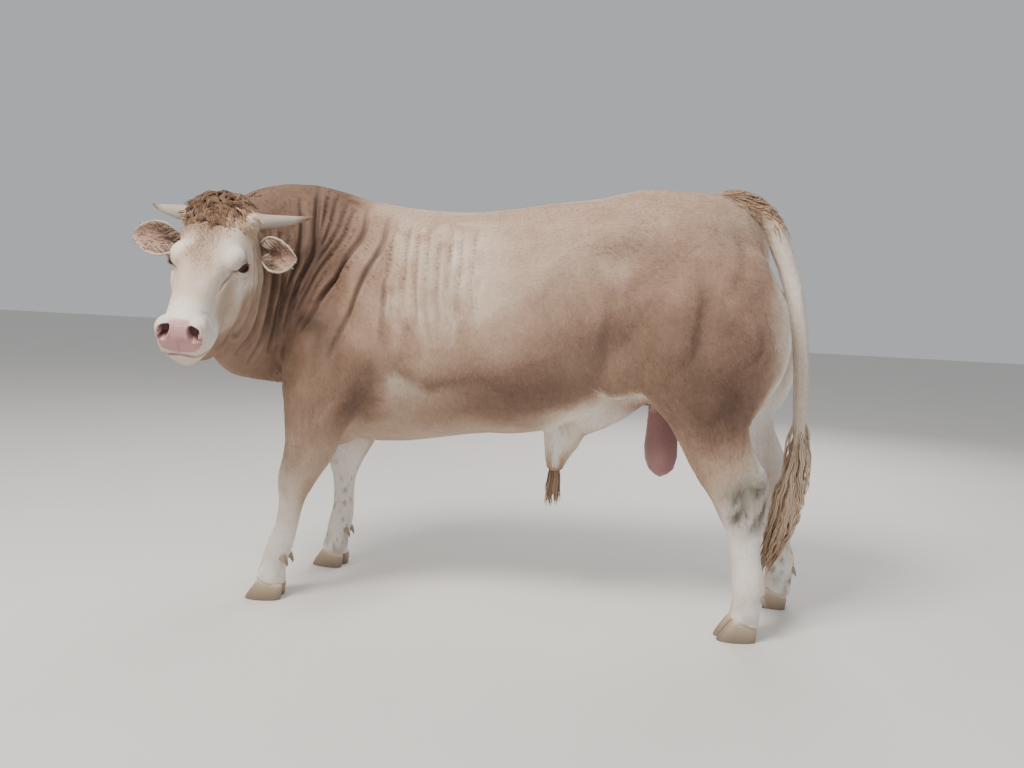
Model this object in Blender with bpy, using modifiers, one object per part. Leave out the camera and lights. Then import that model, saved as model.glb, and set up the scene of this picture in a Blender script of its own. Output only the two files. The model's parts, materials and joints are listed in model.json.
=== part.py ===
"""A Blonde d'Aquitaine bull at life size, standing on level ground with its head turned to its left.

The animal faces -X, its left side faces -Y, +Z is up and the hooves stand at z = 0. All sizes are in metres.
"""

import math
import random

import bmesh
import bpy
import numpy as np
from mathutils import Matrix, Vector

GAP = 0.0003  # clearance that touching pieces keep

# Driving sizes of the bull
CROUP_HEIGHT = 1.506
BACK_HEIGHT = 1.410
WITHERS_HEIGHT = 1.432
CREST_HEIGHT = 1.482
CHEST_FLOOR = 0.560
BARREL_HALF_WIDTH = 0.350
THIGH_HALF_WIDTH = 0.145
NECK_BEND_RADIUS = 0.37
NECK_ROOT = Vector((-0.50, 0.0, 0.0))
CORONET_HEIGHT = 0.074

# The head's own frame: forward runs from the poll to the muzzle, left is lateral, up is dorsal
POLL = Vector((-0.864, -0.410, 1.352))
HEAD_HEADING = math.radians(98.5)
HEAD_PITCH = math.radians(42.0)
HEAD_ROLL = math.radians(-5.7)
EYE_PLACE = (0.218, 0.0965, -0.056)
EYE_RADIUS = 0.0205

FLESH_VOXEL = 0.0085
FLESH_TRIANGLES = 4300

COAT = ("coat", (0.47, 0.31, 0.20), 0.75)
PALE_COAT = ("pale_coat", (0.68, 0.58, 0.48), 0.75)
WHITE_HAIR = ("white_hair", (0.74, 0.70, 0.65), 0.75)
CURLS = ("poll_curls", (0.40, 0.22, 0.12), 0.8)
SWITCH_HAIR = ("switch_hair", (0.56, 0.40, 0.25), 0.7)
HORN = ("horn", (0.62, 0.50, 0.43), 0.45)
HOOF = ("hoof", (0.42, 0.33, 0.25), 0.5)
EYE = ("eye", (0.03, 0.018, 0.012), 0.08)
PINK_SKIN = ("scrotum_skin", (0.50, 0.26, 0.22), 0.55)


def spline(knots, values, at):
    """Smooth curve through rows of values, read at the given places."""
    knots = np.asarray(knots, float)
    values = np.asarray(values, float)
    at = np.atleast_1d(np.asarray(at, float))
    slopes = np.gradient(values, knots, axis=0)
    low = np.clip(np.searchsorted(knots, at) - 1, 0, len(knots) - 2)
    step = (knots[low + 1] - knots[low])[:, None]
    t = np.clip((at - knots[low])[:, None] / step, 0, 1)
    return (
        (2 * t**3 - 3 * t**2 + 1) * values[low]
        + (t**3 - 2 * t**2 + t) * step * slopes[low]
        + (3 * t**2 - 2 * t**3) * values[low + 1]
        + (t**3 - t**2) * step * slopes[low + 1]
    )


def oval(half_width, above, below, count, top_power=2.2, bottom_power=2.2):
    """Points (across, up) of an oval that reaches above and below its widest level by different amounts."""
    angle = np.linspace(0, 2 * math.pi, count, endpoint=False)
    cos, sin = np.cos(angle), np.sin(angle)
    power = np.where(sin > 0, top_power, bottom_power)
    across = half_width * np.sign(cos) * np.abs(cos) ** (2 / power)
    up = np.where(sin > 0, above, below) * np.sign(sin) * np.abs(sin) ** (2 / power)
    return across, up


def add_loft(bm, rings):
    """Skin over a row of rings, closed with a face at each end."""
    rows = [[bm.verts.new(point) for point in ring] for ring in rings]
    faces = []
    for first, second in zip(rows, rows[1:]):
        for i in range(len(first)):
            j = (i + 1) % len(first)
            faces.append(bm.faces.new((first[i], first[j], second[j], second[i])))
    faces.append(bm.faces.new(rows[0][::-1]))
    faces.append(bm.faces.new(rows[-1]))
    bmesh.ops.recalc_face_normals(bm, faces=faces)


def add_blob(bm, centre, radii, turn=(0, 0, 0), frame=None, detail=3):
    """An ellipsoid, turned by angles in degrees about X, Y and Z, in the body's or the head's frame."""
    angles = [math.radians(a) for a in turn]
    spin = Matrix.Rotation(angles[2], 4, "Z")
    spin = spin @ Matrix.Rotation(angles[1], 4, "Y") @ Matrix.Rotation(angles[0], 4, "X")
    place = Matrix.Translation(Vector(centre)) @ spin @ Matrix.Diagonal((*radii, 1))
    bmesh.ops.create_icosphere(bm, subdivisions=detail, radius=1, matrix=(frame or Matrix()) @ place)


def head_frame():
    """Matrix of the head's own frame: its columns are forward, left and up, and its origin is the poll."""
    level = math.cos(HEAD_PITCH)
    heading = Vector((-math.cos(HEAD_HEADING), -math.sin(HEAD_HEADING), 0))
    forward = heading * level + Vector((0, 0, -math.sin(HEAD_PITCH)))
    left = Vector((math.sin(HEAD_HEADING), -math.cos(HEAD_HEADING), 0))
    up = forward.cross(left)
    tilted_left = left * math.cos(HEAD_ROLL) + up * math.sin(HEAD_ROLL)
    tilted_up = forward.cross(tilted_left)
    matrix = Matrix((forward, tilted_left, tilted_up)).transposed().to_4x4()
    return Matrix.Translation(POLL) @ matrix


def add_torso(bm):
    """Chest, barrel, loin and croup as sections along the body."""
    # x, top, bottom, half width, height of the widest place, squareness of the top
    rows = np.array([
        (-0.74, 1.05, 0.80, 0.10, 0.92, 2.0),
        (-0.70, 1.22, 0.70, 0.18, 0.93, 2.0),
        (-0.62, 1.36, 0.60, 0.25, 0.95, 2.0),
        (-0.50, WITHERS_HEIGHT, CHEST_FLOOR, 0.285, 0.96, 2.0),
        (-0.36, 1.420, CHEST_FLOOR, 0.310, 0.97, 2.1),
        (-0.20, BACK_HEIGHT, 0.585, 0.332, 0.98, 2.2),
        (-0.04, BACK_HEIGHT, 0.612, BARREL_HALF_WIDTH, 0.98, 2.3),
        (0.10, 1.430, 0.620, 0.356, 0.99, 2.4),
        (0.22, 1.452, 0.650, BARREL_HALF_WIDTH, 1.01, 2.5),
        (0.34, 1.470, 0.700, 0.332, 1.06, 2.6),
        (0.46, 1.502, 0.770, 0.308, 1.12, 2.6),
        (0.60, CROUP_HEIGHT, 0.820, 0.290, 1.15, 2.5),
        (0.74, 1.495, 0.860, 0.250, 1.17, 2.3),
        (0.85, 1.450, 0.930, 0.180, 1.18, 2.1),
        (0.92, 1.340, 1.030, 0.100, 1.18, 2.0),
    ])
    places = np.linspace(rows[0, 0], rows[-1, 0], 34)
    rings = []
    for x, (top, bottom, half, wide, power) in zip(places, spline(rows[:, 0], rows[:, 1:], places)):
        across, up = oval(half, top - wide, wide - bottom, 32, power, 1.9)
        rings.append([(x, y, wide + z) for y, z in zip(across, up)])
    add_loft(bm, rings)


def neck_centre(angle):
    """Place on the neck's line, which turns to the left on a circle of its own radius."""
    turned = math.radians(max(angle, 0.0))
    ahead = NECK_BEND_RADIUS * math.sin(turned) + NECK_BEND_RADIUS * math.radians(min(angle, 0.0))
    return NECK_ROOT + Vector((-ahead, -NECK_BEND_RADIUS * (1 - math.cos(turned)), 0))


def add_neck(bm):
    """Crested neck bent to the left, with a keel of dewlap below."""
    # angle along the bend in degrees, top, bottom, half width, height of the widest place
    rows = np.array([
        (-30, 1.37, 0.86, 0.200, 1.10),
        (0, 1.440, 0.77, 0.245, 1.09),
        (20, 1.474, 0.745, 0.235, 1.10),
        (40, CREST_HEIGHT, 0.750, 0.212, 1.11),
        (60, 1.456, 0.765, 0.186, 1.12),
        (76, 1.402, 0.785, 0.160, 1.12),
        (88, 1.340, 0.815, 0.130, 1.11),
        (98, 1.220, 0.850, 0.095, 1.06),
    ])
    angles = np.linspace(rows[0, 0], rows[-1, 0], 26)
    rings = []
    for angle, (top, bottom, half, wide) in zip(angles, spline(rows[:, 0], rows[:, 1:], angles)):
        turned = math.radians(max(angle, 0.0))
        outward = Vector((-math.sin(turned), math.cos(turned), 0))
        across, up = oval(half, top - wide, wide - bottom, 28, 2.3, 1.45)
        centre = neck_centre(angle)
        rings.append([centre + outward * a + Vector((0, 0, wide + z)) for a, z in zip(across, up)])
    add_loft(bm, rings)


def leg_shift(heights, shifts, z):
    """How far a far-side leg stands behind the near one at a height."""
    return float(np.interp(z, heights, shifts))


def add_leg(bm, rows, side, shift):
    """A leg as level sections.

    A row holds height, front x, rear x, distance from the midline and half width.
    """
    heights = np.linspace(rows[0, 0], rows[-1, 0], 40)
    rings = []
    for z, (front, rear, off, half) in zip(heights, spline(-rows[:, 0], rows[:, 1:], -heights)):
        across, along = oval(half, (rear - front) / 2, (rear - front) / 2, 20, 2.3, 2.1)
        middle = (front + rear) / 2 + shift(z)
        rings.append([(middle - x, side * off + y, z) for y, x in zip(across, along)])
    add_loft(bm, rings)


FORE_LEG = np.array([
    (1.00, -0.720, -0.38, 0.190, 0.095),
    (0.90, -0.735, -0.37, 0.215, 0.102),
    (0.80, -0.728, -0.385, 0.226, 0.102),
    (0.72, -0.722, -0.430, 0.228, 0.096),
    (0.64, -0.717, -0.485, 0.226, 0.085),
    (0.55, -0.716, -0.530, 0.222, 0.073),
    (0.50, -0.726, -0.555, 0.220, 0.065),
    (0.45, -0.738, -0.590, 0.218, 0.063),
    (0.41, -0.738, -0.617, 0.216, 0.060),
    (0.37, -0.734, -0.640, 0.214, 0.049),
    (0.32, -0.740, -0.655, 0.212, 0.042),
    (0.26, -0.752, -0.668, 0.210, 0.041),
    (0.21, -0.772, -0.680, 0.209, 0.050),
    (0.175, -0.786, -0.690, 0.208, 0.055),
    (0.13, -0.796, -0.708, 0.208, 0.052),
    (0.09, -0.812, -0.712, 0.208, 0.057),
    (0.04, -0.822, -0.712, 0.208, 0.060),
])

HIND_LEG = np.array([
    (1.30, 0.47, 0.88, 0.155, 0.110),
    (1.18, 0.44, 0.94, 0.175, 0.138),
    (1.04, 0.45, 0.985, 0.185, THIGH_HALF_WIDTH),
    (0.94, 0.47, 0.985, 0.188, 0.142),
    (0.86, 0.49, 0.955, 0.188, 0.128),
    (0.79, 0.525, 0.915, 0.188, 0.108),
    (0.725, 0.592, 0.872, 0.188, 0.090),
    (0.66, 0.635, 0.888, 0.188, 0.074),
    (0.60, 0.668, 0.918, 0.188, 0.063),
    (0.54, 0.705, 0.944, 0.188, 0.058),
    (0.475, 0.755, 0.944, 0.188, 0.058),
    (0.41, 0.790, 0.942, 0.188, 0.049),
    (0.34, 0.824, 0.936, 0.188, 0.040),
    (0.28, 0.838, 0.940, 0.188, 0.039),
    (0.22, 0.846, 0.954, 0.188, 0.048),
    (0.175, 0.850, 0.963, 0.188, 0.055),
    (0.13, 0.856, 0.957, 0.188, 0.052),
    (0.09, 0.848, 0.950, 0.188, 0.057),
    (0.04, 0.842, 0.950, 0.188, 0.060),
])


def fore_shift(z):
    """The right fore leg stands straighter than the left one, which reaches forward."""
    return leg_shift((0.10, 0.20, 0.33, 0.45, 0.80), (0.095, 0.085, 0.055, 0.030, 0.0), z)


def hind_shift(z):
    """The right hind leg is set back."""
    heights = (0.15, 0.35, 0.60, 0.78, 0.90, 1.05, 1.30)
    return leg_shift(heights, (0.175, 0.155, 0.142, 0.150, 0.12, 0.07, 0.0), z)


def no_shift(z):
    """The left legs stand where their rows say."""
    return 0.0


LEGS = {
    "fore_left": (FORE_LEG, -1, no_shift),
    "fore_right": (FORE_LEG, 1, fore_shift),
    "hind_left": (HIND_LEG, -1, no_shift),
    "hind_right": (HIND_LEG, 1, hind_shift),
}


def add_head(bm):
    """Skull, cheeks, jaw and muzzle as sections along the face, with the bulges that stand out of them."""
    # forward, top, bottom, half width near the top, at mid height and near the bottom
    rows = np.array([
        (-0.07, -0.10, -0.22, 0.050, 0.070, 0.050),
        (-0.03, -0.03, -0.26, 0.085, 0.100, 0.070),
        (0.00, 0.002, -0.29, 0.104, 0.114, 0.078),
        (0.05, 0.016, -0.300, 0.118, 0.128, 0.080),
        (0.10, 0.020, -0.300, 0.117, 0.130, 0.080),
        (0.16, 0.018, -0.286, 0.111, 0.126, 0.076),
        (0.22, 0.010, -0.274, 0.099, 0.114, 0.070),
        (0.28, 0.001, -0.260, 0.080, 0.098, 0.064),
        (0.34, -0.008, -0.246, 0.066, 0.083, 0.056),
        (0.40, -0.015, -0.230, 0.060, 0.077, 0.054),
        (0.45, -0.020, -0.214, 0.060, 0.075, 0.054),
        (0.50, -0.023, -0.196, 0.062, 0.074, 0.050),
        (0.535, -0.031, -0.176, 0.060, 0.069, 0.042),
        (0.557, -0.052, -0.148, 0.046, 0.056, 0.032),
    ])
    frame = head_frame()
    places = np.linspace(rows[0, 0], rows[-1, 0], 36)
    angle = np.linspace(0, 2 * math.pi, 28, endpoint=False)
    cos, sin = np.cos(angle), np.sin(angle)
    rings = []
    for f, (top, bottom, high, mid, low) in zip(places, spline(rows[:, 0], rows[:, 1:], places)):
        rise = np.abs(sin) ** 1.5
        half = np.where(sin > 0, mid + (high - mid) * rise, mid + (low - mid) * rise)
        across = half * np.sign(cos) * np.abs(cos) ** 0.8
        up = (top + bottom) / 2 + (top - bottom) / 2 * np.sign(sin) * np.abs(sin) ** 0.85
        rings.append([frame @ Vector((f, a, u)) for a, u in zip(across, up)])
    add_loft(bm, rings)
    for side in (-1, 1):
        add_blob(bm, (0.130, side * 0.086, -0.170), (0.100, 0.046, 0.100), (0, 20, 0), frame)  # cheek muscle
        add_blob(bm, (0.270, side * 0.058, -0.180), (0.120, 0.042, 0.065), (0, 12, side * -8), frame)  # cheek
        add_blob(bm, (0.212, side * 0.080, -0.046), (0.056, 0.036, 0.046), (0, -20, 0), frame)  # eye socket
        add_blob(bm, (0.510, side * 0.044, -0.060), (0.044, 0.029, 0.038), (0, 0, 0), frame)  # nostril wing
        add_blob(bm, (0.472, side * 0.052, -0.112), (0.060, 0.031, 0.034), (0, 6, 0), frame)  # upper lip
        add_blob(bm, (0.040, side * 0.098, -0.018), (0.040, 0.034, 0.037), (0, 0, 0), frame)  # horn root
        add_blob(bm, (0.052, side * 0.110, -0.100), (0.040, 0.030, 0.042), (0, 0, 0), frame)  # ear root
    add_blob(bm, (0.005, 0, -0.010), (0.060, 0.100, 0.042), (0, 0, 0), frame)  # poll
    add_blob(bm, (0.492, 0, -0.168), (0.056, 0.046, 0.034), (0, 10, 0), frame)  # chin
    add_blob(bm, (0.300, 0, -0.262), (0.140, 0.062, 0.072), (0, -6, 0), frame)  # skin under the jaw


def add_masses(bm):
    """Large masses that stand out of the sections."""
    for side in (-1, 1):
        add_blob(bm, (-0.440, side * 0.235, 0.900), (0.150, 0.080, 0.180), (0, -30, 0))  # upper arm
        # point of the shoulder
        add_blob(bm, (-0.620, side * 0.190, 0.930), (0.110, 0.095, 0.140), (0, 10, 0))
        add_blob(bm, (0.460, side * 0.215, 0.930), (0.110, 0.075, 0.160), (0, 22, 0))  # flank fold
    for side, shift in ((-1, 0.0), (1, 0.09)):
        add_blob(bm, (0.880 + shift, side * 0.175, 1.010), (0.100, 0.110, 0.200), (0, 4, 0))  # buttock
    add_blob(bm, (-0.610, 0, 0.690), (0.140, 0.120, 0.165), (0, -8, 0))  # brisket
    add_blob(bm, (-0.750, -0.030, 0.755), (0.070, 0.045, 0.130), (0, 4, 0))  # hanging dewlap
    add_blob(bm, (0.355, 0, 0.690), (0.200, 0.045, 0.050), (0, -24, 0))  # web behind the sheath
    add_blob(bm, (0.600, 0, 0.820), (0.110, 0.070, 0.080), (0, 0, 0))  # groin


# Relief of muscles and bones: centre, reach along X, Y and Z, turn about Y in degrees, height
BOTH_SIDES = (
    ((-0.450, 0.290, 1.180), (0.110, 0.20, 0.260), -24, 0.020),  # shoulder blade
    ((-0.560, 0.290, 1.140), (0.070, 0.20, 0.240), -24, -0.010),  # hollow before it
    ((-0.300, 0.340, 1.080), (0.070, 0.20, 0.240), -18, -0.014),  # hollow behind it
    ((-0.380, 0.330, 0.900), (0.150, 0.20, 0.130), 30, 0.020),  # triceps
    ((-0.600, 0.300, 0.900), (0.090, 0.20, 0.110), 0, 0.014),  # point of the shoulder
    ((-0.620, 0.290, 0.660), (0.070, 0.12, 0.110), 0, 0.012),  # forearm
    ((0.060, 0.160, 1.400), (0.330, 0.12, 0.160), 0, 0.012),  # loin
    ((0.390, 0.260, 1.330), (0.110, 0.20, 0.090), 0, 0.026),  # hook bone
    ((0.300, 0.330, 1.140), (0.130, 0.20, 0.160), 20, -0.020),  # hollow of the flank
    ((0.630, 0.230, 1.330), (0.200, 0.20, 0.130), 6, 0.020),  # croup muscle
    ((0.560, 0.340, 1.040), (0.130, 0.20, 0.210), 12, 0.016),  # front of the thigh
    ((0.800, 0.340, 1.060), (0.120, 0.20, 0.260), -6, 0.022),  # back of the thigh
    ((0.690, 0.340, 0.960), (0.045, 0.20, 0.250), 2, -0.010),  # groove between them
    ((0.720, 0.280, 0.760), (0.120, 0.14, 0.110), 24, 0.008),  # gaskin
)
# The same on the head, in its own frame
HEAD_SIDES = (
    ((0.190, 0.100, 0.000), (0.060, 0.060, 0.045), 0, 0.014),  # brow
    ((0.150, 0.130, -0.140), (0.100, 0.060, 0.090), 0, 0.006),  # cheek
    ((0.270, 0.100, -0.100), (0.090, 0.050, 0.028), 6, 0.010),  # cheek bone
    ((0.330, 0.080, -0.150), (0.070, 0.050, 0.050), 0, -0.010),  # hollow before the cheek
    ((0.514, 0.056, -0.054), (0.035, 0.050, 0.035), 0, 0.005),  # nostril wing
)


def relief(points, normals, bumps, mirror):
    """How far each point moves along its normal for a list of bumps and hollows on both sides."""
    moved = np.zeros(len(points))
    for (cx, cy, cz), reach, turn, height in bumps:
        c, s = math.cos(math.radians(turn)), math.sin(math.radians(turn))
        for side in (-1, 1) if mirror else (1,):
            off = points - (cx, side * cy, cz)
            along = (off[:, 0] * c - off[:, 2] * s) / reach[0]
            upward = (off[:, 0] * s + off[:, 2] * c) / reach[2]
            inside = 1 - (along**2 + (off[:, 1] / reach[1]) ** 2 + upward**2)
            moved += height * np.clip(inside, 0, None) ** 1.5
    return points + normals * moved[:, None]


def shape_relief(obj):
    """Moves the skin by the relief of the body and of the head."""
    points = points_of(obj)
    normals = np.empty(len(points) * 3)
    obj.data.vertex_normals.foreach_get("vector", normals)
    normals = normals.reshape(-1, 3)
    points = relief(points, normals, BOTH_SIDES, True)
    frame = np.array(head_frame())
    turn, place = frame[:3, :3], frame[:3, 3]
    near_head = head_share(points) > 0
    local = relief((points[near_head] - place) @ turn, normals[near_head] @ turn, HEAD_SIDES, True)
    points[near_head] = local @ turn.T + place
    obj.data.vertices.foreach_set("co", points.ravel())
    obj.data.update()


def collection_named(name):
    """A collection of the scene, made where it isn't there yet."""
    found = bpy.data.collections.get(name)
    if not found:
        found = bpy.data.collections.new(name)
        bpy.context.scene.collection.children.link(found)
    return found


def material_of(name, colour, roughness):
    """A plain finish, made once for each name."""
    found = bpy.data.materials.get(name)
    if not found:
        found = bpy.data.materials.new(name)
        found.use_nodes = True
        shader = found.node_tree.nodes["Principled BSDF"]
        shader.inputs["Base Color"].default_value = (*colour, 1)
        shader.inputs["Roughness"].default_value = roughness
        shader.inputs["Metallic"].default_value = 0.0
    return found


def object_from(bm, name, finish=COAT, collection="bull"):
    """An object that holds this mesh, in a collection."""
    mesh = bpy.data.meshes.new(name)
    bm.to_mesh(mesh)
    bm.free()
    mesh.materials.append(material_of(*finish))
    obj = bpy.data.objects.new(name, mesh)
    collection_named(collection).objects.link(obj)
    return obj


def apply_modifiers(obj):
    """Keeps the object's evaluated mesh and drops its modifiers."""
    graph = bpy.context.evaluated_depsgraph_get()
    mesh = bpy.data.meshes.new_from_object(obj.evaluated_get(graph))
    old = obj.data
    obj.modifiers.clear()
    obj.data = mesh
    bpy.data.meshes.remove(old)


def keep_largest(obj):
    """Keeps the largest closed surface of a mesh and drops what is loose."""
    bm = bmesh.new()
    bm.from_mesh(obj.data)
    bmesh.ops.remove_doubles(bm, verts=bm.verts, dist=1e-6)
    left = set(bm.faces)
    pieces = []
    while left:
        stack = [left.pop()]
        piece = set(stack)
        while stack:
            for edge in stack.pop().edges:
                for face in edge.link_faces:
                    if face in left:
                        left.remove(face)
                        piece.add(face)
                        stack.append(face)
        pieces.append(piece)
    pieces.sort(key=lambda piece: sum(face.calc_area() for face in piece))
    loose = [face for piece in pieces[:-1] for face in piece]
    bmesh.ops.delete(bm, geom=loose, context="FACES")
    bmesh.ops.triangulate(bm, faces=bm.faces)
    bm.to_mesh(obj.data)
    bm.free()


def boolean(obj, other, operation, solver="MANIFOLD"):
    """Cuts or joins obj by another object, or by a collection of them."""
    modifier = obj.modifiers.new("cut", "BOOLEAN")
    modifier.operation = operation
    modifier.solver = solver
    if isinstance(other, bpy.types.Collection):
        modifier.operand_type = "COLLECTION"
        modifier.collection = other
    else:
        modifier.object = other
    apply_modifiers(obj)
    keep_largest(obj)


def copy_of(obj, name):
    """The same mesh as a new object."""
    new = obj.copy()
    new.data = obj.data.copy()
    new.name = name
    collection_named("bull").objects.link(new)
    return new


def box_cutter(low, high, matrix=None, grow=0.0):
    """A closed box between two corners of a frame, grown on every side."""
    bm = bmesh.new()
    bmesh.ops.create_cube(bm, size=1)
    low, high = Vector(low) - Vector((grow,) * 3), Vector(high) + Vector((grow,) * 3)
    size = high - low
    place = Matrix.Translation((low + high) / 2) @ Matrix.Diagonal((*size, 1))
    bm.transform((matrix or Matrix()) @ place)
    cutter = object_from(bm, "cutter", COAT, "cutters")
    cutter.hide_render = True
    cutter.display_type = "WIRE"
    return cutter


def part_off(rest, name, low, high, matrix=None):
    """Takes the flesh inside a box off the rest, as a node of its own."""
    inner = box_cutter(low, high, matrix)
    outer = box_cutter(low, high, matrix, GAP)
    node = copy_of(rest, name)
    boolean(node, inner, "INTERSECT")
    boolean(rest, outer, "DIFFERENCE")
    for cutter in (inner, outer):
        bpy.data.objects.remove(cutter)
    return node


def head_share(points):
    """How much each point belongs to the head, from 0 to 1."""
    inverse = np.array(head_frame().inverted())
    local = points @ inverse[:3, :3].T + inverse[:3, 3]
    forward = np.clip((local[:, 0] + 0.02) / 0.06, 0, 1)
    near = np.clip((0.42 - np.linalg.norm(local - (0.25, 0, -0.12), axis=1)) / 0.06, 0, 1)
    return forward * near


def weigh(obj, name, weights):
    """A vertex group with one weight for each vertex."""
    group = obj.vertex_groups.new(name=name)
    for level in np.unique(np.round(weights, 2)):
        members = np.nonzero(np.round(weights, 2) == level)[0]
        group.add([int(i) for i in members], float(level), "REPLACE")


def points_of(obj):
    """The object's vertices as an array."""
    points = np.empty(len(obj.data.vertices) * 3)
    obj.data.vertices.foreach_get("co", points)
    return points.reshape(-1, 3)


def make_flesh():
    """The whole body fused into one smooth skin of few triangles."""
    bm = bmesh.new()
    add_torso(bm)
    add_neck(bm)
    add_masses(bm)
    add_head(bm)
    for rows, side, shift in LEGS.values():
        add_leg(bm, rows, side, shift)
    flesh = object_from(bm, "torso")
    remesh = flesh.modifiers.new("fuse", "REMESH")
    remesh.mode = "VOXEL"
    remesh.voxel_size = FLESH_VOXEL
    apply_modifiers(flesh)
    points = points_of(flesh)
    head = head_share(points)
    shank = np.clip((0.80 - points[:, 2]) / 0.25, 0, 1) * (1 - head)
    weigh(flesh, "soft", np.clip(1.0 - 0.85 * head - 0.80 * shank, 0.05, 1))
    smooth = flesh.modifiers.new("soften", "SMOOTH")
    smooth.factor = 0.6
    smooth.iterations = 60
    smooth.vertex_group = "soft"
    apply_modifiers(flesh)
    shape_relief(flesh)
    weigh(flesh, "coarse", np.clip(1.0 - 0.80 * head - 0.50 * shank, 0.02, 1))
    decimate = flesh.modifiers.new("lighten", "DECIMATE")
    decimate.ratio = FLESH_TRIANGLES / (2 * len(flesh.data.polygons))
    decimate.vertex_group = "coarse"
    decimate.vertex_group_factor = 1.0
    decimate.use_collapse_triangulate = True
    apply_modifiers(flesh)
    keep_largest(flesh)
    flesh.vertex_groups.clear()
    return flesh


def tube(name, stations, finish, sides=12, frame=None):
    """A closed body along a line of stations.

    A station holds x, y, z, half width across Y and half width in the bend's plane.
    """
    rows = np.array(stations, float)
    knots = np.concatenate([[0], np.cumsum(np.linalg.norm(np.diff(rows[:, :3], axis=0), axis=1))])
    places = np.linspace(0, knots[-1], int(1.5 * len(rows)))
    smooth = spline(knots, rows, places)
    ahead = np.gradient(smooth[:, :3], axis=0)
    bm = bmesh.new()
    rings = []
    for row, direction in zip(smooth, ahead):
        direction = Vector(direction).normalized()
        side = Vector((0, 1, 0))
        side = (side - direction * side.dot(direction)).normalized()
        out = direction.cross(side)
        centre = Vector(row[:3])
        ring = []
        for i in range(sides):
            angle = 2 * math.pi * i / sides
            ring.append(centre + side * row[3] * math.cos(angle) + out * row[4] * math.sin(angle))
        rings.append([(frame @ point) if frame else point for point in ring])
    add_loft(bm, rings)
    bmesh.ops.triangulate(bm, faces=bm.faces)
    return object_from(bm, name, finish)


def grown(obj, amount):
    """A helper copy of the object whose surface stands out by a small amount."""
    helper = copy_of(obj, "grown")
    for owner in list(helper.users_collection):
        owner.objects.unlink(helper)
    collection_named("cutters").objects.link(helper)
    points = points_of(helper)
    normals = np.empty(len(points) * 3)
    helper.data.vertex_normals.foreach_get("vector", normals)
    helper.data.vertices.foreach_set("co", (points + normals.reshape(-1, 3) * amount).ravel())
    helper.data.update()
    helper.hide_render = True
    helper.display_type = "WIRE"
    return helper


def seat(host, part):
    """Cuts a seat for the part into its host, with the clearance all round."""
    cutter = grown(part, 1.25 * GAP)
    boolean(host, cutter, "DIFFERENCE")
    bpy.data.objects.remove(cutter)


def trim(part, host):
    """Cuts a part back to the surface of its host, with the clearance between them."""
    cutter = grown(host, 1.25 * GAP)
    boolean(part, cutter, "DIFFERENCE")
    bpy.data.objects.remove(cutter)


def make_eye(head, side):
    """An eyeball in its lids: a rim round an almond opening."""
    frame = head_frame()
    x, y, z = EYE_PLACE
    centre = (x, side * y, z)
    bm = bmesh.new()
    place = frame @ Matrix.Translation(centre)
    bmesh.ops.create_icosphere(bm, subdivisions=2, radius=EYE_RADIUS + 0.0060, matrix=place)
    lids = object_from(bm, "lids", COAT, "cutters")
    boolean(head, lids, "UNION")
    bm = bmesh.new()
    out = (x + 0.004, side * (y + 0.022), z + 0.002)
    add_blob(bm, out, (0.0185, 0.016, 0.0098), (0, -30, side * 14), frame, 2)
    opening = object_from(bm, "opening", COAT, "cutters")
    boolean(head, opening, "DIFFERENCE")
    bm = bmesh.new()
    place = frame @ Matrix.Translation(centre)
    bmesh.ops.create_uvsphere(bm, u_segments=14, v_segments=9, radius=EYE_RADIUS, matrix=place)
    bmesh.ops.triangulate(bm, faces=bm.faces)
    eye = object_from(bm, "eye_left" if side > 0 else "eye_right", EYE)
    seat(head, eye)
    for helper in (lids, opening):
        bpy.data.objects.remove(helper)


def make_horn(head, neck, side):
    """A short horn that leaves the poll sideways and sweeps back."""
    reach = 0.269 if side > 0 else 0.248
    rows = [
        (0.034, 0.088, -0.014, 0.0265, 0.0275),
        (0.027, 0.125, -0.020 + side * 0.002, 0.0245, 0.0258),
        (0.010, 0.162, -0.028 + side * 0.006, 0.0203, 0.0218),
        (-0.012, 0.198, -0.037 + side * 0.010, 0.0147, 0.0160),
        (-0.032, 0.229, -0.043 + side * 0.013, 0.0080, 0.0090),
        (-0.045, 0.246, -0.045 + side * 0.014, 0.0022, 0.0027),
    ]
    frame = head_frame()
    bm = bmesh.new()
    rings = []
    count = 12
    for x, out, z, high, wide in rows:
        y = side * (0.088 + (out - 0.088) * (reach - 0.088) / 0.158)
        turns = [2 * math.pi * i / count for i in range(count)]
        rings.append([frame @ Vector((x + wide * math.cos(t), y, z + high * math.sin(t))) for t in turns])
    add_loft(bm, rings)
    bmesh.ops.triangulate(bm, faces=bm.faces)
    horn = object_from(bm, "horn_left" if side > 0 else "horn_right", HORN)
    seat(head, horn)
    seat(neck, horn)
    return horn


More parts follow.
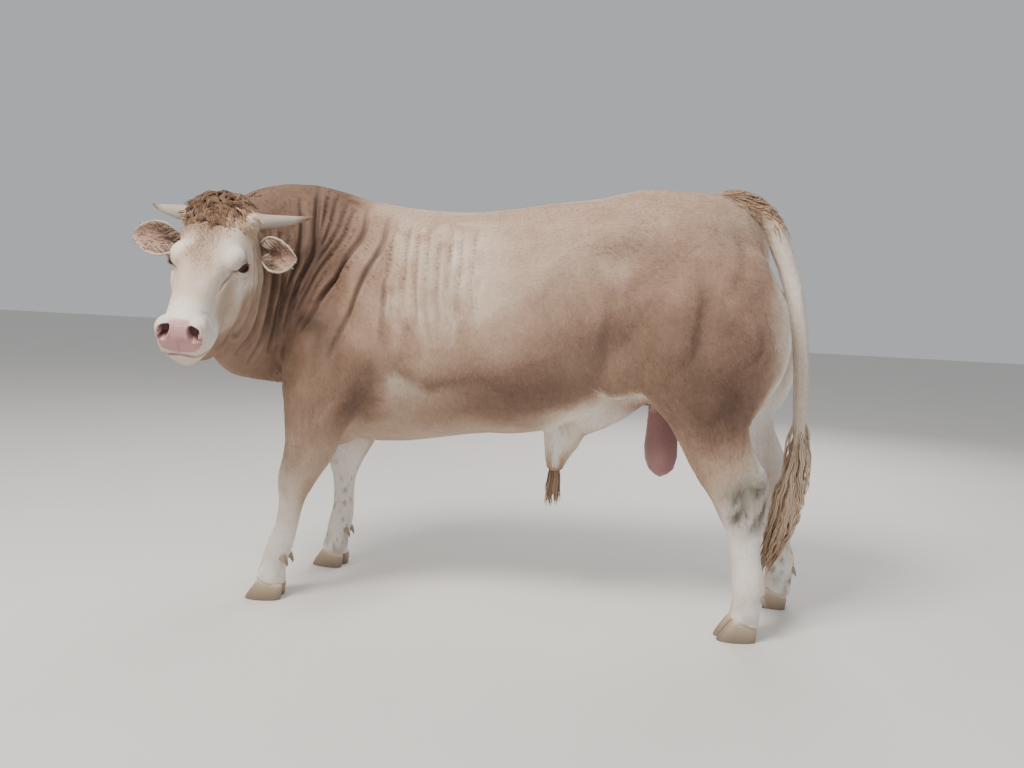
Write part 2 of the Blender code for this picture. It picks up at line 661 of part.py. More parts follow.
def make_ear(head, neck, side, reach, opening, low):
    """A leaf-shaped ear with a deep cup, along its own reach and open toward its own side."""
    length, width, thick = 0.215, 0.058, 0.0075
    along = Vector(reach).normalized()
    face = Vector(opening)
    face = (face - along * face.dot(along)).normalized()
    across = along.cross(face)
    base = Vector((0.062, side * 0.102, low))
    frame = head_frame()
    bm = bmesh.new()
    rings = []
    # share of the length, half width, how deep the cup is, how thick the wall is
    rows = np.array([
        (0.00, 0.020, 0.000, 0.020),
        (0.14, 0.024, 0.004, 0.018),
        (0.25, 0.036, 0.020, 0.011),
        (0.40, 0.054, 0.030, thick),
        (0.58, width, 0.028, thick),
        (0.76, 0.050, 0.019, 0.006),
        (0.90, 0.030, 0.009, 0.005),
        (1.00, 0.007, 0.001, 0.004),
    ])
    shares = np.linspace(0, 1, 11)
    for share, (half, deep, wall) in zip(shares, spline(rows[:, 0], rows[:, 1:], shares)):
        centre = base + along * length * share + face * (0.018 * math.sin(math.pi * share) - 0.012 * share)
        ring = []
        steps = np.linspace(-1, 1, 7)
        for t in steps:
            ring.append(centre + across * half * t - face * (deep * (1 - t * t) + wall * (1 - 0.7 * t * t)))
        for t in steps[::-1]:
            ring.append(centre + across * half * t * 0.94 - face * (deep * (1 - t * t) - 0.0012))
        rings.append([frame @ point for point in ring])
    add_loft(bm, rings)
    bmesh.ops.triangulate(bm, faces=bm.faces)
    ear = object_from(bm, "ear_left" if side > 0 else "ear_right", PALE_COAT)
    seat(head, ear)
    seat(neck, ear)


def cut_blob(host, centre, radii, turn, frame):
    """Hollows the host with an ellipsoid."""
    bm = bmesh.new()
    add_blob(bm, centre, radii, turn, frame, 2)
    helper = object_from(bm, "hollow", COAT, "cutters")
    boolean(host, helper, "DIFFERENCE")
    bpy.data.objects.remove(helper)


def make_mouth(head):
    """The line of the mouth: a thin curved wedge cut from corner to corner round the front."""
    frame = head_frame()
    bm = bmesh.new()
    rings = []
    line = (
        (0.385, 0.105, -0.152),
        (0.43, 0.100, -0.152),
        (0.48, 0.090, -0.145),
        (0.53, 0.075, -0.130),
        (0.575, 0.0, -0.117),
    )
    inner = (
        (0.375, 0.060, -0.152),
        (0.42, 0.058, -0.152),
        (0.47, 0.050, -0.145),
        (0.51, 0.036, -0.131),
        (0.532, 0.0, -0.119),
    )
    outer = list(line) + [(x, -y, z) for x, y, z in line[-2::-1]]
    inside = list(inner) + [(x, -y, z) for x, y, z in inner[-2::-1]]
    for far, near in zip(outer, inside):
        far, near = Vector(far), Vector(near)
        half = Vector((0, 0, 0.004))
        rings.append([frame @ (far + half), frame @ near, frame @ (far - half)])
    add_loft(bm, rings)
    bmesh.ops.triangulate(bm, faces=bm.faces)
    helper = object_from(bm, "mouth", COAT, "cutters")
    boolean(head, helper, "DIFFERENCE")
    bpy.data.objects.remove(helper)
    for side in (-1, 1):
        turn = (0, -25, side * 34)
        cut_blob(head, (0.543, side * 0.043, -0.047), (0.034, 0.0155, 0.0185), turn, frame)
        turn = (0, -10, side * 20)
        cut_blob(head, (0.527, side * 0.060, -0.059), (0.022, 0.012, 0.009), turn, frame)


def make_claw(name, middle, heading, outer):
    """One half of a cloven hoof. It stands on a flat sole and closes against the pastern above."""
    # height share, length share, width share, shift to the rear
    levels = (
        (0.0, 1.0, 1.0, 0.0),
        (0.25, 0.93, 0.98, 0.006),
        (0.6, 0.80, 0.93, 0.016),
        (1.0, 0.66, 0.86, 0.026),
    )
    bm = bmesh.new()
    rings = []
    turn = Matrix.Translation(middle) @ Matrix.Rotation(heading, 4, "Z")
    for share, long, wide, back in levels:
        ring = []
        for i in range(14):
            t = 2 * math.pi * i / 14
            u = 0.064 * long * math.copysign(abs(math.cos(t)) ** 0.85, math.cos(t)) - back
            v = 0.0255 * wide * math.copysign(abs(math.sin(t)) ** 0.75, math.sin(t))
            v += 0.0295 - 0.0085 * max(0.0, u / 0.064) ** 2
            height = share * (CORONET_HEIGHT - 0.012 + CORONET_SLOPE * (u + 0.02))
            ring.append(turn @ Vector((-u, outer * v, height)))
        rings.append(ring)
    add_loft(bm, rings)
    walls = [face for face in bm.faces if max(vert.co.z for vert in face.verts) > 0.001]
    bmesh.ops.triangulate(bm, faces=walls)
    return object_from(bm, name, HOOF)


# Where each hoof stands: x and y of its middle and how far its toe turns outward, in degrees
FEET = {
    "fore_left": (-0.785, -0.210, 8),
    "fore_right": (-0.690, 0.210, 8),
    "hind_left": (0.868, -0.188, 8),
    "hind_right": (1.043, 0.188, 8),
}
CORONET_SLOPE = 0.26


def make_foot(shank, leg):
    """Two claws under the shank and two dew claws behind its fetlock."""
    x, y, splay = FEET[leg]
    side = -1 if y < 0 else 1
    turn = math.radians(-side * splay)
    place = Matrix.Translation((x, y, 0)) @ Matrix.Rotation(turn, 4, "Z")
    tilt = Matrix.Rotation(math.atan(CORONET_SLOPE), 4, "Y")
    top = CORONET_HEIGHT - 0.012 + CORONET_SLOPE * 0.02 + GAP
    below = box_cutter((-0.3, -0.3, -0.4), (0.3, 0.3, 0.0), place @ Matrix.Translation((0, 0, top)) @ tilt)
    boolean(shank, below, "DIFFERENCE")
    bpy.data.objects.remove(below)
    for which, outer in (("outer", side), ("inner", -side)):
        make_claw(f"{leg}_claw_{which}", Vector((x, y, 0)), turn, outer)
        bm = bmesh.new()
        rings = []
        stations = (
            (0.0, 0.0, 0.0130),
            (0.018, 0.006, 0.0140),
            (0.028, 0.018, 0.0115),
            (0.030, 0.032, 0.0050),
        )
        for back, drop, radius in stations:
            ring = []
            for i in range(6):
                t = 2 * math.pi * i / 6
                across = y + outer * 0.026 + radius * math.cos(t)
                ring.append((DEW[leg] + back, across, 0.158 - drop + radius * math.sin(t)))
            rings.append(ring)
        add_loft(bm, rings)
        bmesh.ops.triangulate(bm, faces=bm.faces)
        seat(shank, object_from(bm, f"{leg}_dewclaw_{which}", HOOF))


DEW = {"fore_left": -0.722, "fore_right": -0.632, "hind_left": 0.930, "hind_right": 1.105}

TAIL = (
    (0.700, 0, 1.458, 0.040, 0.040),
    (0.760, 0, 1.476, 0.042, 0.036),
    (0.810, 0, 1.478, 0.042, 0.036),
    (0.865, 0, 1.455, 0.040, 0.038),
    (0.925, 0, 1.396, 0.038, 0.038),
    (0.972, 0, 1.300, 0.035, 0.036),
    (1.012, 0, 1.190, 0.032, 0.033),
    (1.042, 0, 1.060, 0.029, 0.029),
    (1.062, 0, 0.900, 0.027, 0.0275),
    (1.070, 0, 0.760, 0.026, 0.0265),
    (1.071, 0, 0.660, 0.020, 0.020),
    (1.068, 0, 0.600, 0.008, 0.008),
)
SCROTUM = (
    (0.585, 0, 0.800, 0.045, 0.045),
    (0.588, 0, 0.730, 0.046, 0.045),
    (0.592, 0, 0.670, 0.058, 0.055),
    (0.597, 0, 0.610, 0.066, 0.062),
    (0.600, 0, 0.550, 0.060, 0.055),
    (0.601, 0, 0.515, 0.040, 0.036),
    (0.601, 0, 0.499, 0.012, 0.010),
)
SHEATH = (
    (0.262, 0, 0.690, 0.055, 0.075),
    (0.240, 0, 0.610, 0.050, 0.068),
    (0.228, 0, 0.560, 0.040, 0.050),
    (0.222, 0, 0.520, 0.030, 0.036),
    (0.220, 0, 0.495, 0.022, 0.025),
    (0.220, 0, 0.488, 0.012, 0.013),
)


def fuse(name, core, pieces, finish):
    """One closed body from a core and the closed pieces rooted in it, by one Boolean union."""
    group = collection_named("pieces")
    if core.name in group.objects:
        group.objects.unlink(core)
        collection_named("bull").objects.link(core)
    core.name = name
    boolean(core, group, "UNION", "EXACT")
    for piece in pieces:
        bpy.data.objects.remove(piece)
    core.data.materials.clear()
    core.data.materials.append(material_of(*finish))
    return core


def add_lock(path, across, width, thick):
    """A flat tapered lock along a path: closed, with a lens-shaped section, wide in the given direction."""
    bm = bmesh.new()
    rings = []
    last = len(path) - 1
    for i, centre in enumerate(path):
        share = i / last
        ahead = (path[min(i + 1, last)] - path[max(i - 1, 0)]).normalized()
        side = (across - ahead * across.dot(ahead)).normalized()
        out = ahead.cross(side)
        taper = (0.70 + 0.9 * share) if share < 0.33 else (1.0 - 0.88 * ((share - 0.33) / 0.67) ** 1.4)
        w, t = side * width * taper / 2, out * thick * taper / 2
        rings.append([centre + w, centre + t, centre - w, centre - t])
    add_loft(bm, rings)
    bmesh.ops.triangulate(bm, faces=bm.faces)
    return object_from(bm, "lock", COAT, "pieces")


def make_poll_hair(head, neck, horns):
    """The curly hair between the horns and down the forehead: rounded clumps set close on a thin core."""
    frame = head_frame()
    bm = bmesh.new()
    add_blob(bm, (0.020, 0, -0.020), (0.100, 0.082, 0.044), (0, 8, 0), frame, 2)
    core = object_from(bm, "core", CURLS)
    clumps = []
    for row in range(POLL_ROWS):
        forward = -0.056 + 0.170 * row / (POLL_ROWS - 1)
        reach = 0.078 * math.sqrt(max(0.05, 1 - ((forward - 0.015) / 0.125) ** 2))
        count = max(2, round(2 * reach / 0.030))
        for i in range(count):
            across = -reach + 2 * reach * (i + 0.5 * (row % 2) * 0.6) / max(1, count - 0.7)
            hill = max(0.0, 1 - ((forward - 0.015) / 0.140) ** 2 - (across / 0.120) ** 2)
            rise = -0.030 + 0.046 * math.sqrt(hill) - 0.06 * max(0.0, forward - 0.06)
            size = random.uniform(0.0200, 0.0240)
            bm = bmesh.new()
            spin = Matrix.Rotation(random.uniform(0, 6.28), 4, "Z")
            spin = spin @ Matrix.Rotation(random.uniform(-0.5, 0.5), 4, "X")
            shape = Matrix.Diagonal((size * 1.15, size * 0.85, size * 0.85, 1))
            nudge = Vector((random.uniform(-0.004, 0.004), 0, random.uniform(-0.003, 0.004)))
            place = Matrix.Translation(Vector((forward, across, rise)) + nudge)
            matrix = frame @ place @ spin @ shape
            bmesh.ops.create_uvsphere(bm, u_segments=5, v_segments=4, radius=1, matrix=matrix)
            bmesh.ops.triangulate(bm, faces=bm.faces)
            clumps.append(object_from(bm, "clump", CURLS, "pieces"))
    hair = fuse("poll_hair", core, clumps, CURLS)
    for host in (head, neck, *horns):
        trim(hair, host)
    return hair


def make_switch(tail):
    """The long hair at the end of the tail: flat wavy locks round a thin core."""
    heights, centres, wide, deep = np.array([
        (0.80, 1.069, 0.026, 0.024),
        (0.72, 1.071, 0.038, 0.034),
        (0.60, 1.071, 0.060, 0.050),
        (0.48, 1.061, 0.070, 0.056),
        (0.38, 1.046, 0.066, 0.050),
        (0.28, 1.014, 0.052, 0.038),
        (0.20, 0.986, 0.034, 0.024),
        (0.14, 0.972, 0.020, 0.014),
    ]).T[:, ::-1]
    core = tube("core", SWITCH_CORE, SWITCH_HAIR, 8)
    locks = []
    for i in range(SWITCH_LOCKS):
        share = i / (SWITCH_LOCKS - 1)
        turn = 2.4 * i
        root = 0.775 - 0.345 * share
        length = random.uniform(0.21, 0.27) if share > 0.15 else 0.24
        length = min(length, root - 0.168)
        wave = random.uniform(0, 6.28)
        path = []
        for k in range(SWITCH_STEPS):
            t = k / (SWITCH_STEPS - 1)
            z = root - length * t
            spread = 0.22 + 0.70 * min(1.0, 1.8 * t)
            x = np.interp(z, heights, centres)
            x += spread * np.interp(z, heights, wide) * math.cos(turn + 0.5 * t)
            y = spread * np.interp(z, heights, deep) * math.sin(turn + 0.5 * t)
            sway = 0.009 * math.sin(wave + 7 * t) * t
            path.append(Vector((x - sway * math.sin(turn), y + sway * math.cos(turn), z)))
        across = Vector((-math.sin(turn), math.cos(turn), 0))
        locks.append(add_lock(path, across, random.uniform(0.044, 0.052), random.uniform(0.013, 0.016)))
    switch = fuse("tail_switch", core, locks, SWITCH_HAIR)
    trim(switch, tail)
    return switch


def make_tuft(name, host, roots, fall, length, width, finish):
    """A small tuft of flat locks that start together inside their host and spread as they fall."""
    locks = []
    for i, root in enumerate(roots):
        turn = 2.4 * i
        side = Vector((math.cos(turn), math.sin(turn), 0))
        path = []
        for k in range(4):
            t = k / 3
            drop = Vector(fall) * length * t * (1 - 0.12 * (i % 3))
            path.append(Vector(root) + drop + side * 0.012 * math.sin(2.2 * t))
        locks.append(add_lock(path, side.cross(Vector(fall)).normalized(), width, width * 0.36))
    tuft = fuse(name, locks[0], locks[1:], finish)
    trim(tuft, host)
    return tuft


POLL_ROWS = 7
SWITCH_LOCKS = 23
SWITCH_STEPS = 5
SWITCH_CORE = (
    (1.070, 0, 0.800, 0.030, 0.030),
    (1.071, 0, 0.700, 0.028, 0.028),
    (1.068, 0, 0.600, 0.024, 0.028),
    (1.060, 0, 0.480, 0.022, 0.026),
    (1.045, 0, 0.390, 0.016, 0.020),
    (1.020, 0, 0.310, 0.008, 0.010),
)


def stand_on_origin():
    """Moves the whole bull so that the middle of its box's underside is the origin."""
    nodes = [obj for obj in bpy.data.objects if obj.type == "MESH"]
    points = np.concatenate([points_of(obj) for obj in nodes])
    low, high = points.min(axis=0), points.max(axis=0)
    shift = Matrix.Translation((-(low[0] + high[0]) / 2, -(low[1] + high[1]) / 2, -low[2]))
    for obj in nodes:
        obj.data.transform(shift)
        obj.data.update()


def main():
    """Builds the bull."""
    for obj in list(bpy.data.objects):
        bpy.data.objects.remove(obj)
    random.seed(7)
    flesh = make_flesh()
    shanks = {}
    for leg, (x, y, _) in FEET.items():
        inner, outer = (-0.5, -0.060) if y < 0 else (0.060, 0.5)
        fore = leg.startswith("fore")
        low = (-1.1, inner, -0.1) if fore else (0.5, inner, -0.1)
        joint = 0.370 if fore else 0.420
        shanks[leg] = part_off(flesh, f"{leg}_shank", low, (-0.4 if fore else 1.3, outer, joint))
        near = 0.125 if fore else 0.050
        inner, outer = (-0.5, -near) if y < 0 else (near, 0.5)
        low = (-1.1, inner, 0.370 + GAP) if fore else (0.4, inner, 0.420 + GAP)
        part_off(flesh, f"{leg}_leg", low, (-0.3 if fore else 1.3, outer, 0.600 if fore else 0.740))
    frame = head_frame() @ Matrix.Rotation(math.radians(-22), 4, "Y")
    head = part_off(flesh, "head", (0.0, -0.165, -0.415), (0.8, 0.165, 0.5), frame)
    frame = Matrix.Translation((-0.52, 0, 1.45)) @ Matrix.Rotation(math.radians(20), 4, "Y")
    neck = part_off(flesh, "neck", (-1.0, -1.2, -0.80), (0.0, 0.6, 0.4), frame)
    hindquarters = part_off(flesh, "hindquarters", (0.40, -0.6, 0.5), (1.4, 0.6, 1.7))
    for side in (1, -1):
        make_eye(head, side)
    make_mouth(head)
    horns = [make_horn(head, neck, side) for side in (1, -1)]
    make_ear(head, neck, 1, (0.60, 0.71, 0.39), (0.62, -0.70, 0.33), -0.106)
    make_ear(head, neck, -1, (-0.20, -0.96, -0.10), (0.66, -0.22, 0.72), -0.120)
    for leg, shank in shanks.items():
        make_foot(shank, leg)
    make_poll_hair(head, neck, horns)
    tail = tube("tail", TAIL, PALE_COAT)
    seat(hindquarters, tail)
    make_switch(tail)
    seat(hindquarters, tube("scrotum", SCROTUM, PINK_SKIN, 16))
    sheath = tube("sheath", SHEATH, WHITE_HAIR, 14)
    seat(flesh, sheath)
    roots = [(0.221 + 0.008 * math.cos(2.4 * i), 0.008 * math.sin(2.4 * i), 0.510) for i in range(4)]
    make_tuft("sheath_hair", sheath, roots, (-0.03, 0.0, -1.0), 0.165, 0.024, SWITCH_HAIR)
    for obj in list(bpy.data.objects):
        if obj.hide_render or not obj.data.polygons:
            bpy.data.objects.remove(obj)
    stand_on_origin()


main()
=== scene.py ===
"""A Blonde d'Aquitaine bull at life size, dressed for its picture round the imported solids.

One skin covers the whole body. Its coat is solid mesh: short tufts that lie along the body, tousled locks
on the poll, and long wavy ones on the tail. The bull faces -X and its left side faces -Y. All sizes are in
metres.
"""

import json
import logging
import math
from dataclasses import dataclass, field
from enum import Enum
from functools import partial
from typing import Any, Callable, Iterable, Sequence

import bmesh
import bpy
import numpy as np
from bmesh.types import BMesh
from bpy.types import Material, Mesh, Node, NodeSocket, NodeTree, Object
from mathutils import Matrix, Vector
from mathutils.bvhtree import BVHTree

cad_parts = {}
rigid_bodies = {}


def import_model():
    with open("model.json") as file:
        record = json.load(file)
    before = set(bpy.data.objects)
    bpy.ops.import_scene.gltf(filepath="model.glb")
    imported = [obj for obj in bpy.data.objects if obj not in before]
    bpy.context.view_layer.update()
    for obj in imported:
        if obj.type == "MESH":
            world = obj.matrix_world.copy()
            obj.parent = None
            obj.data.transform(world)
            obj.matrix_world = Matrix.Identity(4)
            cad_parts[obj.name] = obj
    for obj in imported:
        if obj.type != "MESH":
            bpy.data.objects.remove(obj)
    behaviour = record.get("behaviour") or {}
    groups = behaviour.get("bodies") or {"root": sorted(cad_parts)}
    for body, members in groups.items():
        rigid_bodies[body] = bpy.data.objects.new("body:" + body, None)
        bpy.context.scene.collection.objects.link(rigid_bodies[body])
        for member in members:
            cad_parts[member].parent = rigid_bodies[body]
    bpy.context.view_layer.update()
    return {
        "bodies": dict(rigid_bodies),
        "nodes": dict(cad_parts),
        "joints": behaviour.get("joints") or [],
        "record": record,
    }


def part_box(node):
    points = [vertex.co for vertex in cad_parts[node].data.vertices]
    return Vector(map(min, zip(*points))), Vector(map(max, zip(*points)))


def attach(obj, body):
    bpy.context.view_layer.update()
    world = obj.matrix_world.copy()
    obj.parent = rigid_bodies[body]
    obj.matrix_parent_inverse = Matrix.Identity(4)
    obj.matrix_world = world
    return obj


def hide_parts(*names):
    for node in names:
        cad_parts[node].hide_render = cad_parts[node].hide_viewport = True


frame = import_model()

LOG = logging.getLogger("bull")
SIDES = (1, -1)
SEED = 11
IMAGE_SIZE = (1024, 768)

GOLDEN_TURN = 2.39996  # radians that spread locks evenly round a middle
# Values that the hair takes from the skin; fold darkens hair in folds and hollows as painted shade
HAIR_DATA = ("tone", "pink", "soil", "fold")

Vec3 = tuple[float, float, float]
Array = np.ndarray


class Claw(Enum):
    """Which of a foot's two claws, and the dew claw over it."""

    OUTER = "outer"
    INNER = "inner"


def linear(hex_colour: str) -> tuple[float, float, float, float]:
    """Turns an sRGB hex colour to the linear colour that a shader takes.

    Args:
        hex_colour: six hex digits, with or without a leading #.

    Returns:
        Linear red, green and blue, and an alpha of 1.
    """
    digits = hex_colour.lstrip("#")
    values = [int(digits[i : i + 2], 16) / 255 for i in (0, 2, 4)]
    red, green, blue = (v / 12.92 if v <= 0.04045 else ((v + 0.055) / 1.055) ** 2.4 for v in values)
    return red, green, blue, 1.0


def spline(knots: Sequence[float], values: Array, at: Array) -> Array:
    """Smooth curve through rows of values, read at the given places.

    Args:
        knots: where the rows stand, rising.
        values: one row for each knot.
        at: places to read.

    Returns:
        One row for each place.
    """
    knots = np.asarray(knots, float)
    values = np.asarray(values, float)
    at = np.atleast_1d(np.asarray(at, float))
    slopes = np.gradient(values, knots, axis=0)
    low = np.clip(np.searchsorted(knots, at) - 1, 0, len(knots) - 2)
    step = (knots[low + 1] - knots[low])[:, None]
    t = np.clip((at - knots[low])[:, None] / step, 0, 1)
    return (
        (2 * t**3 - 3 * t**2 + 1) * values[low]
        + (t**3 - 2 * t**2 + t) * step * slopes[low]
        + (3 * t**2 - 2 * t**3) * values[low + 1]
        + (t**3 - t**2) * step * slopes[low + 1]
    )


def smoothstep(low: float, high: float, value: Array) -> Array:
    """Soft step from 0 at low to 1 at high."""
    t = np.clip((np.asarray(value, float) - low) / (high - low), 0, 1)
    return t * t * (3 - 2 * t)


def towards(values: Array, aim: Array | float, share: Array) -> Array:
    """The values led towards an aim by a share from 0 to 1."""
    return values * (1 - share) + aim * share


def unit(vectors: Array) -> Array:
    """Rows of vectors at length 1."""
    return vectors / np.maximum(np.linalg.norm(vectors, axis=-1, keepdims=True), 1e-9)


def wobble(points: Array, size: float, seed: float = 0.0) -> Array:
    """Soft irregular pattern.

    Args:
        points: one row for each place.
        size: width of its patches.
        seed: which pattern.

    Returns:
        Numbers between about -1 and 1.
    """
    scaled = points / size
    total = np.zeros(len(points))
    for turn in range(5):
        a = 1.7 * turn + seed
        axis = np.array([math.sin(a * 2.1), math.cos(a * 1.3), math.sin(a * 0.7 + 1.0)])
        total += np.sin(scaled @ unit(axis) * 2.2 + a * 3.1 + 0.9 * np.sin(scaled[:, turn % 3] * 1.3 + a))
    return total / 3.2


def set_material(obj: Object, material: Material) -> None:
    """Gives an object one material."""
    obj.data.materials.clear()
    obj.data.materials.append(material)


def deselect() -> None:
    """Leaves nothing selected."""
    for obj in bpy.context.selected_objects:
        obj.select_set(False)


def make_active(obj: Object) -> None:
    """Selects one object only and makes it the active one.

    Args:
        obj: the object, a mesh.
    """
    deselect()
    obj.select_set(True)
    bpy.context.view_layer.objects.active = obj


def new_object(name: str, mesh: Mesh) -> Object:
    """An object that holds the mesh, linked to the scene.

    Args:
        name: name of the object.
        mesh: its mesh.

    Returns:
        The object.
    """
    obj = bpy.data.objects.new(name, mesh)
    bpy.context.scene.collection.objects.link(obj)
    return obj


def from_bmesh(bm: BMesh, name: str) -> Object:
    """An object from a bmesh, which is freed.

    Args:
        bm: the bmesh.
        name: name of the object.

    Returns:
        The object.
    """
    mesh = bpy.data.meshes.new(name)
    bm.to_mesh(mesh)
    bm.free()
    return new_object(name, mesh)


def from_arrays(name: str, points: Array, faces: Array) -> Object:
    """An object from vertex places and a table of triangles.

    Args:
        name: name of the object.
        points: one row for each vertex.
        faces: one row of three vertex numbers for each triangle.

    Returns:
        The new object, shaded smooth.
    """
    mesh = bpy.data.meshes.new(name)
    mesh.vertices.add(len(points))
    mesh.vertices.foreach_set("co", np.ascontiguousarray(points, np.float32).ravel())
    mesh.loops.add(faces.size)
    mesh.loops.foreach_set("vertex_index", np.ascontiguousarray(faces, np.int32).ravel())
    mesh.polygons.add(len(faces))
    mesh.polygons.foreach_set("loop_start", np.arange(0, faces.size, 3, dtype=np.int32))
    mesh.polygons.foreach_set("use_smooth", np.ones(len(faces), bool))
    mesh.update(calc_edges=True)
    return new_object(name, mesh)


def points_of(obj: Object) -> Array:
    """The object's vertices as an array.

    Args:
        obj: the object, a mesh.

    Returns:
        One row for each vertex.
    """
    points = np.empty(len(obj.data.vertices) * 3, np.float32)
    obj.data.vertices.foreach_get("co", points)
    return points.reshape(-1, 3).astype(float)


def normals_of(obj: Object) -> Array:
    """The vertices' normals as an array.

    Args:
        obj: the object, a mesh.

    Returns:
        One row for each vertex.
    """
    normals = np.empty(len(obj.data.vertices) * 3, np.float32)
    obj.data.vertex_normals.foreach_get("vector", normals)
    return normals.reshape(-1, 3).astype(float)


def put_points(obj: Object, points: Array) -> None:
    """Moves the object's vertices."""
    obj.data.vertices.foreach_set("co", np.ascontiguousarray(points, np.float32).ravel())
    obj.data.update()


def triangles_of(obj: Object) -> Array:
    """The vertex numbers of a mesh of triangles.

    Args:
        obj: the object, a mesh.

    Returns:
        One row of three vertex numbers for each triangle.
    """
    corners = np.empty(len(obj.data.loops), np.int32)
    obj.data.loops.foreach_get("vertex_index", corners)
    return corners.reshape(-1, 3)


def apply_modifiers(obj: Object) -> None:
    """Applies the object's modifiers in their order.

    Args:
        obj: the object, a mesh.
    """
    make_active(obj)
    for modifier in list(obj.modifiers):
        bpy.ops.object.modifier_apply(modifier=modifier.name)


def smooth_faces(obj: Object, walls_only: bool = False) -> None:
    """Shades the object smooth.

    Args:
        obj: the object.
        walls_only: whether faces that aren't of four corners stay flat.
    """
    for polygon in obj.data.polygons:
        polygon.use_smooth = len(polygon.vertices) == 4 or not walls_only


def count_triangles(obj: Object) -> int:
    """How many triangles the object's faces make."""
    return sum(len(polygon.vertices) - 2 for polygon in obj.data.polygons)


def weigh(obj: Object, name: str, weights: Array) -> None:
    """A vertex group with one weight for each vertex.

    Args:
        obj: the object.
        name: name of the group.
        weights: one number for each vertex.
    """
    group = obj.vertex_groups.new(name=name)
    rounded = np.round(weights, 2)
    for level in np.unique(rounded):
        group.add([int(i) for i in np.nonzero(rounded == level)[0]], float(level), "REPLACE")


def put_attribute(obj: Object, name: str, values: Array) -> None:
    """A number for each vertex that the materials can read."""
    attribute = obj.data.attributes.get(name) or obj.data.attributes.new(name, "FLOAT", "POINT")
    attribute.data.foreach_set("value", np.ascontiguousarray(values, np.float32))


def get_attribute(obj: Object, name: str) -> Array:
    """The numbers of an attribute.

    Args:
        obj: the object.
        name: name of the attribute.

    Returns:
        One number for each vertex.
    """
    values = np.empty(len(obj.data.vertices), np.float32)
    obj.data.attributes[name].data.foreach_get("value", values)
    return values.astype(float)


def add_loft(bm: BMesh, rings: Sequence[Sequence[Any]], closed: bool = True) -> None:
    """Skins a row of rings and closes both ends.

    Args:
        bm: mesh that takes the loft.
        rings: rows of points, each with the same count.
        closed: whether a face closes each end.
    """
    rows = [[bm.verts.new(point) for point in ring] for ring in rings]
    faces = []
    for first, second in zip(rows, rows[1:]):
        for i in range(len(first)):
            j = (i + 1) % len(first)
            faces.append(bm.faces.new((first[i], first[j], second[j], second[i])))
    if closed:
        faces.append(bm.faces.new(rows[0][::-1]))
        faces.append(bm.faces.new(rows[-1]))
    bmesh.ops.recalc_face_normals(bm, faces=faces)


def add_blob(
    bm: BMesh, centre: Vec3, radii: Vec3, turn: Vec3 = (0, 0, 0), place: Matrix | None = None, detail: int = 3
) -> None:
    """Adds an ellipsoid.

    Args:
        bm: mesh that takes it.
        centre: its middle, in the frame of place.
        radii: its half lengths.
        turn: degrees about X, Y and Z.
        place: the frame that it is given in.
        detail: how finely it is divided.
    """
    angles = [math.radians(a) for a in turn]
    spin = Matrix.Rotation(angles[2], 4, "Z")
    spin = spin @ Matrix.Rotation(angles[1], 4, "Y") @ Matrix.Rotation(angles[0], 4, "X")
    matrix = (place or Matrix()) @ Matrix.Translation(Vector(centre)) @ spin @ Matrix.Diagonal((*radii, 1))
    bmesh.ops.create_icosphere(bm, subdivisions=detail, radius=1, matrix=matrix)


def oval(
    half: float, above: float, below: float, count: int, top: float = 2.2, bottom: float = 2.2
) -> tuple[Array, Array]:
    """An oval whose upper and lower halves differ.

    Args:
        half: its half width.
        above: its height over the middle.
        below: its depth under the middle.
        count: number of points.
        top: power of the upper half, 2 for an ellipse.
        bottom: power of the lower half.

    Returns:
        The points' places across and up.
    """
    angle = np.linspace(0, 2 * math.pi, count, endpoint=False)
    cos, sin = np.cos(angle), np.sin(angle)
    power = np.where(sin > 0, top, bottom)
    across = half * np.sign(cos) * np.abs(cos) ** (2 / power)
    up = np.where(sin > 0, above, below) * np.sign(sin) * np.abs(sin) ** (2 / power)
    return across, up


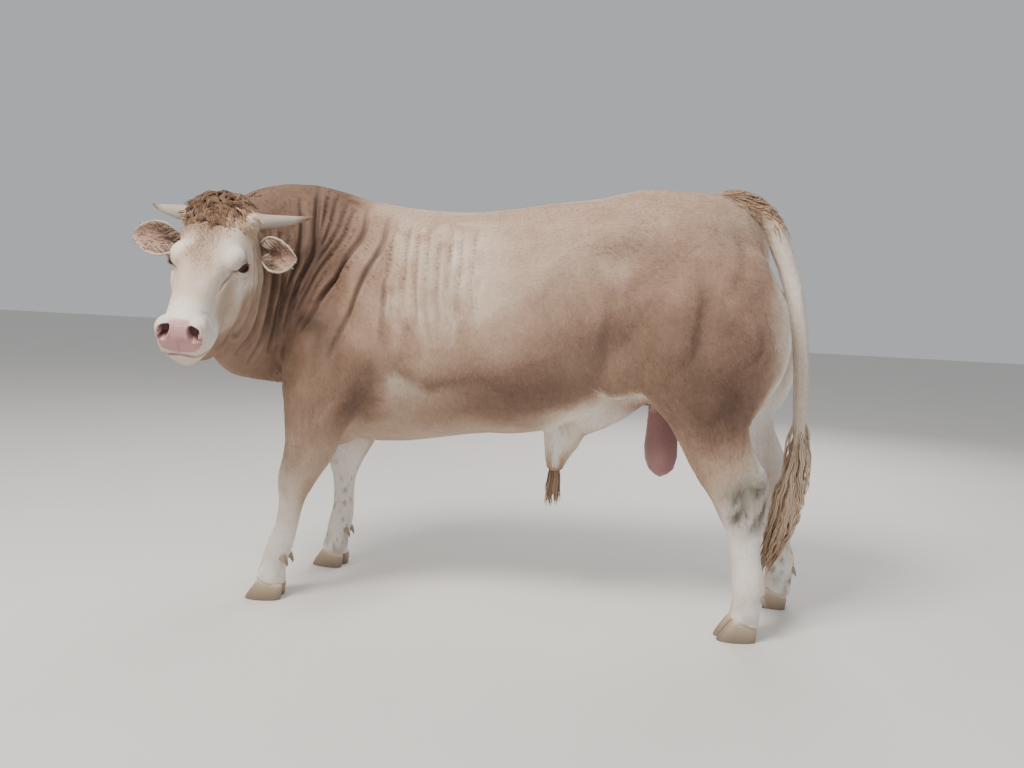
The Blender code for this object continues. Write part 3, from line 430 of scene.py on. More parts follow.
@dataclass(frozen=True)
class Stance:
    """How the bull stands: the named sizes and the frames that its parts share."""

    croup: float = 1.506
    back: float = 1.410
    withers: float = 1.432
    crest: float = 1.482
    chest_floor: float = 0.560
    barrel_half_width: float = 0.350
    thigh_half_width: float = 0.145
    neck_radius: float = 0.37
    neck_root: Vec3 = (-0.50, 0.0, 0.0)
    coronet: float = 0.074
    coronet_slope: float = 0.26
    poll: Vec3 = (-0.864, -0.410, 1.352)
    head_heading: float = math.radians(98.5)
    head_pitch: float = math.radians(42.0)
    head_roll: float = math.radians(-5.7)
    eye: Vec3 = (0.218, 0.0965, -0.056)
    eye_radius: float = 0.0205

    def head(self) -> Matrix:
        """The head's own frame.

        Returns:
            Forward, left and up as axes, with the origin at the poll.
        """
        level = math.cos(self.head_pitch)
        heading = (-math.cos(self.head_heading) * level, -math.sin(self.head_heading) * level)
        forward = Vector((*heading, -math.sin(self.head_pitch)))
        left = Vector((math.sin(self.head_heading), -math.cos(self.head_heading), 0))
        up = forward.cross(left)
        tilted = left * math.cos(self.head_roll) + up * math.sin(self.head_roll)
        matrix = Matrix((forward, tilted, forward.cross(tilted))).transposed().to_4x4()
        return Matrix.Translation(Vector(self.poll)) @ matrix

    def turn(self) -> Array:
        """The turn of the head's frame alone."""
        return np.array(self.head())[:3, :3]

    def shift(self) -> Vector:
        """How far the frame of the CAD stands from the frame of these sizes."""
        low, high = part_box("eye_left")
        return (low + high) / 2 - self.head() @ Vector(self.eye)

    def to_head(self, points: Array) -> Array:
        """Places in the head's frame."""
        inverse = np.array(self.head().inverted())
        return points @ inverse[:3, :3].T + inverse[:3, 3]

    def from_head(self, points: Array) -> Array:
        """Places of the head's frame in the body's."""
        matrix = np.array(self.head())
        return points @ matrix[:3, :3].T + matrix[:3, 3]

    def head_share(self, points: Array) -> Array:
        """How much each point belongs to the head, from 0 to 1.

        Args:
            points: one row for each place.

        Returns:
            0 for the body to 1 for the head.
        """
        local = self.to_head(points)
        forward = np.clip((local[:, 0] + 0.02) / 0.06, 0, 1)
        near = np.clip((0.42 - np.linalg.norm(local - (0.25, 0, -0.12), axis=1)) / 0.06, 0, 1)
        return forward * near

    def neck_centre(self, angle: float) -> Vector:
        """Place on the neck's line, which turns to the left on a circle.

        Args:
            angle: degrees along the bend.

        Returns:
            The place.
        """
        turned = math.radians(max(angle, 0.0))
        ahead = self.neck_radius * (math.sin(turned) + math.radians(min(angle, 0.0)))
        return Vector(self.neck_root) + Vector((-ahead, -self.neck_radius * (1 - math.cos(turned)), 0))

    def neck_angle(self, points: Array) -> Array:
        """Degrees that each point lies along the bend of the neck, 0 at its root.

        Args:
            points: one row for each place.

        Returns:
            Degrees, 0 at the neck's root.
        """
        ahead = self.neck_root[0] - points[:, 0]
        across = self.neck_radius + points[:, 1]
        return np.degrees(np.arctan2(ahead, np.maximum(across, 0.02)))


STANCE = Stance()


@dataclass(frozen=True)
class Leg:
    """One leg: its sections, its side and how far it is set back at each height."""

    name: str
    rows: tuple[tuple[float, ...], ...]
    side: int
    heights: tuple[float, ...] = (0.0, 1.0)
    setback: tuple[float, ...] = (0.0, 0.0)
    foot: tuple[float, float] = (0.0, 0.0)
    dew: float = 0.0
    splay: float = 8.0

    def add(self, bm: BMesh) -> None:
        """Adds the leg as a loft of level sections.

        Args:
            bm: the mesh that takes it.
        """
        rows = np.array(self.rows)
        heights = np.linspace(rows[0, 0], rows[-1, 0], 40)
        rings = []
        for z, (front, rear, off, half) in zip(heights, spline(-rows[:, 0], rows[:, 1:], -heights)):
            across, along = oval(half, (rear - front) / 2, (rear - front) / 2, 20, 2.3, 2.1)
            middle = (front + rear) / 2 + float(np.interp(z, self.heights, self.setback))
            rings.append([(middle - x, self.side * off + y, z) for y, x in zip(across, along)])
        add_loft(bm, rings)

    def turn(self) -> float:
        """How far the foot turns outward, in radians about Z."""
        return math.radians(-self.side * self.splay)


FORE_ROWS = (
    (1.00, -0.720, -0.38, 0.190, 0.095),
    (0.90, -0.735, -0.37, 0.215, 0.102),
    (0.80, -0.728, -0.385, 0.226, 0.102),
    (0.72, -0.722, -0.430, 0.228, 0.096),
    (0.64, -0.717, -0.485, 0.226, 0.085),
    (0.55, -0.716, -0.530, 0.222, 0.073),
    (0.50, -0.726, -0.555, 0.220, 0.065),
    (0.45, -0.738, -0.590, 0.218, 0.063),
    (0.41, -0.738, -0.617, 0.216, 0.060),
    (0.37, -0.734, -0.640, 0.214, 0.049),
    (0.32, -0.740, -0.655, 0.212, 0.042),
    (0.26, -0.752, -0.668, 0.210, 0.041),
    (0.21, -0.772, -0.680, 0.209, 0.050),
    (0.175, -0.786, -0.690, 0.208, 0.055),
    (0.13, -0.796, -0.708, 0.208, 0.052),
    (0.09, -0.812, -0.712, 0.208, 0.057),
    (0.04, -0.822, -0.712, 0.208, 0.060),
)
HIND_ROWS = (
    (1.30, 0.47, 0.88, 0.155, 0.110),
    (1.18, 0.44, 0.94, 0.175, 0.138),
    (1.04, 0.45, 0.985, 0.185, STANCE.thigh_half_width),
    (0.94, 0.47, 0.985, 0.188, 0.142),
    (0.86, 0.49, 0.955, 0.188, 0.128),
    (0.79, 0.525, 0.915, 0.188, 0.108),
    (0.725, 0.592, 0.872, 0.188, 0.090),
    (0.66, 0.635, 0.888, 0.188, 0.074),
    (0.60, 0.668, 0.918, 0.188, 0.063),
    (0.54, 0.705, 0.944, 0.188, 0.058),
    (0.475, 0.755, 0.944, 0.188, 0.058),
    (0.41, 0.790, 0.942, 0.188, 0.049),
    (0.34, 0.824, 0.936, 0.188, 0.040),
    (0.28, 0.838, 0.940, 0.188, 0.039),
    (0.22, 0.846, 0.954, 0.188, 0.048),
    (0.175, 0.850, 0.963, 0.188, 0.055),
    (0.13, 0.856, 0.957, 0.188, 0.052),
    (0.09, 0.848, 0.950, 0.188, 0.057),
    (0.04, 0.842, 0.950, 0.188, 0.060),
)
LEGS = (
    Leg("fore_left", FORE_ROWS, -1, foot=(-0.785, -0.210), dew=-0.722),
    Leg(
        "fore_right",
        FORE_ROWS,
        1,
        heights=(0.10, 0.20, 0.33, 0.45, 0.80),
        setback=(0.095, 0.085, 0.055, 0.030, 0.0),
        foot=(-0.690, 0.210),
        dew=-0.632,
    ),
    Leg("hind_left", HIND_ROWS, -1, foot=(0.868, -0.188), dew=0.930),
    Leg(
        "hind_right",
        HIND_ROWS,
        1,
        heights=(0.15, 0.35, 0.60, 0.78, 0.90, 1.05, 1.30),
        setback=(0.175, 0.155, 0.142, 0.150, 0.12, 0.07, 0.0),
        foot=(1.043, 0.188),
        dew=1.105,
    ),
)

TAIL_ROWS = (
    (0.700, 0, 1.458, 0.040, 0.040),
    (0.760, 0, 1.476, 0.042, 0.036),
    (0.810, 0, 1.478, 0.042, 0.036),
    (0.865, 0, 1.455, 0.040, 0.038),
    (0.925, 0, 1.396, 0.038, 0.038),
    (0.972, 0, 1.300, 0.035, 0.036),
    (1.012, 0, 1.190, 0.032, 0.033),
    (1.042, 0, 1.060, 0.029, 0.029),
    (1.062, 0, 0.900, 0.027, 0.0275),
    (1.070, 0, 0.760, 0.026, 0.0265),
    (1.071, 0, 0.660, 0.020, 0.020),
    (1.068, 0, 0.600, 0.008, 0.008),
)
SCROTUM_ROWS = (
    (0.585, 0, 0.800, 0.045, 0.045),
    (0.588, 0, 0.730, 0.046, 0.045),
    (0.592, 0, 0.670, 0.058, 0.055),
    (0.597, 0, 0.610, 0.066, 0.062),
    (0.600, 0, 0.550, 0.060, 0.055),
    (0.601, 0, 0.515, 0.040, 0.036),
    (0.601, 0, 0.499, 0.012, 0.010),
)
SHEATH_ROWS = (
    (0.262, 0, 0.690, 0.055, 0.075),
    (0.240, 0, 0.610, 0.050, 0.068),
    (0.228, 0, 0.560, 0.040, 0.050),
    (0.222, 0, 0.520, 0.030, 0.036),
    (0.220, 0, 0.495, 0.022, 0.025),
    (0.220, 0, 0.488, 0.012, 0.013),
)


@dataclass(frozen=True)
class Bump:
    """A muscle, bone or hollow that stands out of the skin or sinks into it."""

    centre: Vec3
    reach: Vec3
    turn: float
    height: float


BODY_BUMPS = (
    Bump((-0.450, 0.290, 1.180), (0.110, 0.20, 0.260), -24, 0.020),
    Bump((-0.560, 0.290, 1.140), (0.070, 0.20, 0.240), -24, -0.010),
    Bump((-0.300, 0.340, 1.080), (0.070, 0.20, 0.240), -18, -0.014),
    Bump((-0.380, 0.330, 0.900), (0.150, 0.20, 0.130), 30, 0.020),
    Bump((-0.600, 0.300, 0.900), (0.090, 0.20, 0.110), 0, 0.014),
    Bump((-0.620, 0.290, 0.660), (0.070, 0.12, 0.110), 0, 0.012),
    Bump((0.060, 0.160, 1.400), (0.330, 0.12, 0.160), 0, 0.012),
    Bump((0.390, 0.260, 1.330), (0.110, 0.20, 0.090), 0, 0.026),
    Bump((0.300, 0.330, 1.140), (0.130, 0.20, 0.160), 20, -0.020),
    Bump((0.630, 0.230, 1.330), (0.200, 0.20, 0.130), 6, 0.020),
    Bump((0.560, 0.340, 1.040), (0.130, 0.20, 0.210), 12, 0.016),
    Bump((0.800, 0.340, 1.060), (0.120, 0.20, 0.260), -6, 0.022),
    Bump((0.690, 0.340, 0.960), (0.045, 0.20, 0.250), 2, -0.010),
    Bump((0.720, 0.280, 0.760), (0.120, 0.14, 0.110), 24, 0.008),
)
# Places of the face in the head's frame, and the half sizes of the opening between the lids
NOSTRIL = (0.542, 0.041, -0.048)
LID_HALF, LID_UPPER, LID_LOWER = 0.0195, 0.0128, 0.0090
HEAD_BUMPS = (
    Bump((0.190, 0.100, 0.000), (0.060, 0.060, 0.045), 0, 0.004),
    Bump((0.150, 0.130, -0.140), (0.100, 0.060, 0.090), 0, 0.006),
    Bump((0.270, 0.100, -0.100), (0.090, 0.050, 0.028), 6, 0.010),
    Bump((0.330, 0.080, -0.150), (0.070, 0.050, 0.050), 0, -0.010),
    Bump((0.514, 0.056, -0.054), (0.035, 0.050, 0.035), 0, 0.005),
)
# Finer forms that only the skin has
FINE_BODY_BUMPS = (
    Bump((-0.655, 0.215, 0.425), (0.050, 0.10, 0.050), 0, 0.006),
    Bump((-0.630, 0.170, 0.360), (0.030, 0.06, 0.040), 0, 0.004),
    Bump((0.930, 0.190, 0.560), (0.030, 0.10, 0.060), 0, 0.008),
    Bump((0.800, 0.240, 0.520), (0.040, 0.05, 0.060), -20, 0.005),
    Bump((0.860, 0.240, 0.470), (0.030, 0.05, 0.090), -14, -0.005),
    Bump((-0.520, 0.300, 0.780), (0.060, 0.12, 0.120), 20, -0.006),
    Bump((0.480, 0.280, 1.425), (0.050, 0.10, 0.035), 0, 0.008),
    Bump((0.470, 0.330, 0.930), (0.050, 0.12, 0.110), 30, 0.008),
)
FINE_HEAD_BUMPS = (
    Bump((0.265, 0.060, -0.010), (0.090, 0.030, 0.040), 0, 0.004),
    Bump((0.355, 0.075, -0.070), (0.100, 0.040, 0.020), 6, 0.004),
    Bump((0.375, 0.080, -0.110), (0.080, 0.040, 0.016), 8, -0.003),
    Bump((0.445, 0.070, -0.115), (0.060, 0.040, 0.024), 0, 0.004),
    Bump((0.500, 0.0, -0.150), (0.060, 0.070, 0.018), 0, 0.004),
    Bump((0.120, 0.120, -0.235), (0.080, 0.050, 0.050), 0, 0.006),
    Bump((0.235, 0.110, -0.110), (0.050, 0.040, 0.020), 10, -0.003),
)


@dataclass(frozen=True)
class Crease:
    """A fold line of the skin: a furrow with a low ridge on both sides, and painted shade along the furrow.
    """

    points: tuple[Vec3, ...]
    depth: float
    width: float
    # How much painted shade the furrow gets
    dark: float = 0.6
    on_head: bool = False
    mirrored: float = 0.0
    ridge: float = 0.45


def creases(rows: Iterable[tuple[Vec3, ...]], **sizes: Any) -> tuple[Crease, ...]:
    """Creases of one kind."""
    return tuple(Crease(points, **sizes) for points in rows)


NECK_FOLDS = creases(
    (
        (
            (-0.669, -0.100, 1.472), (-0.627, -0.215, 1.351), (-0.623, -0.244, 1.230),
            (-0.662, -0.280, 1.119), (-0.705, -0.269, 0.964)
        ),
        (
            (-0.478, -0.106, 1.404), (-0.465, -0.226, 1.289), (-0.516, -0.255, 1.200),
            (-0.601, -0.251, 1.058), (-0.648, -0.287, 0.964)
        ),
        (
            (-0.389, -0.148, 1.374), (-0.387, -0.240, 1.264), (-0.436, -0.291, 1.142),
            (-0.491, -0.290, 1.006), (-0.529, -0.320, 0.888)
        ),
        (
            (-0.690, -0.213, 1.407), (-0.662, -0.250, 1.319), (-0.667, -0.281, 1.192),
            (-0.703, -0.306, 1.062), (-0.733, -0.277, 0.925)
        ),
    ),
    depth=0.012,
    width=0.0085,
    dark=0.75,
    mirrored=0.35,
)
NECK_LINES = creases(
    (
        ((-0.587, -0.113, 1.445), (-0.577, -0.214, 1.333), (-0.621, -0.246, 1.196), (-0.686, -0.288, 1.060)),
        ((-0.515, -0.149, 1.390), (-0.528, -0.226, 1.286), (-0.596, -0.237, 1.185), (-0.673, -0.265, 1.020)),
        ((-0.445, -0.224, 1.290), (-0.489, -0.253, 1.222), (-0.560, -0.244, 1.125), (-0.594, -0.252, 1.065)),
        ((-0.696, -0.292, 1.264), (-0.685, -0.297, 1.191), (-0.704, -0.315, 1.096), (-0.735, -0.317, 0.994)),
        ((-0.622, -0.106, 1.459), (-0.601, -0.207, 1.360), (-0.612, -0.238, 1.255), (-0.657, -0.276, 1.133)),
        ((-0.544, -0.119, 1.424), (-0.550, -0.218, 1.317), (-0.609, -0.241, 1.197), (-0.676, -0.276, 1.047)),
    ),
    depth=0.007,
    width=0.0060,
    dark=0.55,
    mirrored=0.4,
)
CHEEK_FOLDS = creases(
    (
        (
            (-0.740, -0.401, 1.291), (-0.745, -0.368, 1.190), (-0.750, -0.367, 1.059),
            (-0.784, -0.362, 0.942), (-0.822, -0.383, 0.884)
        ),
        (
            (-0.741, -0.322, 1.299), (-0.721, -0.335, 1.177), (-0.735, -0.337, 1.044),
            (-0.768, -0.320, 0.925), (-0.810, -0.315, 0.848)
        ),
        ((-0.718, -0.308, 1.278), (-0.699, -0.312, 1.162), (-0.717, -0.311, 1.028), (-0.757, -0.277, 0.890)),
    ),
    depth=0.011,
    width=0.0080,
    dark=0.7,
)
JAW_FOLDS = creases(
    (((-0.750, -0.427, 1.218), (-0.753, -0.391, 1.091), (-0.803, -0.410, 0.958), (-0.826, -0.514, 0.902)),),
    depth=0.006,
    width=0.0085,
    dark=0.3,
)
RIB_LINES = creases(
    (
        ((-0.363, -0.175, 1.348), (-0.352, -0.257, 1.214), (-0.355, -0.304, 1.079), (-0.358, -0.322, 0.947)),
        ((-0.304, -0.196, 1.328), (-0.297, -0.271, 1.208), (-0.296, -0.294, 1.082), (-0.280, -0.314, 0.964)),
        ((-0.270, -0.193, 1.336), (-0.259, -0.274, 1.216), (-0.251, -0.311, 1.084), (-0.230, -0.322, 0.954)),
        ((-0.232, -0.203, 1.330), (-0.220, -0.281, 1.211), (-0.216, -0.320, 1.085), (-0.187, -0.330, 0.940)),
        ((-0.195, -0.201, 1.338), (-0.182, -0.286, 1.212), (-0.175, -0.325, 1.087), (-0.150, -0.335, 0.942)),
        ((-0.155, -0.211, 1.332), (-0.144, -0.291, 1.214), (-0.137, -0.329, 1.089), (-0.112, -0.340, 0.944)),
        ((-0.115, -0.222, 1.325), (-0.106, -0.296, 1.215), (-0.101, -0.332, 1.104), (-0.080, -0.343, 0.979)),
        ((-0.069, -0.233, 1.319), (-0.062, -0.301, 1.216), (-0.059, -0.332, 1.118), (-0.042, -0.345, 1.013)),
    ),
    depth=0.0062,
    width=0.0080,
    dark=0.20,
    mirrored=0.8,
)
MUSCLE_LINES = creases(
    (
        (
            (0.691, -0.250, 1.356), (0.793, -0.201, 1.326), (0.802, -0.263, 1.252), (0.761, -0.328, 1.147),
            (0.719, -0.330, 1.005)
        ),
        ((0.630, -0.288, 1.284), (0.682, -0.314, 1.159), (0.677, -0.320, 1.002), (0.624, -0.308, 0.872)),
        ((0.410, -0.309, 1.273), (0.394, -0.312, 1.115), (0.385, -0.293, 0.953), (0.410, -0.266, 0.839)),
        ((-0.557, -0.256, 1.070), (-0.566, -0.299, 0.969), (-0.567, -0.328, 0.869), (-0.587, -0.321, 0.750)),
        ((-0.319, -0.296, 1.081), (-0.331, -0.323, 0.948), (-0.298, -0.304, 0.843), (-0.208, -0.290, 0.804)),
        ((-0.460, -0.307, 0.974), (-0.395, -0.330, 0.905), (-0.385, -0.306, 0.811), (-0.439, -0.257, 0.718)),
    ),
    depth=0.0060,
    width=0.020,
    dark=0.14,
    mirrored=1.0,
    ridge=0.2,
)
HOCK_LINES = creases(
    (
        ((0.841, -0.323, 1.095), (0.878, -0.314, 0.988), (0.803, -0.328, 0.900)),
        ((-0.700, -0.250, 0.430), (-0.690, -0.262, 0.400), (-0.680, -0.250, 0.372)),
    ),
    depth=0.0050,
    width=0.014,
    dark=0.12,
    mirrored=1.0,
    ridge=0.3,
)
MOUTH = (
    (0.385, 0.075, -0.154), (0.430, 0.078, -0.152), (0.480, 0.072, -0.145), (0.530, 0.060, -0.130),
    (0.562, 0.0, -0.117)
)
FACE_LINES = (
    Crease(
        MOUTH,
        depth=0.0085, width=0.0030, dark=1.0, on_head=True, mirrored=1.0, ridge=0.4,
    ),
    Crease(
        (
            (0.246, 0.106, -0.040), (0.260, 0.090, -0.045), (0.280, 0.077, -0.051), (0.305, 0.070, -0.051),
            (0.335, 0.066, -0.054)
        ),
        depth=0.0030, width=0.0036, dark=0.62, on_head=True, mirrored=1.0, ridge=0.4,
    ),
    Crease(
        ((0.102, 0.112, -0.056), (0.149, 0.123, -0.086), (0.179, 0.126, -0.136), (0.203, 0.117, -0.202)),
        depth=0.0026, width=0.0050, dark=0.30, on_head=True, mirrored=1.0, ridge=0.4,
    ),
    Crease(
        ((0.097, 0.122, -0.079), (0.136, 0.130, -0.129), (0.170, 0.130, -0.186), (0.210, 0.122, -0.240)),
        depth=0.0024, width=0.0050, dark=0.26, on_head=True, mirrored=1.0, ridge=0.4,
    ),
    Crease(
        ((0.180, 0.115, -0.020), (0.205, 0.122, -0.026), (0.236, 0.118, -0.026)),
        depth=0.0028, width=0.0035, dark=0.35, on_head=True, mirrored=1.0, ridge=0.5,
    ),
    Crease(
        ((0.190, 0.118, -0.092), (0.215, 0.118, -0.094), (0.245, 0.112, -0.078)),
        depth=0.0028, width=0.0040, dark=0.30, on_head=True, mirrored=1.0, ridge=0.5,
    ),
    Crease(
        ((0.185, 0.118, -0.104), (0.215, 0.117, -0.108), (0.255, 0.108, -0.092)),
        depth=0.0020, width=0.0040, dark=0.15, on_head=True, mirrored=1.0, ridge=0.4,
    ),
    Crease(
        ((0.388, 0.075, -0.150), (0.370, 0.078, -0.160), (0.364, 0.076, -0.182)),
        depth=0.0035, width=0.0045, dark=0.30, on_head=True, mirrored=1.0, ridge=0.3,
    ),
    Crease(
        ((0.380, 0.070, -0.145), (0.355, 0.076, -0.160), (0.345, 0.076, -0.185)),
        depth=0.0022, width=0.0055, dark=0.12, on_head=True, mirrored=1.0, ridge=0.3,
    ),
    Crease(
        ((0.552, 0.0, -0.062), (0.560, 0.0, -0.085), (0.560, 0.0, -0.112)),
        depth=0.0018, width=0.0032, dark=0.22, on_head=True, mirrored=0.0, ridge=0.3,
    ),
    Crease(
        ((0.488, 0.070, -0.040), (0.470, 0.078, -0.070), (0.476, 0.080, -0.100)),
        depth=0.0022, width=0.0055, dark=0.10, on_head=True, mirrored=1.0, ridge=0.5,
    ),
    Crease(
        ((0.455, 0.062, -0.030), (0.440, 0.074, -0.060), (0.446, 0.078, -0.095)),
        depth=0.0016, width=0.0060, dark=0.08, on_head=True, mirrored=1.0, ridge=0.4,
    ),
)
ALL_CREASES = (
    NECK_FOLDS + NECK_LINES + CHEEK_FOLDS + JAW_FOLDS + RIB_LINES + MUSCLE_LINES + HOCK_LINES + FACE_LINES
)


class Skin:
    """The bull's one skin: it stands for every node of flesh and lies inside them by the coat's depth."""

    voxel: float = 0.0085
    fine_voxel: float = 0.0052
    coat_depth: float = 0.0030
    triangles: int = 192000

    def __init__(self) -> None:
        """Builds the skin."""
        self.obj = self.fuse()
        self.refine()

    def add_torso(self, bm: BMesh) -> None:
        """Chest, barrel, loin and croup as sections along the body.

        Args:
            bm: the mesh that takes it.
        """
        s = STANCE
        rows = np.array([
            (-0.74, 1.05, 0.80, 0.10, 0.92, 2.0),
            (-0.70, 1.22, 0.70, 0.18, 0.93, 2.0),
            (-0.62, 1.36, 0.60, 0.25, 0.95, 2.0),
            (-0.50, s.withers, s.chest_floor, 0.285, 0.96, 2.0),
            (-0.36, 1.420, s.chest_floor, 0.310, 0.97, 2.1),
            (-0.20, s.back, 0.585, 0.332, 0.98, 2.2),
            (-0.04, s.back, 0.612, s.barrel_half_width, 0.98, 2.3),
            (0.10, 1.430, 0.620, 0.356, 0.99, 2.4),
            (0.22, 1.452, 0.650, s.barrel_half_width, 1.01, 2.5),
            (0.34, 1.470, 0.700, 0.332, 1.06, 2.6),
            (0.46, 1.502, 0.770, 0.308, 1.12, 2.6),
            (0.60, s.croup, 0.820, 0.290, 1.15, 2.5),
            (0.74, 1.495, 0.860, 0.250, 1.17, 2.3),
            (0.85, 1.450, 0.930, 0.180, 1.18, 2.1),
            (0.92, 1.340, 1.030, 0.100, 1.18, 2.0),
        ])
        places = np.linspace(rows[0, 0], rows[-1, 0], 34)
        rings = []
        for x, (top, bottom, half, wide, power) in zip(places, spline(rows[:, 0], rows[:, 1:], places)):
            across, up = oval(half, top - wide, wide - bottom, 32, power, 1.9)
            rings.append([(x, y, wide + z) for y, z in zip(across, up)])
        add_loft(bm, rings)

    def add_neck(self, bm: BMesh) -> None:
        """Crested neck bent to the left, with a keel of dewlap below.

        Args:
            bm: the mesh that takes it.
        """
        rows = np.array([
            (-30, 1.37, 0.86, 0.200, 1.10),
            (0, 1.440, 0.77, 0.245, 1.09),
            (20, 1.474, 0.745, 0.235, 1.10),
            (40, STANCE.crest, 0.750, 0.212, 1.11),
            (60, 1.456, 0.765, 0.186, 1.12),
            (76, 1.402, 0.785, 0.160, 1.12),
            (88, 1.340, 0.815, 0.130, 1.11),
            (98, 1.220, 0.850, 0.095, 1.06),
        ])
        angles = np.linspace(rows[0, 0], rows[-1, 0], 26)
        rings = []
        for angle, (top, bottom, half, wide) in zip(angles, spline(rows[:, 0], rows[:, 1:], angles)):
            turned = math.radians(max(angle, 0.0))
            outward = Vector((-math.sin(turned), math.cos(turned), 0))
            across, up = oval(half, top - wide, wide - bottom, 28, 2.3, 1.45)
            centre = STANCE.neck_centre(angle)
            rings.append([centre + outward * a + Vector((0, 0, wide + z)) for a, z in zip(across, up)])
        add_loft(bm, rings)

    def add_head(self, bm: BMesh) -> None:
        """Skull, cheeks, jaw and muzzle as sections along the face, with their bulges.

        Args:
            bm: the mesh that takes it.
        """
        rows = np.array([
            (-0.07, -0.10, -0.22, 0.050, 0.070, 0.050),
            (-0.03, -0.03, -0.26, 0.085, 0.100, 0.070),
            (0.00, 0.002, -0.29, 0.104, 0.114, 0.078),
            (0.05, 0.016, -0.300, 0.118, 0.128, 0.080),
            (0.10, 0.020, -0.300, 0.117, 0.130, 0.080),
            (0.16, 0.018, -0.286, 0.111, 0.126, 0.076),
            (0.22, 0.010, -0.274, 0.099, 0.114, 0.070),
            (0.28, 0.001, -0.260, 0.080, 0.098, 0.064),
            (0.34, -0.008, -0.246, 0.066, 0.083, 0.056),
            (0.40, -0.015, -0.230, 0.060, 0.077, 0.054),
            (0.45, -0.020, -0.214, 0.060, 0.075, 0.054),
            (0.50, -0.023, -0.196, 0.062, 0.074, 0.050),
            (0.535, -0.031, -0.176, 0.060, 0.069, 0.042),
            (0.557, -0.052, -0.148, 0.046, 0.056, 0.032),
        ])
        place = STANCE.head()
        places = np.linspace(rows[0, 0], rows[-1, 0], 36)
        angle = np.linspace(0, 2 * math.pi, 28, endpoint=False)
        cos, sin = np.cos(angle), np.sin(angle)
        rings = []
        for f, (top, bottom, high, mid, low) in zip(places, spline(rows[:, 0], rows[:, 1:], places)):
            rise = np.abs(sin) ** 1.5
            half = np.where(sin > 0, mid + (high - mid) * rise, mid + (low - mid) * rise)
            across = half * np.sign(cos) * np.abs(cos) ** 0.8
            up = (top + bottom) / 2 + (top - bottom) / 2 * np.sign(sin) * np.abs(sin) ** 0.85
            rings.append([place @ Vector((f, a, u)) for a, u in zip(across, up)])
        add_loft(bm, rings)
        for side in SIDES:
            add_blob(bm, (0.130, side * 0.086, -0.170), (0.100, 0.046, 0.100), (0, 20, 0), place)
            add_blob(bm, (0.270, side * 0.058, -0.180), (0.120, 0.042, 0.065), (0, 12, side * -8), place)
            add_blob(bm, (0.212, side * 0.080, -0.046), (0.056, 0.036, 0.046), (0, -20, 0), place)
            add_blob(bm, (0.510, side * 0.044, -0.060), (0.044, 0.029, 0.038), (0, 0, 0), place)
            add_blob(bm, (0.472, side * 0.052, -0.112), (0.060, 0.031, 0.034), (0, 6, 0), place)
            add_blob(bm, (0.040, side * 0.098, -0.018), (0.040, 0.034, 0.037), (0, 0, 0), place)
            add_blob(bm, (0.052, side * 0.110, -0.100), (0.040, 0.030, 0.042), (0, 0, 0), place)
        add_blob(bm, (0.005, 0, -0.010), (0.060, 0.100, 0.042), (0, 0, 0), place)
        add_blob(bm, (0.492, 0, -0.168), (0.056, 0.046, 0.034), (0, 10, 0), place)
        add_blob(bm, (0.300, 0, -0.262), (0.140, 0.062, 0.072), (0, -6, 0), place)

    def add_masses(self, bm: BMesh) -> None:
        """Large masses that stand out of the sections.

        Args:
            bm: the mesh that takes it.
        """
        for side in (-1, 1):
            add_blob(bm, (-0.440, side * 0.235, 0.900), (0.150, 0.080, 0.180), (0, -30, 0))
            add_blob(bm, (-0.620, side * 0.190, 0.930), (0.110, 0.095, 0.140), (0, 10, 0))
            add_blob(bm, (0.460, side * 0.215, 0.930), (0.110, 0.075, 0.160), (0, 22, 0))
        for side, setback in ((-1, 0.0), (1, 0.09)):
            add_blob(bm, (0.880 + setback, side * 0.175, 1.010), (0.100, 0.110, 0.200), (0, 4, 0))
        add_blob(bm, (-0.610, 0, 0.690), (0.140, 0.120, 0.165), (0, -8, 0))
        add_blob(bm, (-0.750, -0.030, 0.755), (0.070, 0.045, 0.130), (0, 4, 0))
        add_blob(bm, (0.355, 0, 0.690), (0.200, 0.045, 0.050), (0, -24, 0))
        add_blob(bm, (0.600, 0, 0.820), (0.110, 0.070, 0.080), (0, 0, 0))

    def add_tube(
        self, bm: BMesh, stations: Sequence[Sequence[float]], sides: int = 24, inset: float = 0.0
    ) -> None:
        """Adds a closed body along a line of stations.

        Args:
            bm: mesh that takes it.
            stations: rows of x, y, z, half width across Y and half width in the bend's plane.
            sides: points of each ring.
            inset: how much thinner it is made all round.
        """
        rows = np.array(stations, float)
        knots = np.concatenate([[0], np.cumsum(np.linalg.norm(np.diff(rows[:, :3], axis=0), axis=1))])
        smooth = spline(knots, rows, np.linspace(0, knots[-1], 4 * len(rows)))
        rings = []
        for row, direction in zip(smooth, np.gradient(smooth[:, :3], axis=0)):
            ahead = Vector(direction).normalized()
            side = (Vector((0, 1, 0)) - ahead * ahead.y).normalized()
            out = ahead.cross(side)
            wide, deep = max(row[3] - inset, 0.003), max(row[4] - inset, 0.003)
            angles = [2 * math.pi * i / sides for i in range(sides)]
            rings.append(
                [Vector(row[:3]) + side * wide * math.cos(a) + out * deep * math.sin(a) for a in angles]
            )
        add_loft(bm, rings)

    def remesh(self, obj: Object, size: float) -> None:
        """Turns overlapping closed bodies into one surface of even faces.

        Args:
            obj: the overlapping bodies.
            size: size of a voxel.
        """
        modifier = obj.modifiers.new("fuse", "REMESH")
        modifier.mode = "VOXEL"
        modifier.voxel_size = size
        apply_modifiers(obj)

    def smooth(self, obj: Object, weights: Array, factor: float, rounds: int) -> None:
        """Softens the surface, each vertex by its own weight.

        Args:
            obj: the skin.
            weights: one weight for each vertex.
            factor: how strong a round is.
            rounds: number of rounds.
        """
        weigh(obj, "soft", weights)
        modifier = obj.modifiers.new("soften", "SMOOTH")
        modifier.factor = factor
        modifier.iterations = rounds
        modifier.vertex_group = "soft"
        apply_modifiers(obj)
        obj.vertex_groups.clear()

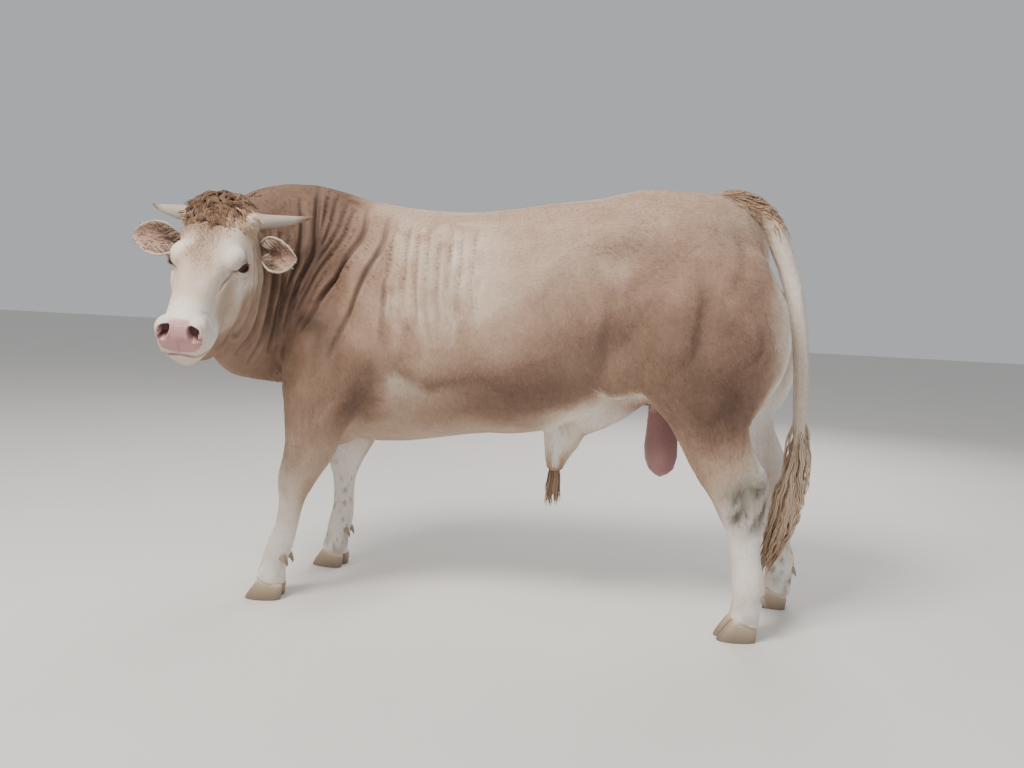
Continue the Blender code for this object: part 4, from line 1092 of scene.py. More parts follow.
    def relief(self, obj: Object, body: Iterable[Bump], head: Iterable[Bump]) -> None:
        """Raises and sinks the skin by the bumps of the body and of the head.

        Args:
            obj: the skin.
            body: bumps in the body's frame.
            head: bumps in the head's frame.
        """
        points, normals = points_of(obj), normals_of(obj)
        on_head = STANCE.head_share(points) > 0
        moved = np.zeros(len(points))
        for bumps, places, members in (
            (body, points, np.ones(len(points), bool)),
            (head, STANCE.to_head(points), on_head),
        ):
            local = places[members]
            change = np.zeros(len(local))
            for bump in bumps:
                c, s = math.cos(math.radians(bump.turn)), math.sin(math.radians(bump.turn))
                for side in SIDES:
                    off = local - (bump.centre[0], side * bump.centre[1], bump.centre[2])
                    along = (off[:, 0] * c - off[:, 2] * s) / bump.reach[0]
                    upward = (off[:, 0] * s + off[:, 2] * c) / bump.reach[2]
                    inside = 1 - (along**2 + (off[:, 1] / bump.reach[1]) ** 2 + upward**2)
                    change += bump.height * np.clip(inside, 0, None) ** 1.5
            moved[members] += change
        put_points(obj, points + normals * moved[:, None])

    def fuse(self) -> Object:
        """The whole body as one smooth surface, with tail, sheath and scrotum grown into it.

        Returns:
            The skin without its fine forms.
        """
        bm = bmesh.new()
        self.add_torso(bm)
        self.add_neck(bm)
        self.add_masses(bm)
        self.add_head(bm)
        for leg in LEGS:
            leg.add(bm)
        obj = from_bmesh(bm, "skin")
        self.remesh(obj, self.voxel)
        points = points_of(obj)
        head = STANCE.head_share(points)
        shank = np.clip((0.80 - points[:, 2]) / 0.25, 0, 1) * (1 - head)
        self.smooth(obj, np.clip(1.0 - 0.85 * head - 0.80 * shank, 0.05, 1), 0.6, 60)
        self.relief(obj, BODY_BUMPS, HEAD_BUMPS)
        points, normals = points_of(obj), normals_of(obj)
        head = STANCE.head_share(points)
        inset = self.coat_depth * (1 - 0.45 * head - 0.45 * smoothstep(0.7, 0.4, points[:, 2]))
        put_points(obj, points - normals * inset[:, None])
        for leg in LEGS:
            self.cut_foot(obj, leg)
        # Tail, scrotum and sheath are thin, so they join after the large forms are softened
        bm = bmesh.new()
        bm.from_mesh(obj.data)
        for rows in (TAIL_ROWS, SCROTUM_ROWS, SHEATH_ROWS):
            self.add_tube(bm, rows, inset=0.5 * self.coat_depth)
        bm.to_mesh(obj.data)
        bm.free()
        self.remesh(obj, self.fine_voxel)
        self.smooth(obj, np.clip(1 - 0.6 * STANCE.head_share(points_of(obj)), 0.2, 1), 0.5, 7)
        return obj

    def cut_foot(self, obj: Object, leg: Leg) -> None:
        """Cuts the pastern off along the coronet, which slopes down to the rear.

        Args:
            obj: the skin.
            leg: the leg that ends there.
        """
        x, y = leg.foot
        place = Matrix.Translation((x, y, 0)) @ Matrix.Rotation(leg.turn(), 4, "Z")
        top = STANCE.coronet - 0.012 + STANCE.coronet_slope * 0.02
        tilt = Matrix.Rotation(math.atan(STANCE.coronet_slope), 4, "Y")
        bpy.ops.mesh.primitive_cube_add(size=1)
        box = bpy.context.object
        below = Matrix.Translation((0, 0, -0.2)) @ Matrix.Diagonal((0.6, 0.34, 0.4, 1))
        box.data.transform(place @ Matrix.Translation((0, 0, top)) @ tilt @ below)
        cut = obj.modifiers.new("coronet", "BOOLEAN")
        cut.operation = "DIFFERENCE"
        cut.solver = "MANIFOLD"
        cut.object = box
        apply_modifiers(obj)
        bpy.data.objects.remove(box)

    def subdivide(self, obj: Object, chosen: Callable[[Array], Array]) -> None:
        """Halves the faces whose middles are chosen.

        Args:
            obj: the skin.
            chosen: tells from the faces' middles which ones it takes.
        """
        bm = bmesh.new()
        bm.from_mesh(obj.data)
        bm.faces.ensure_lookup_table()
        middles = np.array([face.calc_center_median() for face in bm.faces])
        picked = chosen(middles)
        edges = {edge for face, use in zip(bm.faces, picked) if use for edge in face.edges}
        bmesh.ops.subdivide_edges(bm, edges=list(edges), cuts=1, use_grid_fill=True, smooth=0.6)
        bmesh.ops.triangulate(bm, faces=[face for face in bm.faces if len(face.verts) > 4])
        bm.to_mesh(obj.data)
        bm.free()

    def refine(self) -> None:
        """Gives the skin its folds, lids, nostrils and lips, then sheds faces where it is plain."""
        obj = self.obj
        self.subdivide(obj, lambda middles: STANCE.head_share(middles) > 0.5)
        self.subdivide(obj, self.near_features)
        self.relief(obj, FINE_BODY_BUMPS, FINE_HEAD_BUMPS)
        self.fold = np.zeros(len(obj.data.vertices))
        self.crease(obj)
        for side in SIDES:
            self.open_nostril(obj, side)
            self.open_eye(obj, side)
        put_attribute(obj, "fold", self.fold)
        self.shed(obj)

    def near_features(self, middles: Array) -> Array:
        """Whether places lie at an eye, a nostril or the lips.

        Args:
            middles: one row for each place.

        Returns:
            True at an eye, a nostril or the lips.
        """
        local = STANCE.to_head(middles)
        forward, aside, up = local[:, 0], np.abs(local[:, 1]), local[:, 2]
        eye = np.linalg.norm(np.stack([forward, aside, up], axis=1) - STANCE.eye, axis=1) < 0.044
        muzzle = (forward > 0.47) & (up > -0.19)
        lips = (forward > 0.37) & (np.abs(up - mouth_height(forward)) < 0.014)
        return eye | ((muzzle | lips) & (aside < 0.12) & (STANCE.head_share(middles) > 0.5))

    def crease(self, obj: Object) -> None:
        """Presses every crease into the skin and keeps how deep in a fold each vertex lies, which the coat's
        material paints as shade.

        Args:
            obj: the skin.
        """
        points, normals = points_of(obj), normals_of(obj)
        graph = bpy.context.evaluated_depsgraph_get()
        tree = BVHTree.FromObject(obj, graph)
        moved = np.zeros(len(points))
        for line in ALL_CREASES:
            for side, share in ((1, 1.0), (-1, line.mirrored)):
                if share <= 0:
                    continue
                knots = np.array(line.points) * (1, side, 1)
                if line.on_head:
                    knots = STANCE.from_head(knots)
                steps = np.concatenate([[0], np.cumsum(np.linalg.norm(np.diff(knots, axis=0), axis=1))])
                count = max(8, int(steps[-1] / 0.004))
                path = spline(steps, knots, np.linspace(0, steps[-1], count))
                path = np.array([tree.find_nearest(Vector(p))[0] for p in path])
                fade = np.sin(np.linspace(0.12, math.pi - 0.12, count)) ** 0.6
                reach = 4.2 * line.width
                near = np.nonzero(
                    np.all((points > path.min(0) - reach) & (points < path.max(0) + reach), axis=1)
                )[0]
                best = np.full(len(near), 1.0)
                which = np.zeros(len(near), int)
                for begin in range(0, count, 40):
                    part = path[begin : begin + 40]
                    off = np.linalg.norm(points[near][:, None] - part[None], axis=2)
                    nearest = off.argmin(axis=1)
                    distance = off[np.arange(len(near)), nearest]
                    better = distance < best
                    best[better] = distance[better]
                    which[better] = nearest[better] + begin
                furrow = np.exp(-((best / line.width) ** 2))
                ridge = line.ridge * np.exp(-(((best - 2.1 * line.width) / line.width) ** 2))
                strength = share * fade[which]
                moved[near] += line.depth * strength * (ridge - furrow)
                # Painted shade along the furrow, kept as the fold value
                dark = line.dark * strength * np.exp(-((best / (1.25 * line.width)) ** 2))
                self.fold[near] = np.maximum(self.fold[near], dark)
        put_points(obj, points + normals * moved[:, None])

    def open_nostril(self, obj: Object, side: int) -> None:
        """Sinks a nostril into the muzzle: a wide comma with a raised wing.

        Args:
            obj: the skin.
            side: 1 for the left nostril, -1 for the right one.
        """
        points = points_of(obj)
        local = STANCE.to_head(points)
        centre = np.array(NOSTRIL) * (1, side, 1)
        out = unit(np.array((0.80, side * 0.58, 0.10)))
        along = unit(np.array((-0.30, side * 0.34, 0.88)))
        along = unit(along - out * (along @ out))
        across = np.cross(out, along)
        off = local - centre
        l, s, o = off @ along, off @ across * side, off @ out
        bend = s + 5.0 * l**2
        radial = np.sqrt((l / 0.0215) ** 2 + (bend / (0.0145 + 0.0030 * np.clip(l / 0.02, -1, 1))) ** 2)
        tail_l, tail_s = l + 0.012, s + 0.012
        slit = np.sqrt((tail_l / 0.0065) ** 2 + (tail_s / 0.0160) ** 2)
        radial = np.minimum(radial, slit)
        near = (np.abs(o) < 0.03) & (np.linalg.norm(off, axis=1) < 0.05)
        pit = np.where(near, smoothstep(1.06, 0.72, radial), 0)
        wing = np.where(near, np.exp(-(((radial - 1.22) / 0.20) ** 2)), 0)
        inward = unit(np.array((-0.93, -side * 0.12, -0.05)))
        local = local + inward * (0.030 * pit)[:, None] + out * (0.0028 * wing)[:, None]
        local = local - (across * side * s[:, None] * 0.25 + along * l[:, None] * 0.15) * pit[:, None]
        put_points(obj, STANCE.from_head(local))
        # Painted shade in the nostril's pit
        self.fold = np.maximum(self.fold, 1.0 * smoothstep(1.0, 0.75, radial) * near)

    def open_eye(self, obj: Object, side: int) -> None:
        """Shapes the lids round an almond opening over the eyeball.

        Args:
            obj: the skin.
            side: 1 for the left eye, -1 for the right one.
        """
        points = points_of(obj)
        local = STANCE.to_head(points)
        x, y, z = STANCE.eye
        along, out, up = eye_axes(side)
        off = local - np.array((x, side * y, z))
        l, o, s = off @ along, off @ out, off @ up
        half = lid_height(l, s)
        away = np.hypot(np.maximum(np.abs(l) - LID_HALF, 0), np.maximum(np.abs(s) - half, 0))
        near = (np.linalg.norm(off, axis=1) < 0.050) & (o > -0.004)
        inside = near & (np.abs(l) < LID_HALF) & (np.abs(s) < half)
        radius = STANCE.eye_radius
        shell = np.sqrt(
            np.maximum((radius + 0.0042) ** 2 - np.minimum(l**2 + s**2, (radius + 0.002) ** 2), 0)
        )
        hug = np.where(near, 1 - smoothstep(0.003, 0.015, away), 0)
        target = np.where(inside, np.sqrt(np.maximum(radius**2 - l**2 - s**2, 0)) * 0.62, shell)
        share = np.where(inside, 1.0, hug)
        local = local + out * ((target - o) * share)[:, None]
        put_points(obj, STANCE.from_head(local))
        # Painted shade inside the opening and along the lids' edge
        rim = near * np.exp(-((away / 0.0022) ** 2)) * ~inside
        self.fold = np.maximum(self.fold, np.where(inside, 1.0, 0.75 * rim))

    def shed(self, obj: Object) -> None:
        """Drops faces where the form is plain, and keeps them on the head.

        Args:
            obj: the skin.
        """
        points = points_of(obj)
        head = STANCE.head_share(points)
        feature = self.near_features(points)
        fold = get_attribute(obj, "fold")
        weights = 1.0 - 0.55 * head - 0.40 * feature - 0.35 * (1 - head) * np.clip(3 * fold, 0, 1)
        weights -= 0.2 * smoothstep(0.60, 0.30, points[:, 2]) * (1 - head)
        weigh(obj, "plain", np.clip(weights, 0.03, 1))
        count = count_triangles(obj)
        LOG.info("skin before shedding: %d triangles", count)
        modifier = obj.modifiers.new("shed", "DECIMATE")
        modifier.ratio = self.triangles / count
        modifier.vertex_group = "plain"
        modifier.vertex_group_factor = 1.0
        modifier.use_collapse_triangulate = True
        apply_modifiers(obj)
        obj.vertex_groups.clear()
        smooth_faces(obj)
        LOG.info("skin: %d triangles", len(obj.data.polygons))


def eye_axes(side: int) -> tuple[Array, Array, Array]:
    """The eye's own directions in the head's frame.

    Args:
        side: 1 for the left eye, -1 for the right one.

    Returns:
        Along the slit to the inner corner, out of the head, and up to the brow.
    """
    along = unit(np.array((0.84, -side * 0.50, 0.08)))
    out = np.array((0.46, side * 0.84, 0.20))
    out = unit(out - along * (out @ along))
    up = np.cross(along, out) * side
    up = up if up[2] > 0 else -up
    return along, out, up


def lid_height(along: Array, height: Array) -> Array:
    """Half height of the opening at a place along the slit, rounder above than below.

    Args:
        along: places along the slit.
        height: above 0 for the upper lid, below 0 for the lower one.

    Returns:
        The half heights.
    """
    share = np.clip(1 - (np.abs(along) / LID_HALF) ** 2.2, 0, 1)
    return np.where(height > 0, LID_UPPER, LID_LOWER) * share**0.8


def mouth_height(forward: Array) -> Array:
    """Height of the mouth's line in the head's frame, at places along the face."""
    line = np.array(MOUTH)
    return np.interp(forward, line[:, 0], line[:, 2])


@dataclass(frozen=True)
class Mark:
    """A soft patch of the coat: where it is, how far it reaches, and the tone that it gives."""

    centre: Vec3
    reach: Vec3
    tone: float
    share: float = 1.0
    edge: float = 0.5
    sides: tuple[int, ...] = (-1, 1)


# Tones run from 0, cream white, to 1, dark red brown
BODY_TONE = 0.50
# Coat markings; the dark marks low on the flank, on the shoulder and behind the elbow are partly painted
# shade under the barrel
BODY_MARKS_AND_SHADE = (
    Mark((-0.08, 0.30, 1.17), (0.30, 0.30, 0.27), 0.31, 0.9, 0.9),
    Mark((-0.10, 0.0, 1.42), (0.65, 0.25, 0.12), 0.44, 0.7, 0.7, (1,)),
    Mark((0.14, 0.20, 1.34), (0.30, 0.25, 0.12), 0.54, 0.8, 0.8),
    Mark((0.62, 0.25, 1.28), (0.40, 0.30, 0.26), 0.53, 0.8, 0.8),
    Mark((0.34, 0.33, 0.96), (0.30, 0.20, 0.22), 0.72, 0.85, 0.8),
    Mark((0.05, 0.33, 0.90), (0.24, 0.20, 0.13), 0.62, 0.8, 0.8),
    # Dark low on the flank: darker hair and painted shade under the barrel
    Mark((0.10, 0.33, 0.76), (0.42, 0.25, 0.13), 0.80, 0.85, 0.7),
    Mark((0.69, 0.30, 0.99), (0.30, 0.25, 0.31), 0.76, 0.95, 0.9),
    Mark((0.76, 0.30, 0.80), (0.19, 0.20, 0.20), 0.87, 0.85, 0.9),
    Mark((0.40, 0.28, 1.20), (0.09, 0.15, 0.05), 0.36, 0.5, 0.8),
    Mark((-0.50, 0.24, 1.26), (0.12, 0.17, 0.20), 0.72, 0.85, 0.8),
    Mark((-0.40, 0.26, 1.14), (0.12, 0.20, 0.26), 0.57, 0.75, 0.9),
    Mark((-0.47, 0.30, 1.00), (0.17, 0.20, 0.22), 0.62, 0.85, 0.8),
    # Dark low on the shoulder and behind the elbow: darker hair and painted shade
    Mark((-0.50, 0.30, 0.78), (0.20, 0.20, 0.18), 0.78, 0.85, 0.7),
    Mark((-0.46, 0.30, 0.75), (0.07, 0.12, 0.10), 0.88, 0.75, 0.7),
    Mark((-0.30, 0.30, 0.94), (0.12, 0.20, 0.09), 0.60, 0.6, 0.8),
    Mark((-0.31, 0.27, 0.77), (0.065, 0.12, 0.062), 0.10, 0.95, 0.5),
    Mark((-0.22, 0.27, 0.725), (0.12, 0.12, 0.030), 0.16, 0.85, 0.6),
    Mark((0.38, 0.14, 0.70), (0.20, 0.16, 0.075), 0.04, 0.97, 0.6),
    Mark((0.66, 0.0, 0.72), (0.26, 0.13, 0.26), 0.10, 1.0, 0.5, (1,)),
    Mark((-0.70, 0.0, 0.66), (0.16, 0.14, 0.10), 0.30, 0.8, 0.8, (1,)),
)
HEAD_MARKS_AND_SHADE = (
    Mark((0.030, -0.01, 0.0), (0.085, 0.085, 0.060), 0.72, 1.0, 0.6, (1,)),
    Mark((0.110, -0.030, 0.0), (0.135, 0.066, 0.150), 0.62, 0.90, 0.8, (1,)),
    Mark((0.235, -0.014, 0.0), (0.130, 0.046, 0.150), 0.52, 0.85, 0.9, (1,)),
    Mark((0.350, 0.0, 0.0), (0.120, 0.034, 0.120), 0.38, 0.80, 0.9, (1,)),
    Mark((0.070, 0.110, -0.010), (0.050, 0.040, 0.035), 0.42, 0.8, 0.7),
    Mark((0.330, 0.075, -0.115), (0.110, 0.050, 0.050), 0.44, 0.85, 0.9),
    # Dark on the rear cheek: tan hair and painted shade
    Mark((0.150, 0.130, -0.190), (0.160, 0.070, 0.110), 0.48, 0.9, 0.9),
    Mark((0.050, 0.120, -0.170), (0.095, 0.080, 0.170), 0.62, 0.9, 0.9),
    # Dark on the jaw's underside: darker hair and painted shade under the jaw
    Mark((0.250, 0.070, -0.250), (0.160, 0.090, 0.060), 0.48, 0.85, 0.8),
    Mark((0.255, 0.115, -0.120), (0.075, 0.045, 0.050), 0.04, 0.9, 0.8),
    Mark((0.195, 0.090, 0.000), (0.050, 0.045, 0.030), 0.10, 0.7, 0.8),
    Mark((0.470, 0.060, -0.090), (0.080, 0.050, 0.070), 0.04, 0.9, 0.8),
    Mark((0.470, 0.0, -0.015), (0.060, 0.070, 0.050), 0.06, 0.85, 0.9, (1,)),
    # Dark round the eye: darker skin and hair, and painted shade of the brow and lids
    Mark((0.206, 0.116, -0.040), (0.036, 0.045, 0.024), 0.70, 0.75, 0.9),
    Mark((0.222, 0.116, -0.054), (0.024, 0.040, 0.014), 0.90, 0.80, 0.7),
    Mark((0.258, 0.092, -0.046), (0.024, 0.024, 0.008), 0.84, 0.85, 0.7),
    Mark((0.470, 0.0, -0.175), (0.070, 0.070, 0.030), 0.42, 0.8, 0.8, (1,)),
)


class Markings:
    """The coat's colours and lie, as numbers for each vertex of a surface."""

    def soft(self, places: Array, mark: Mark, side: int) -> Array:
        """How much of a mark each place has.

        Args:
            places: one row for each place.
            mark: the patch.
            side: 1 or -1, the side that it is on.

        Returns:
            0 outside to the mark's own share inside.
        """
        centre = np.array(mark.centre) * (1, side, 1)
        distance = np.linalg.norm((places - centre) / mark.reach, axis=1)
        return smoothstep(1.0 + 0.5 * mark.edge, 1.0 - mark.edge, distance) * mark.share

    def tone(self, points: Array, normals: Array) -> Array:
        """Tone of the coat at each point, with painted shade low on the body, on the cheeks, under the jaw
        and round the eyes.

        Args:
            points: one row for each place.
            normals: the surface's normals there.

        Returns:
            0 for cream to 1 for dark brown.
        """
        head = STANCE.head_share(points)
        ragged = points + 0.018 * np.stack([wobble(points, 0.05, k) for k in (0.0, 3.0, 6.0)], axis=1)
        tone = np.full(len(points), BODY_TONE)
        for mark in BODY_MARKS_AND_SHADE:
            for side in mark.sides:
                share = self.soft(ragged, mark, side)
                tone = towards(tone, mark.tone, share)
        x, _, z = ragged.T
        flat = np.abs(points[:, 1])
        angle = STANCE.neck_angle(ragged)
        neck = smoothstep(-8, 10, angle) * smoothstep(-0.38, -0.46, points[:, 0]) * smoothstep(0.70, 0.84, z)
        neck_tone = 0.76 + 0.05 * smoothstep(1.20, 1.42, z) - 0.04 * smoothstep(0.98, 0.78, z)
        tone = towards(tone, neck_tone, neck)
        under = (
            smoothstep(-0.72, -0.95, normals[:, 2])
            * smoothstep(0.95, 0.80, z)
            * smoothstep(-0.60, -0.50, x)
        )
        # Forward of the sheath the belly keeps most of the side's tone, partly the coat's own brown and
        # partly painted shade under the barrel
        under = under * (0.20 + 0.80 * smoothstep(0.26, 0.34, x))
        tone = towards(tone, 0.10, under)
        rear = smoothstep(0.50, 0.88, normals[:, 0]) * smoothstep(0.86, 0.94, x) * smoothstep(1.44, 1.36, z)
        tone = towards(tone, 0.10, rear)
        inner = smoothstep(0.20, 0.13, flat) * smoothstep(0.46, 0.54, x) * smoothstep(0.96, 0.84, z)
        tone = towards(tone, 0.08, inner)
        far = (points[:, 1] > 0).astype(float)
        fore = smoothstep(-0.30, -0.36, points[:, 0]) * (1 - head)
        fore_white = smoothstep(
            0.50 + 0.20 * far, 0.28 + 0.18 * far, z + 0.10 * normals[:, 0] - 0.05 * np.abs(normals[:, 1])
        )
        hind = smoothstep(0.42, 0.50, points[:, 0])
        hind_white = smoothstep(0.62 + 0.08 * far, 0.48 + 0.08 * far, z - 0.12 * normals[:, 0])
        white = np.maximum(fore * fore_white, hind * hind_white) * smoothstep(0.80, 0.74, points[:, 2])
        tone = towards(tone, (0.10 + 0.06 * fore * (1 - far) * smoothstep(0.12, 0.34, z)), white)
        tail, head_of_tail = self.tail_share(points)
        tone = towards(tone, (0.17 + 0.05 * smoothstep(1.2, 0.8, z)), tail)
        tone = towards(tone, 0.60, head_of_tail)
        sheath = (
            np.exp(-(((points[:, 0] - 0.23) / 0.08) ** 2))
            * smoothstep(0.09, 0.05, flat)
            * smoothstep(0.68, 0.64, z)
        )
        tone = towards(tone, (0.03 + 0.60 * smoothstep(0.540, 0.520, z)), sheath)
        sack = self.sack(points)
        tone = towards(tone, 0.85, sack)
        bands = wobble(ragged * (1.0, 1.0, 0.10), 0.016, 4.0)
        ribs = (
            smoothstep(-0.42, -0.34, x)
            * smoothstep(0.30, 0.05, x)
            * smoothstep(0.82, 0.98, z)
            * smoothstep(1.42, 1.34, z)
        )
        tone = tone + 0.115 * bands * ribs + 0.040 * wobble(points, 0.035, 8.0)
        local = STANCE.to_head(ragged)
        # Darker towards the underside of the jaw: darker hair and painted shade under the jaw
        face = 0.23 + 0.39 * smoothstep(-0.16, -0.25, local[:, 2])
        for mark in HEAD_MARKS_AND_SHADE:
            for side in mark.sides:
                share = self.soft(local, mark, side)
                face = towards(face, mark.tone, share)
        place = STANCE.to_head(points)
        on_face = head * smoothstep(-0.26, -0.18, local[:, 2] - 0.55 * np.minimum(local[:, 0] - 0.12, 0))
        on_face = np.maximum(on_face, smoothstep(0.10, 0.16, place[:, 0]) * head)
        on_face = on_face * smoothstep(0.172, 0.138, np.abs(place[:, 1]))
        return np.clip(tone * (1 - on_face) + face * on_face, 0, 1)

    def tail_share(self, points: Array) -> tuple[Array, Array]:
        """How much each point lies on the tail, and on its head.

        Args:
            points: one row for each place.

        Returns:
            The shares of the hanging tail and of its head, from 0 to 1.
        """
        line = np.array([row[:3] for row in TAIL_ROWS])
        height = points[:, 2]
        middle = np.interp(height, line[::-1, 2][:-3], line[::-1, 0][:-3])
        off = np.hypot(points[:, 0] - middle, points[:, 1])
        hanging = (
            smoothstep(0.062, 0.050, off)
            * smoothstep(1.46, 1.40, height)
            * smoothstep(0.90, 0.93, points[:, 0])
        )
        top = (
            smoothstep(0.085, 0.045, np.abs(points[:, 1]))
            * smoothstep(0.70, 0.78, points[:, 0])
            * smoothstep(1.40, 1.45, height)
        )
        return hanging, top

    def pink(self, points: Array) -> Array:
        """How much bare pink skin shows.

        Args:
            points: one row for each place.

        Returns:
            0 for hair to 1 for bare pink skin.
        """
        local = STANCE.to_head(points)
        head = STANCE.head_share(points)
        f, a, u = local.T
        rim = (
            ((np.abs(a) / 0.063) ** 2.6 + (np.abs(u + 0.067) / 0.041) ** 2.6) ** (1 / 2.6)
            + 0.03 * wobble(points, 0.012)
        )
        pad = smoothstep(0.498, 0.508, f) * smoothstep(1.05, 0.96, rim)
        lips = 0.60 * np.exp(-(((u - mouth_height(f)) / 0.007) ** 2)) * smoothstep(0.42, 0.48, f)
        pink = head * np.clip(np.maximum(pad, lips), 0, 1)
        x, y, z = points.T
        sack = self.sack(points)
        graze = (
            0.60
            * smoothstep(0.012, 0.004, np.abs(z - 1.165 - 0.02 * (x - 0.40)))
            * smoothstep(0.15, 0.10, np.abs(x - 0.40))
            * (y < -0.2)
        )
        dewlap = (
            0.25
            * smoothstep(0.66, 0.58, z)
            * smoothstep(-0.62, -0.70, x)
            * smoothstep(0.10, 0.06, np.abs(y))
        )
        return np.clip(np.maximum.reduce([pink, sack, graze, dewlap]), 0, 1)

    def sack(self, points: Array) -> Array:
        """Where the bare scrotum is.

        Args:
            points: one row for each place.

        Returns:
            0 outside to 1 on the scrotum.
        """
        x, y, z = points.T
        return (
            smoothstep(0.095, 0.085, np.hypot(x - 0.597, y))
            * smoothstep(0.79, 0.73, z)
            * smoothstep(0.42, 0.46, z)
        )

    def soil(self, points: Array) -> Array:
        """How much the hair is stained.

        Args:
            points: one row for each place.

        Returns:
            0 for clean to 1 for stained.
        """
        x, y, z = points.T
        patches = wobble(points, 0.022, 2.0)
        hock = np.exp(-(((x - 0.88) / 0.100) ** 2) - ((z - 0.480) / 0.115) ** 2)
        hock = smoothstep(0.15, 0.75, hock) * smoothstep(-0.16, -0.19, y)
        grime = 0.35 + 0.65 * smoothstep(-0.7, 0.4, 0.6 * patches + 0.6 * wobble(points, 0.008, 9.0))
        elbow = np.exp(-(((x + 0.22) / 0.08) ** 2) - ((z - 0.80) / 0.05) ** 2) * smoothstep(-0.20, -0.26, y)
        specks = (
            smoothstep(0.55, 0.85, wobble(points, 0.010, 5.0))
            * smoothstep(0.60, 0.45, z)
            * (y > 0.1)
            * 0.6
        )
        low = 0.35 * smoothstep(0.22, 0.08, z) * smoothstep(-0.2, 0.8, patches)
        return np.clip(hock * grime + 0.5 * elbow * smoothstep(0.0, 0.7, patches) + specks + low, 0, 1)

    def bare(self, points: Array) -> Array:
        """How much the skin is without hair.

        Args:
            points: one row for each place.

        Returns:
            0 for haired to 1 for bare.
        """
        local = STANCE.to_head(points)
        eye = np.minimum.reduce(
            [np.linalg.norm(local - np.array(STANCE.eye) * (1, side, 1), axis=1) for side in SIDES]
        )
        bare = np.maximum(self.pink(points) * (self.pink(points) > 0.5), smoothstep(0.0285, 0.0265, eye))
        hole = np.minimum.reduce(
            [np.linalg.norm(local - np.array(NOSTRIL) * (1, side, 1), axis=1) for side in SIDES]
        )
        nostril = smoothstep(0.032, 0.028, hole)
        sole = smoothstep(0.070, 0.060, points[:, 2])
        lips = (
            smoothstep(0.012, 0.008, np.abs(local[:, 2] - mouth_height(local[:, 0])))
            * smoothstep(0.36, 0.42, local[:, 0])
        )
        return np.clip(np.maximum.reduce([bare, nostril, sole, lips * STANCE.head_share(points)]), 0, 1)

    def lie(self, points: Array, normals: Array) -> Array:
        """Which way the hair lies at each point, along the surface.

        Args:
            points: one row for each place.
            normals: the surface's normals there.

        Returns:
            Directions of length 1.
        """
        side = np.sign(points[:, 1] + 1e-6)
        flat = np.abs(points[:, 1])
        low = smoothstep(1.40, 0.95, points[:, 2])
        body = np.stack(
            [1.0 - 0.55 * low, side * 0.5 * smoothstep(0.0, 0.15, flat) * (1 - low), -0.12 - 0.75 * low],
            axis=1
        )
        angle = np.radians(np.clip(STANCE.neck_angle(points), -10, 100))
        along_neck = np.stack([np.cos(angle), np.sin(angle), np.zeros(len(points))], axis=1)
        fall = 0.25 + 0.75 * smoothstep(1.40, 1.05, points[:, 2])
        neck = along_neck - np.array((0, 0, 1.0)) * fall[:, None]
        share = (smoothstep(0.02, 0.20, angle) * smoothstep(-0.42, -0.50, points[:, 0]))[:, None]
        lie = unit(body) * (1 - share) + unit(neck) * share
        leg = smoothstep(0.82, 0.62, points[:, 2])[:, None]
        lie = lie * (1 - leg) + np.array((0.12, 0.0, -1.0)) * leg
        tail, _ = self.tail_share(points)
        lie = lie * (1 - tail[:, None]) + np.array((0.2, 0.0, -1.0)) * tail[:, None]
        local = STANCE.to_head(points)
        whorl = local - (0.105, 0.0, 0.0)
        face = unit(np.stack([whorl[:, 0], 0.7 * whorl[:, 1], np.zeros(len(points))], axis=1))
        cheek = smoothstep(-0.04, -0.15, local[:, 2]) * smoothstep(0.42, 0.22, local[:, 0])
        face = face * (1 - cheek[:, None]) + np.array((-0.75, 0.0, -0.65)) * cheek[:, None]
        muzzle = smoothstep(0.40, 0.50, local[:, 0])[:, None]
        face = towards(face, np.array((0.5, 0.0, -0.8)), muzzle)
        turn = STANCE.turn()
        head = STANCE.head_share(points)[:, None]
        lie = lie * (1 - head) + (unit(face) @ turn.T) * head
        lie = lie + 0.16 * np.stack([wobble(points, 0.09, k) for k in (1.0, 4.0, 7.0)], axis=1)
        return unit(lie - normals * np.sum(lie * normals, axis=1, keepdims=True))

    def length(self, points: Array) -> Array:
        """Length of the short hair in tufts at each point.

        Args:
            points: one row for each place.

        Returns:
            Lengths in metres.
        """
        head = STANCE.head_share(points)
        length = 0.021 + 0.006 * smoothstep(0.75, 0.62, points[:, 2]) * (np.abs(points[:, 0]) < 0.55)
        length = length - 0.006 * smoothstep(0.55, 0.30, points[:, 2]) * (1 - head)
        length = length + 0.006 * smoothstep(0.13, 0.08, points[:, 2]) * (1 - head)
        local = STANCE.to_head(points)
        face = 0.0085 + 0.0055 * smoothstep(0.25, 0.05, local[:, 0])
        return length * (1 - head) + face * head

    def dress(self, obj: Object) -> None:
        """Puts the markings on a surface as attributes.

        Args:
            obj: the surface.
        """
        points, normals = points_of(obj), normals_of(obj)
        put_attribute(obj, "tone", self.tone(points, normals))
        put_attribute(obj, "pink", self.pink(points))
        put_attribute(obj, "soil", self.soil(points))
        put_attribute(obj, "shade", np.zeros(len(points)))
        put_attribute(obj, "bare", self.bare(points))


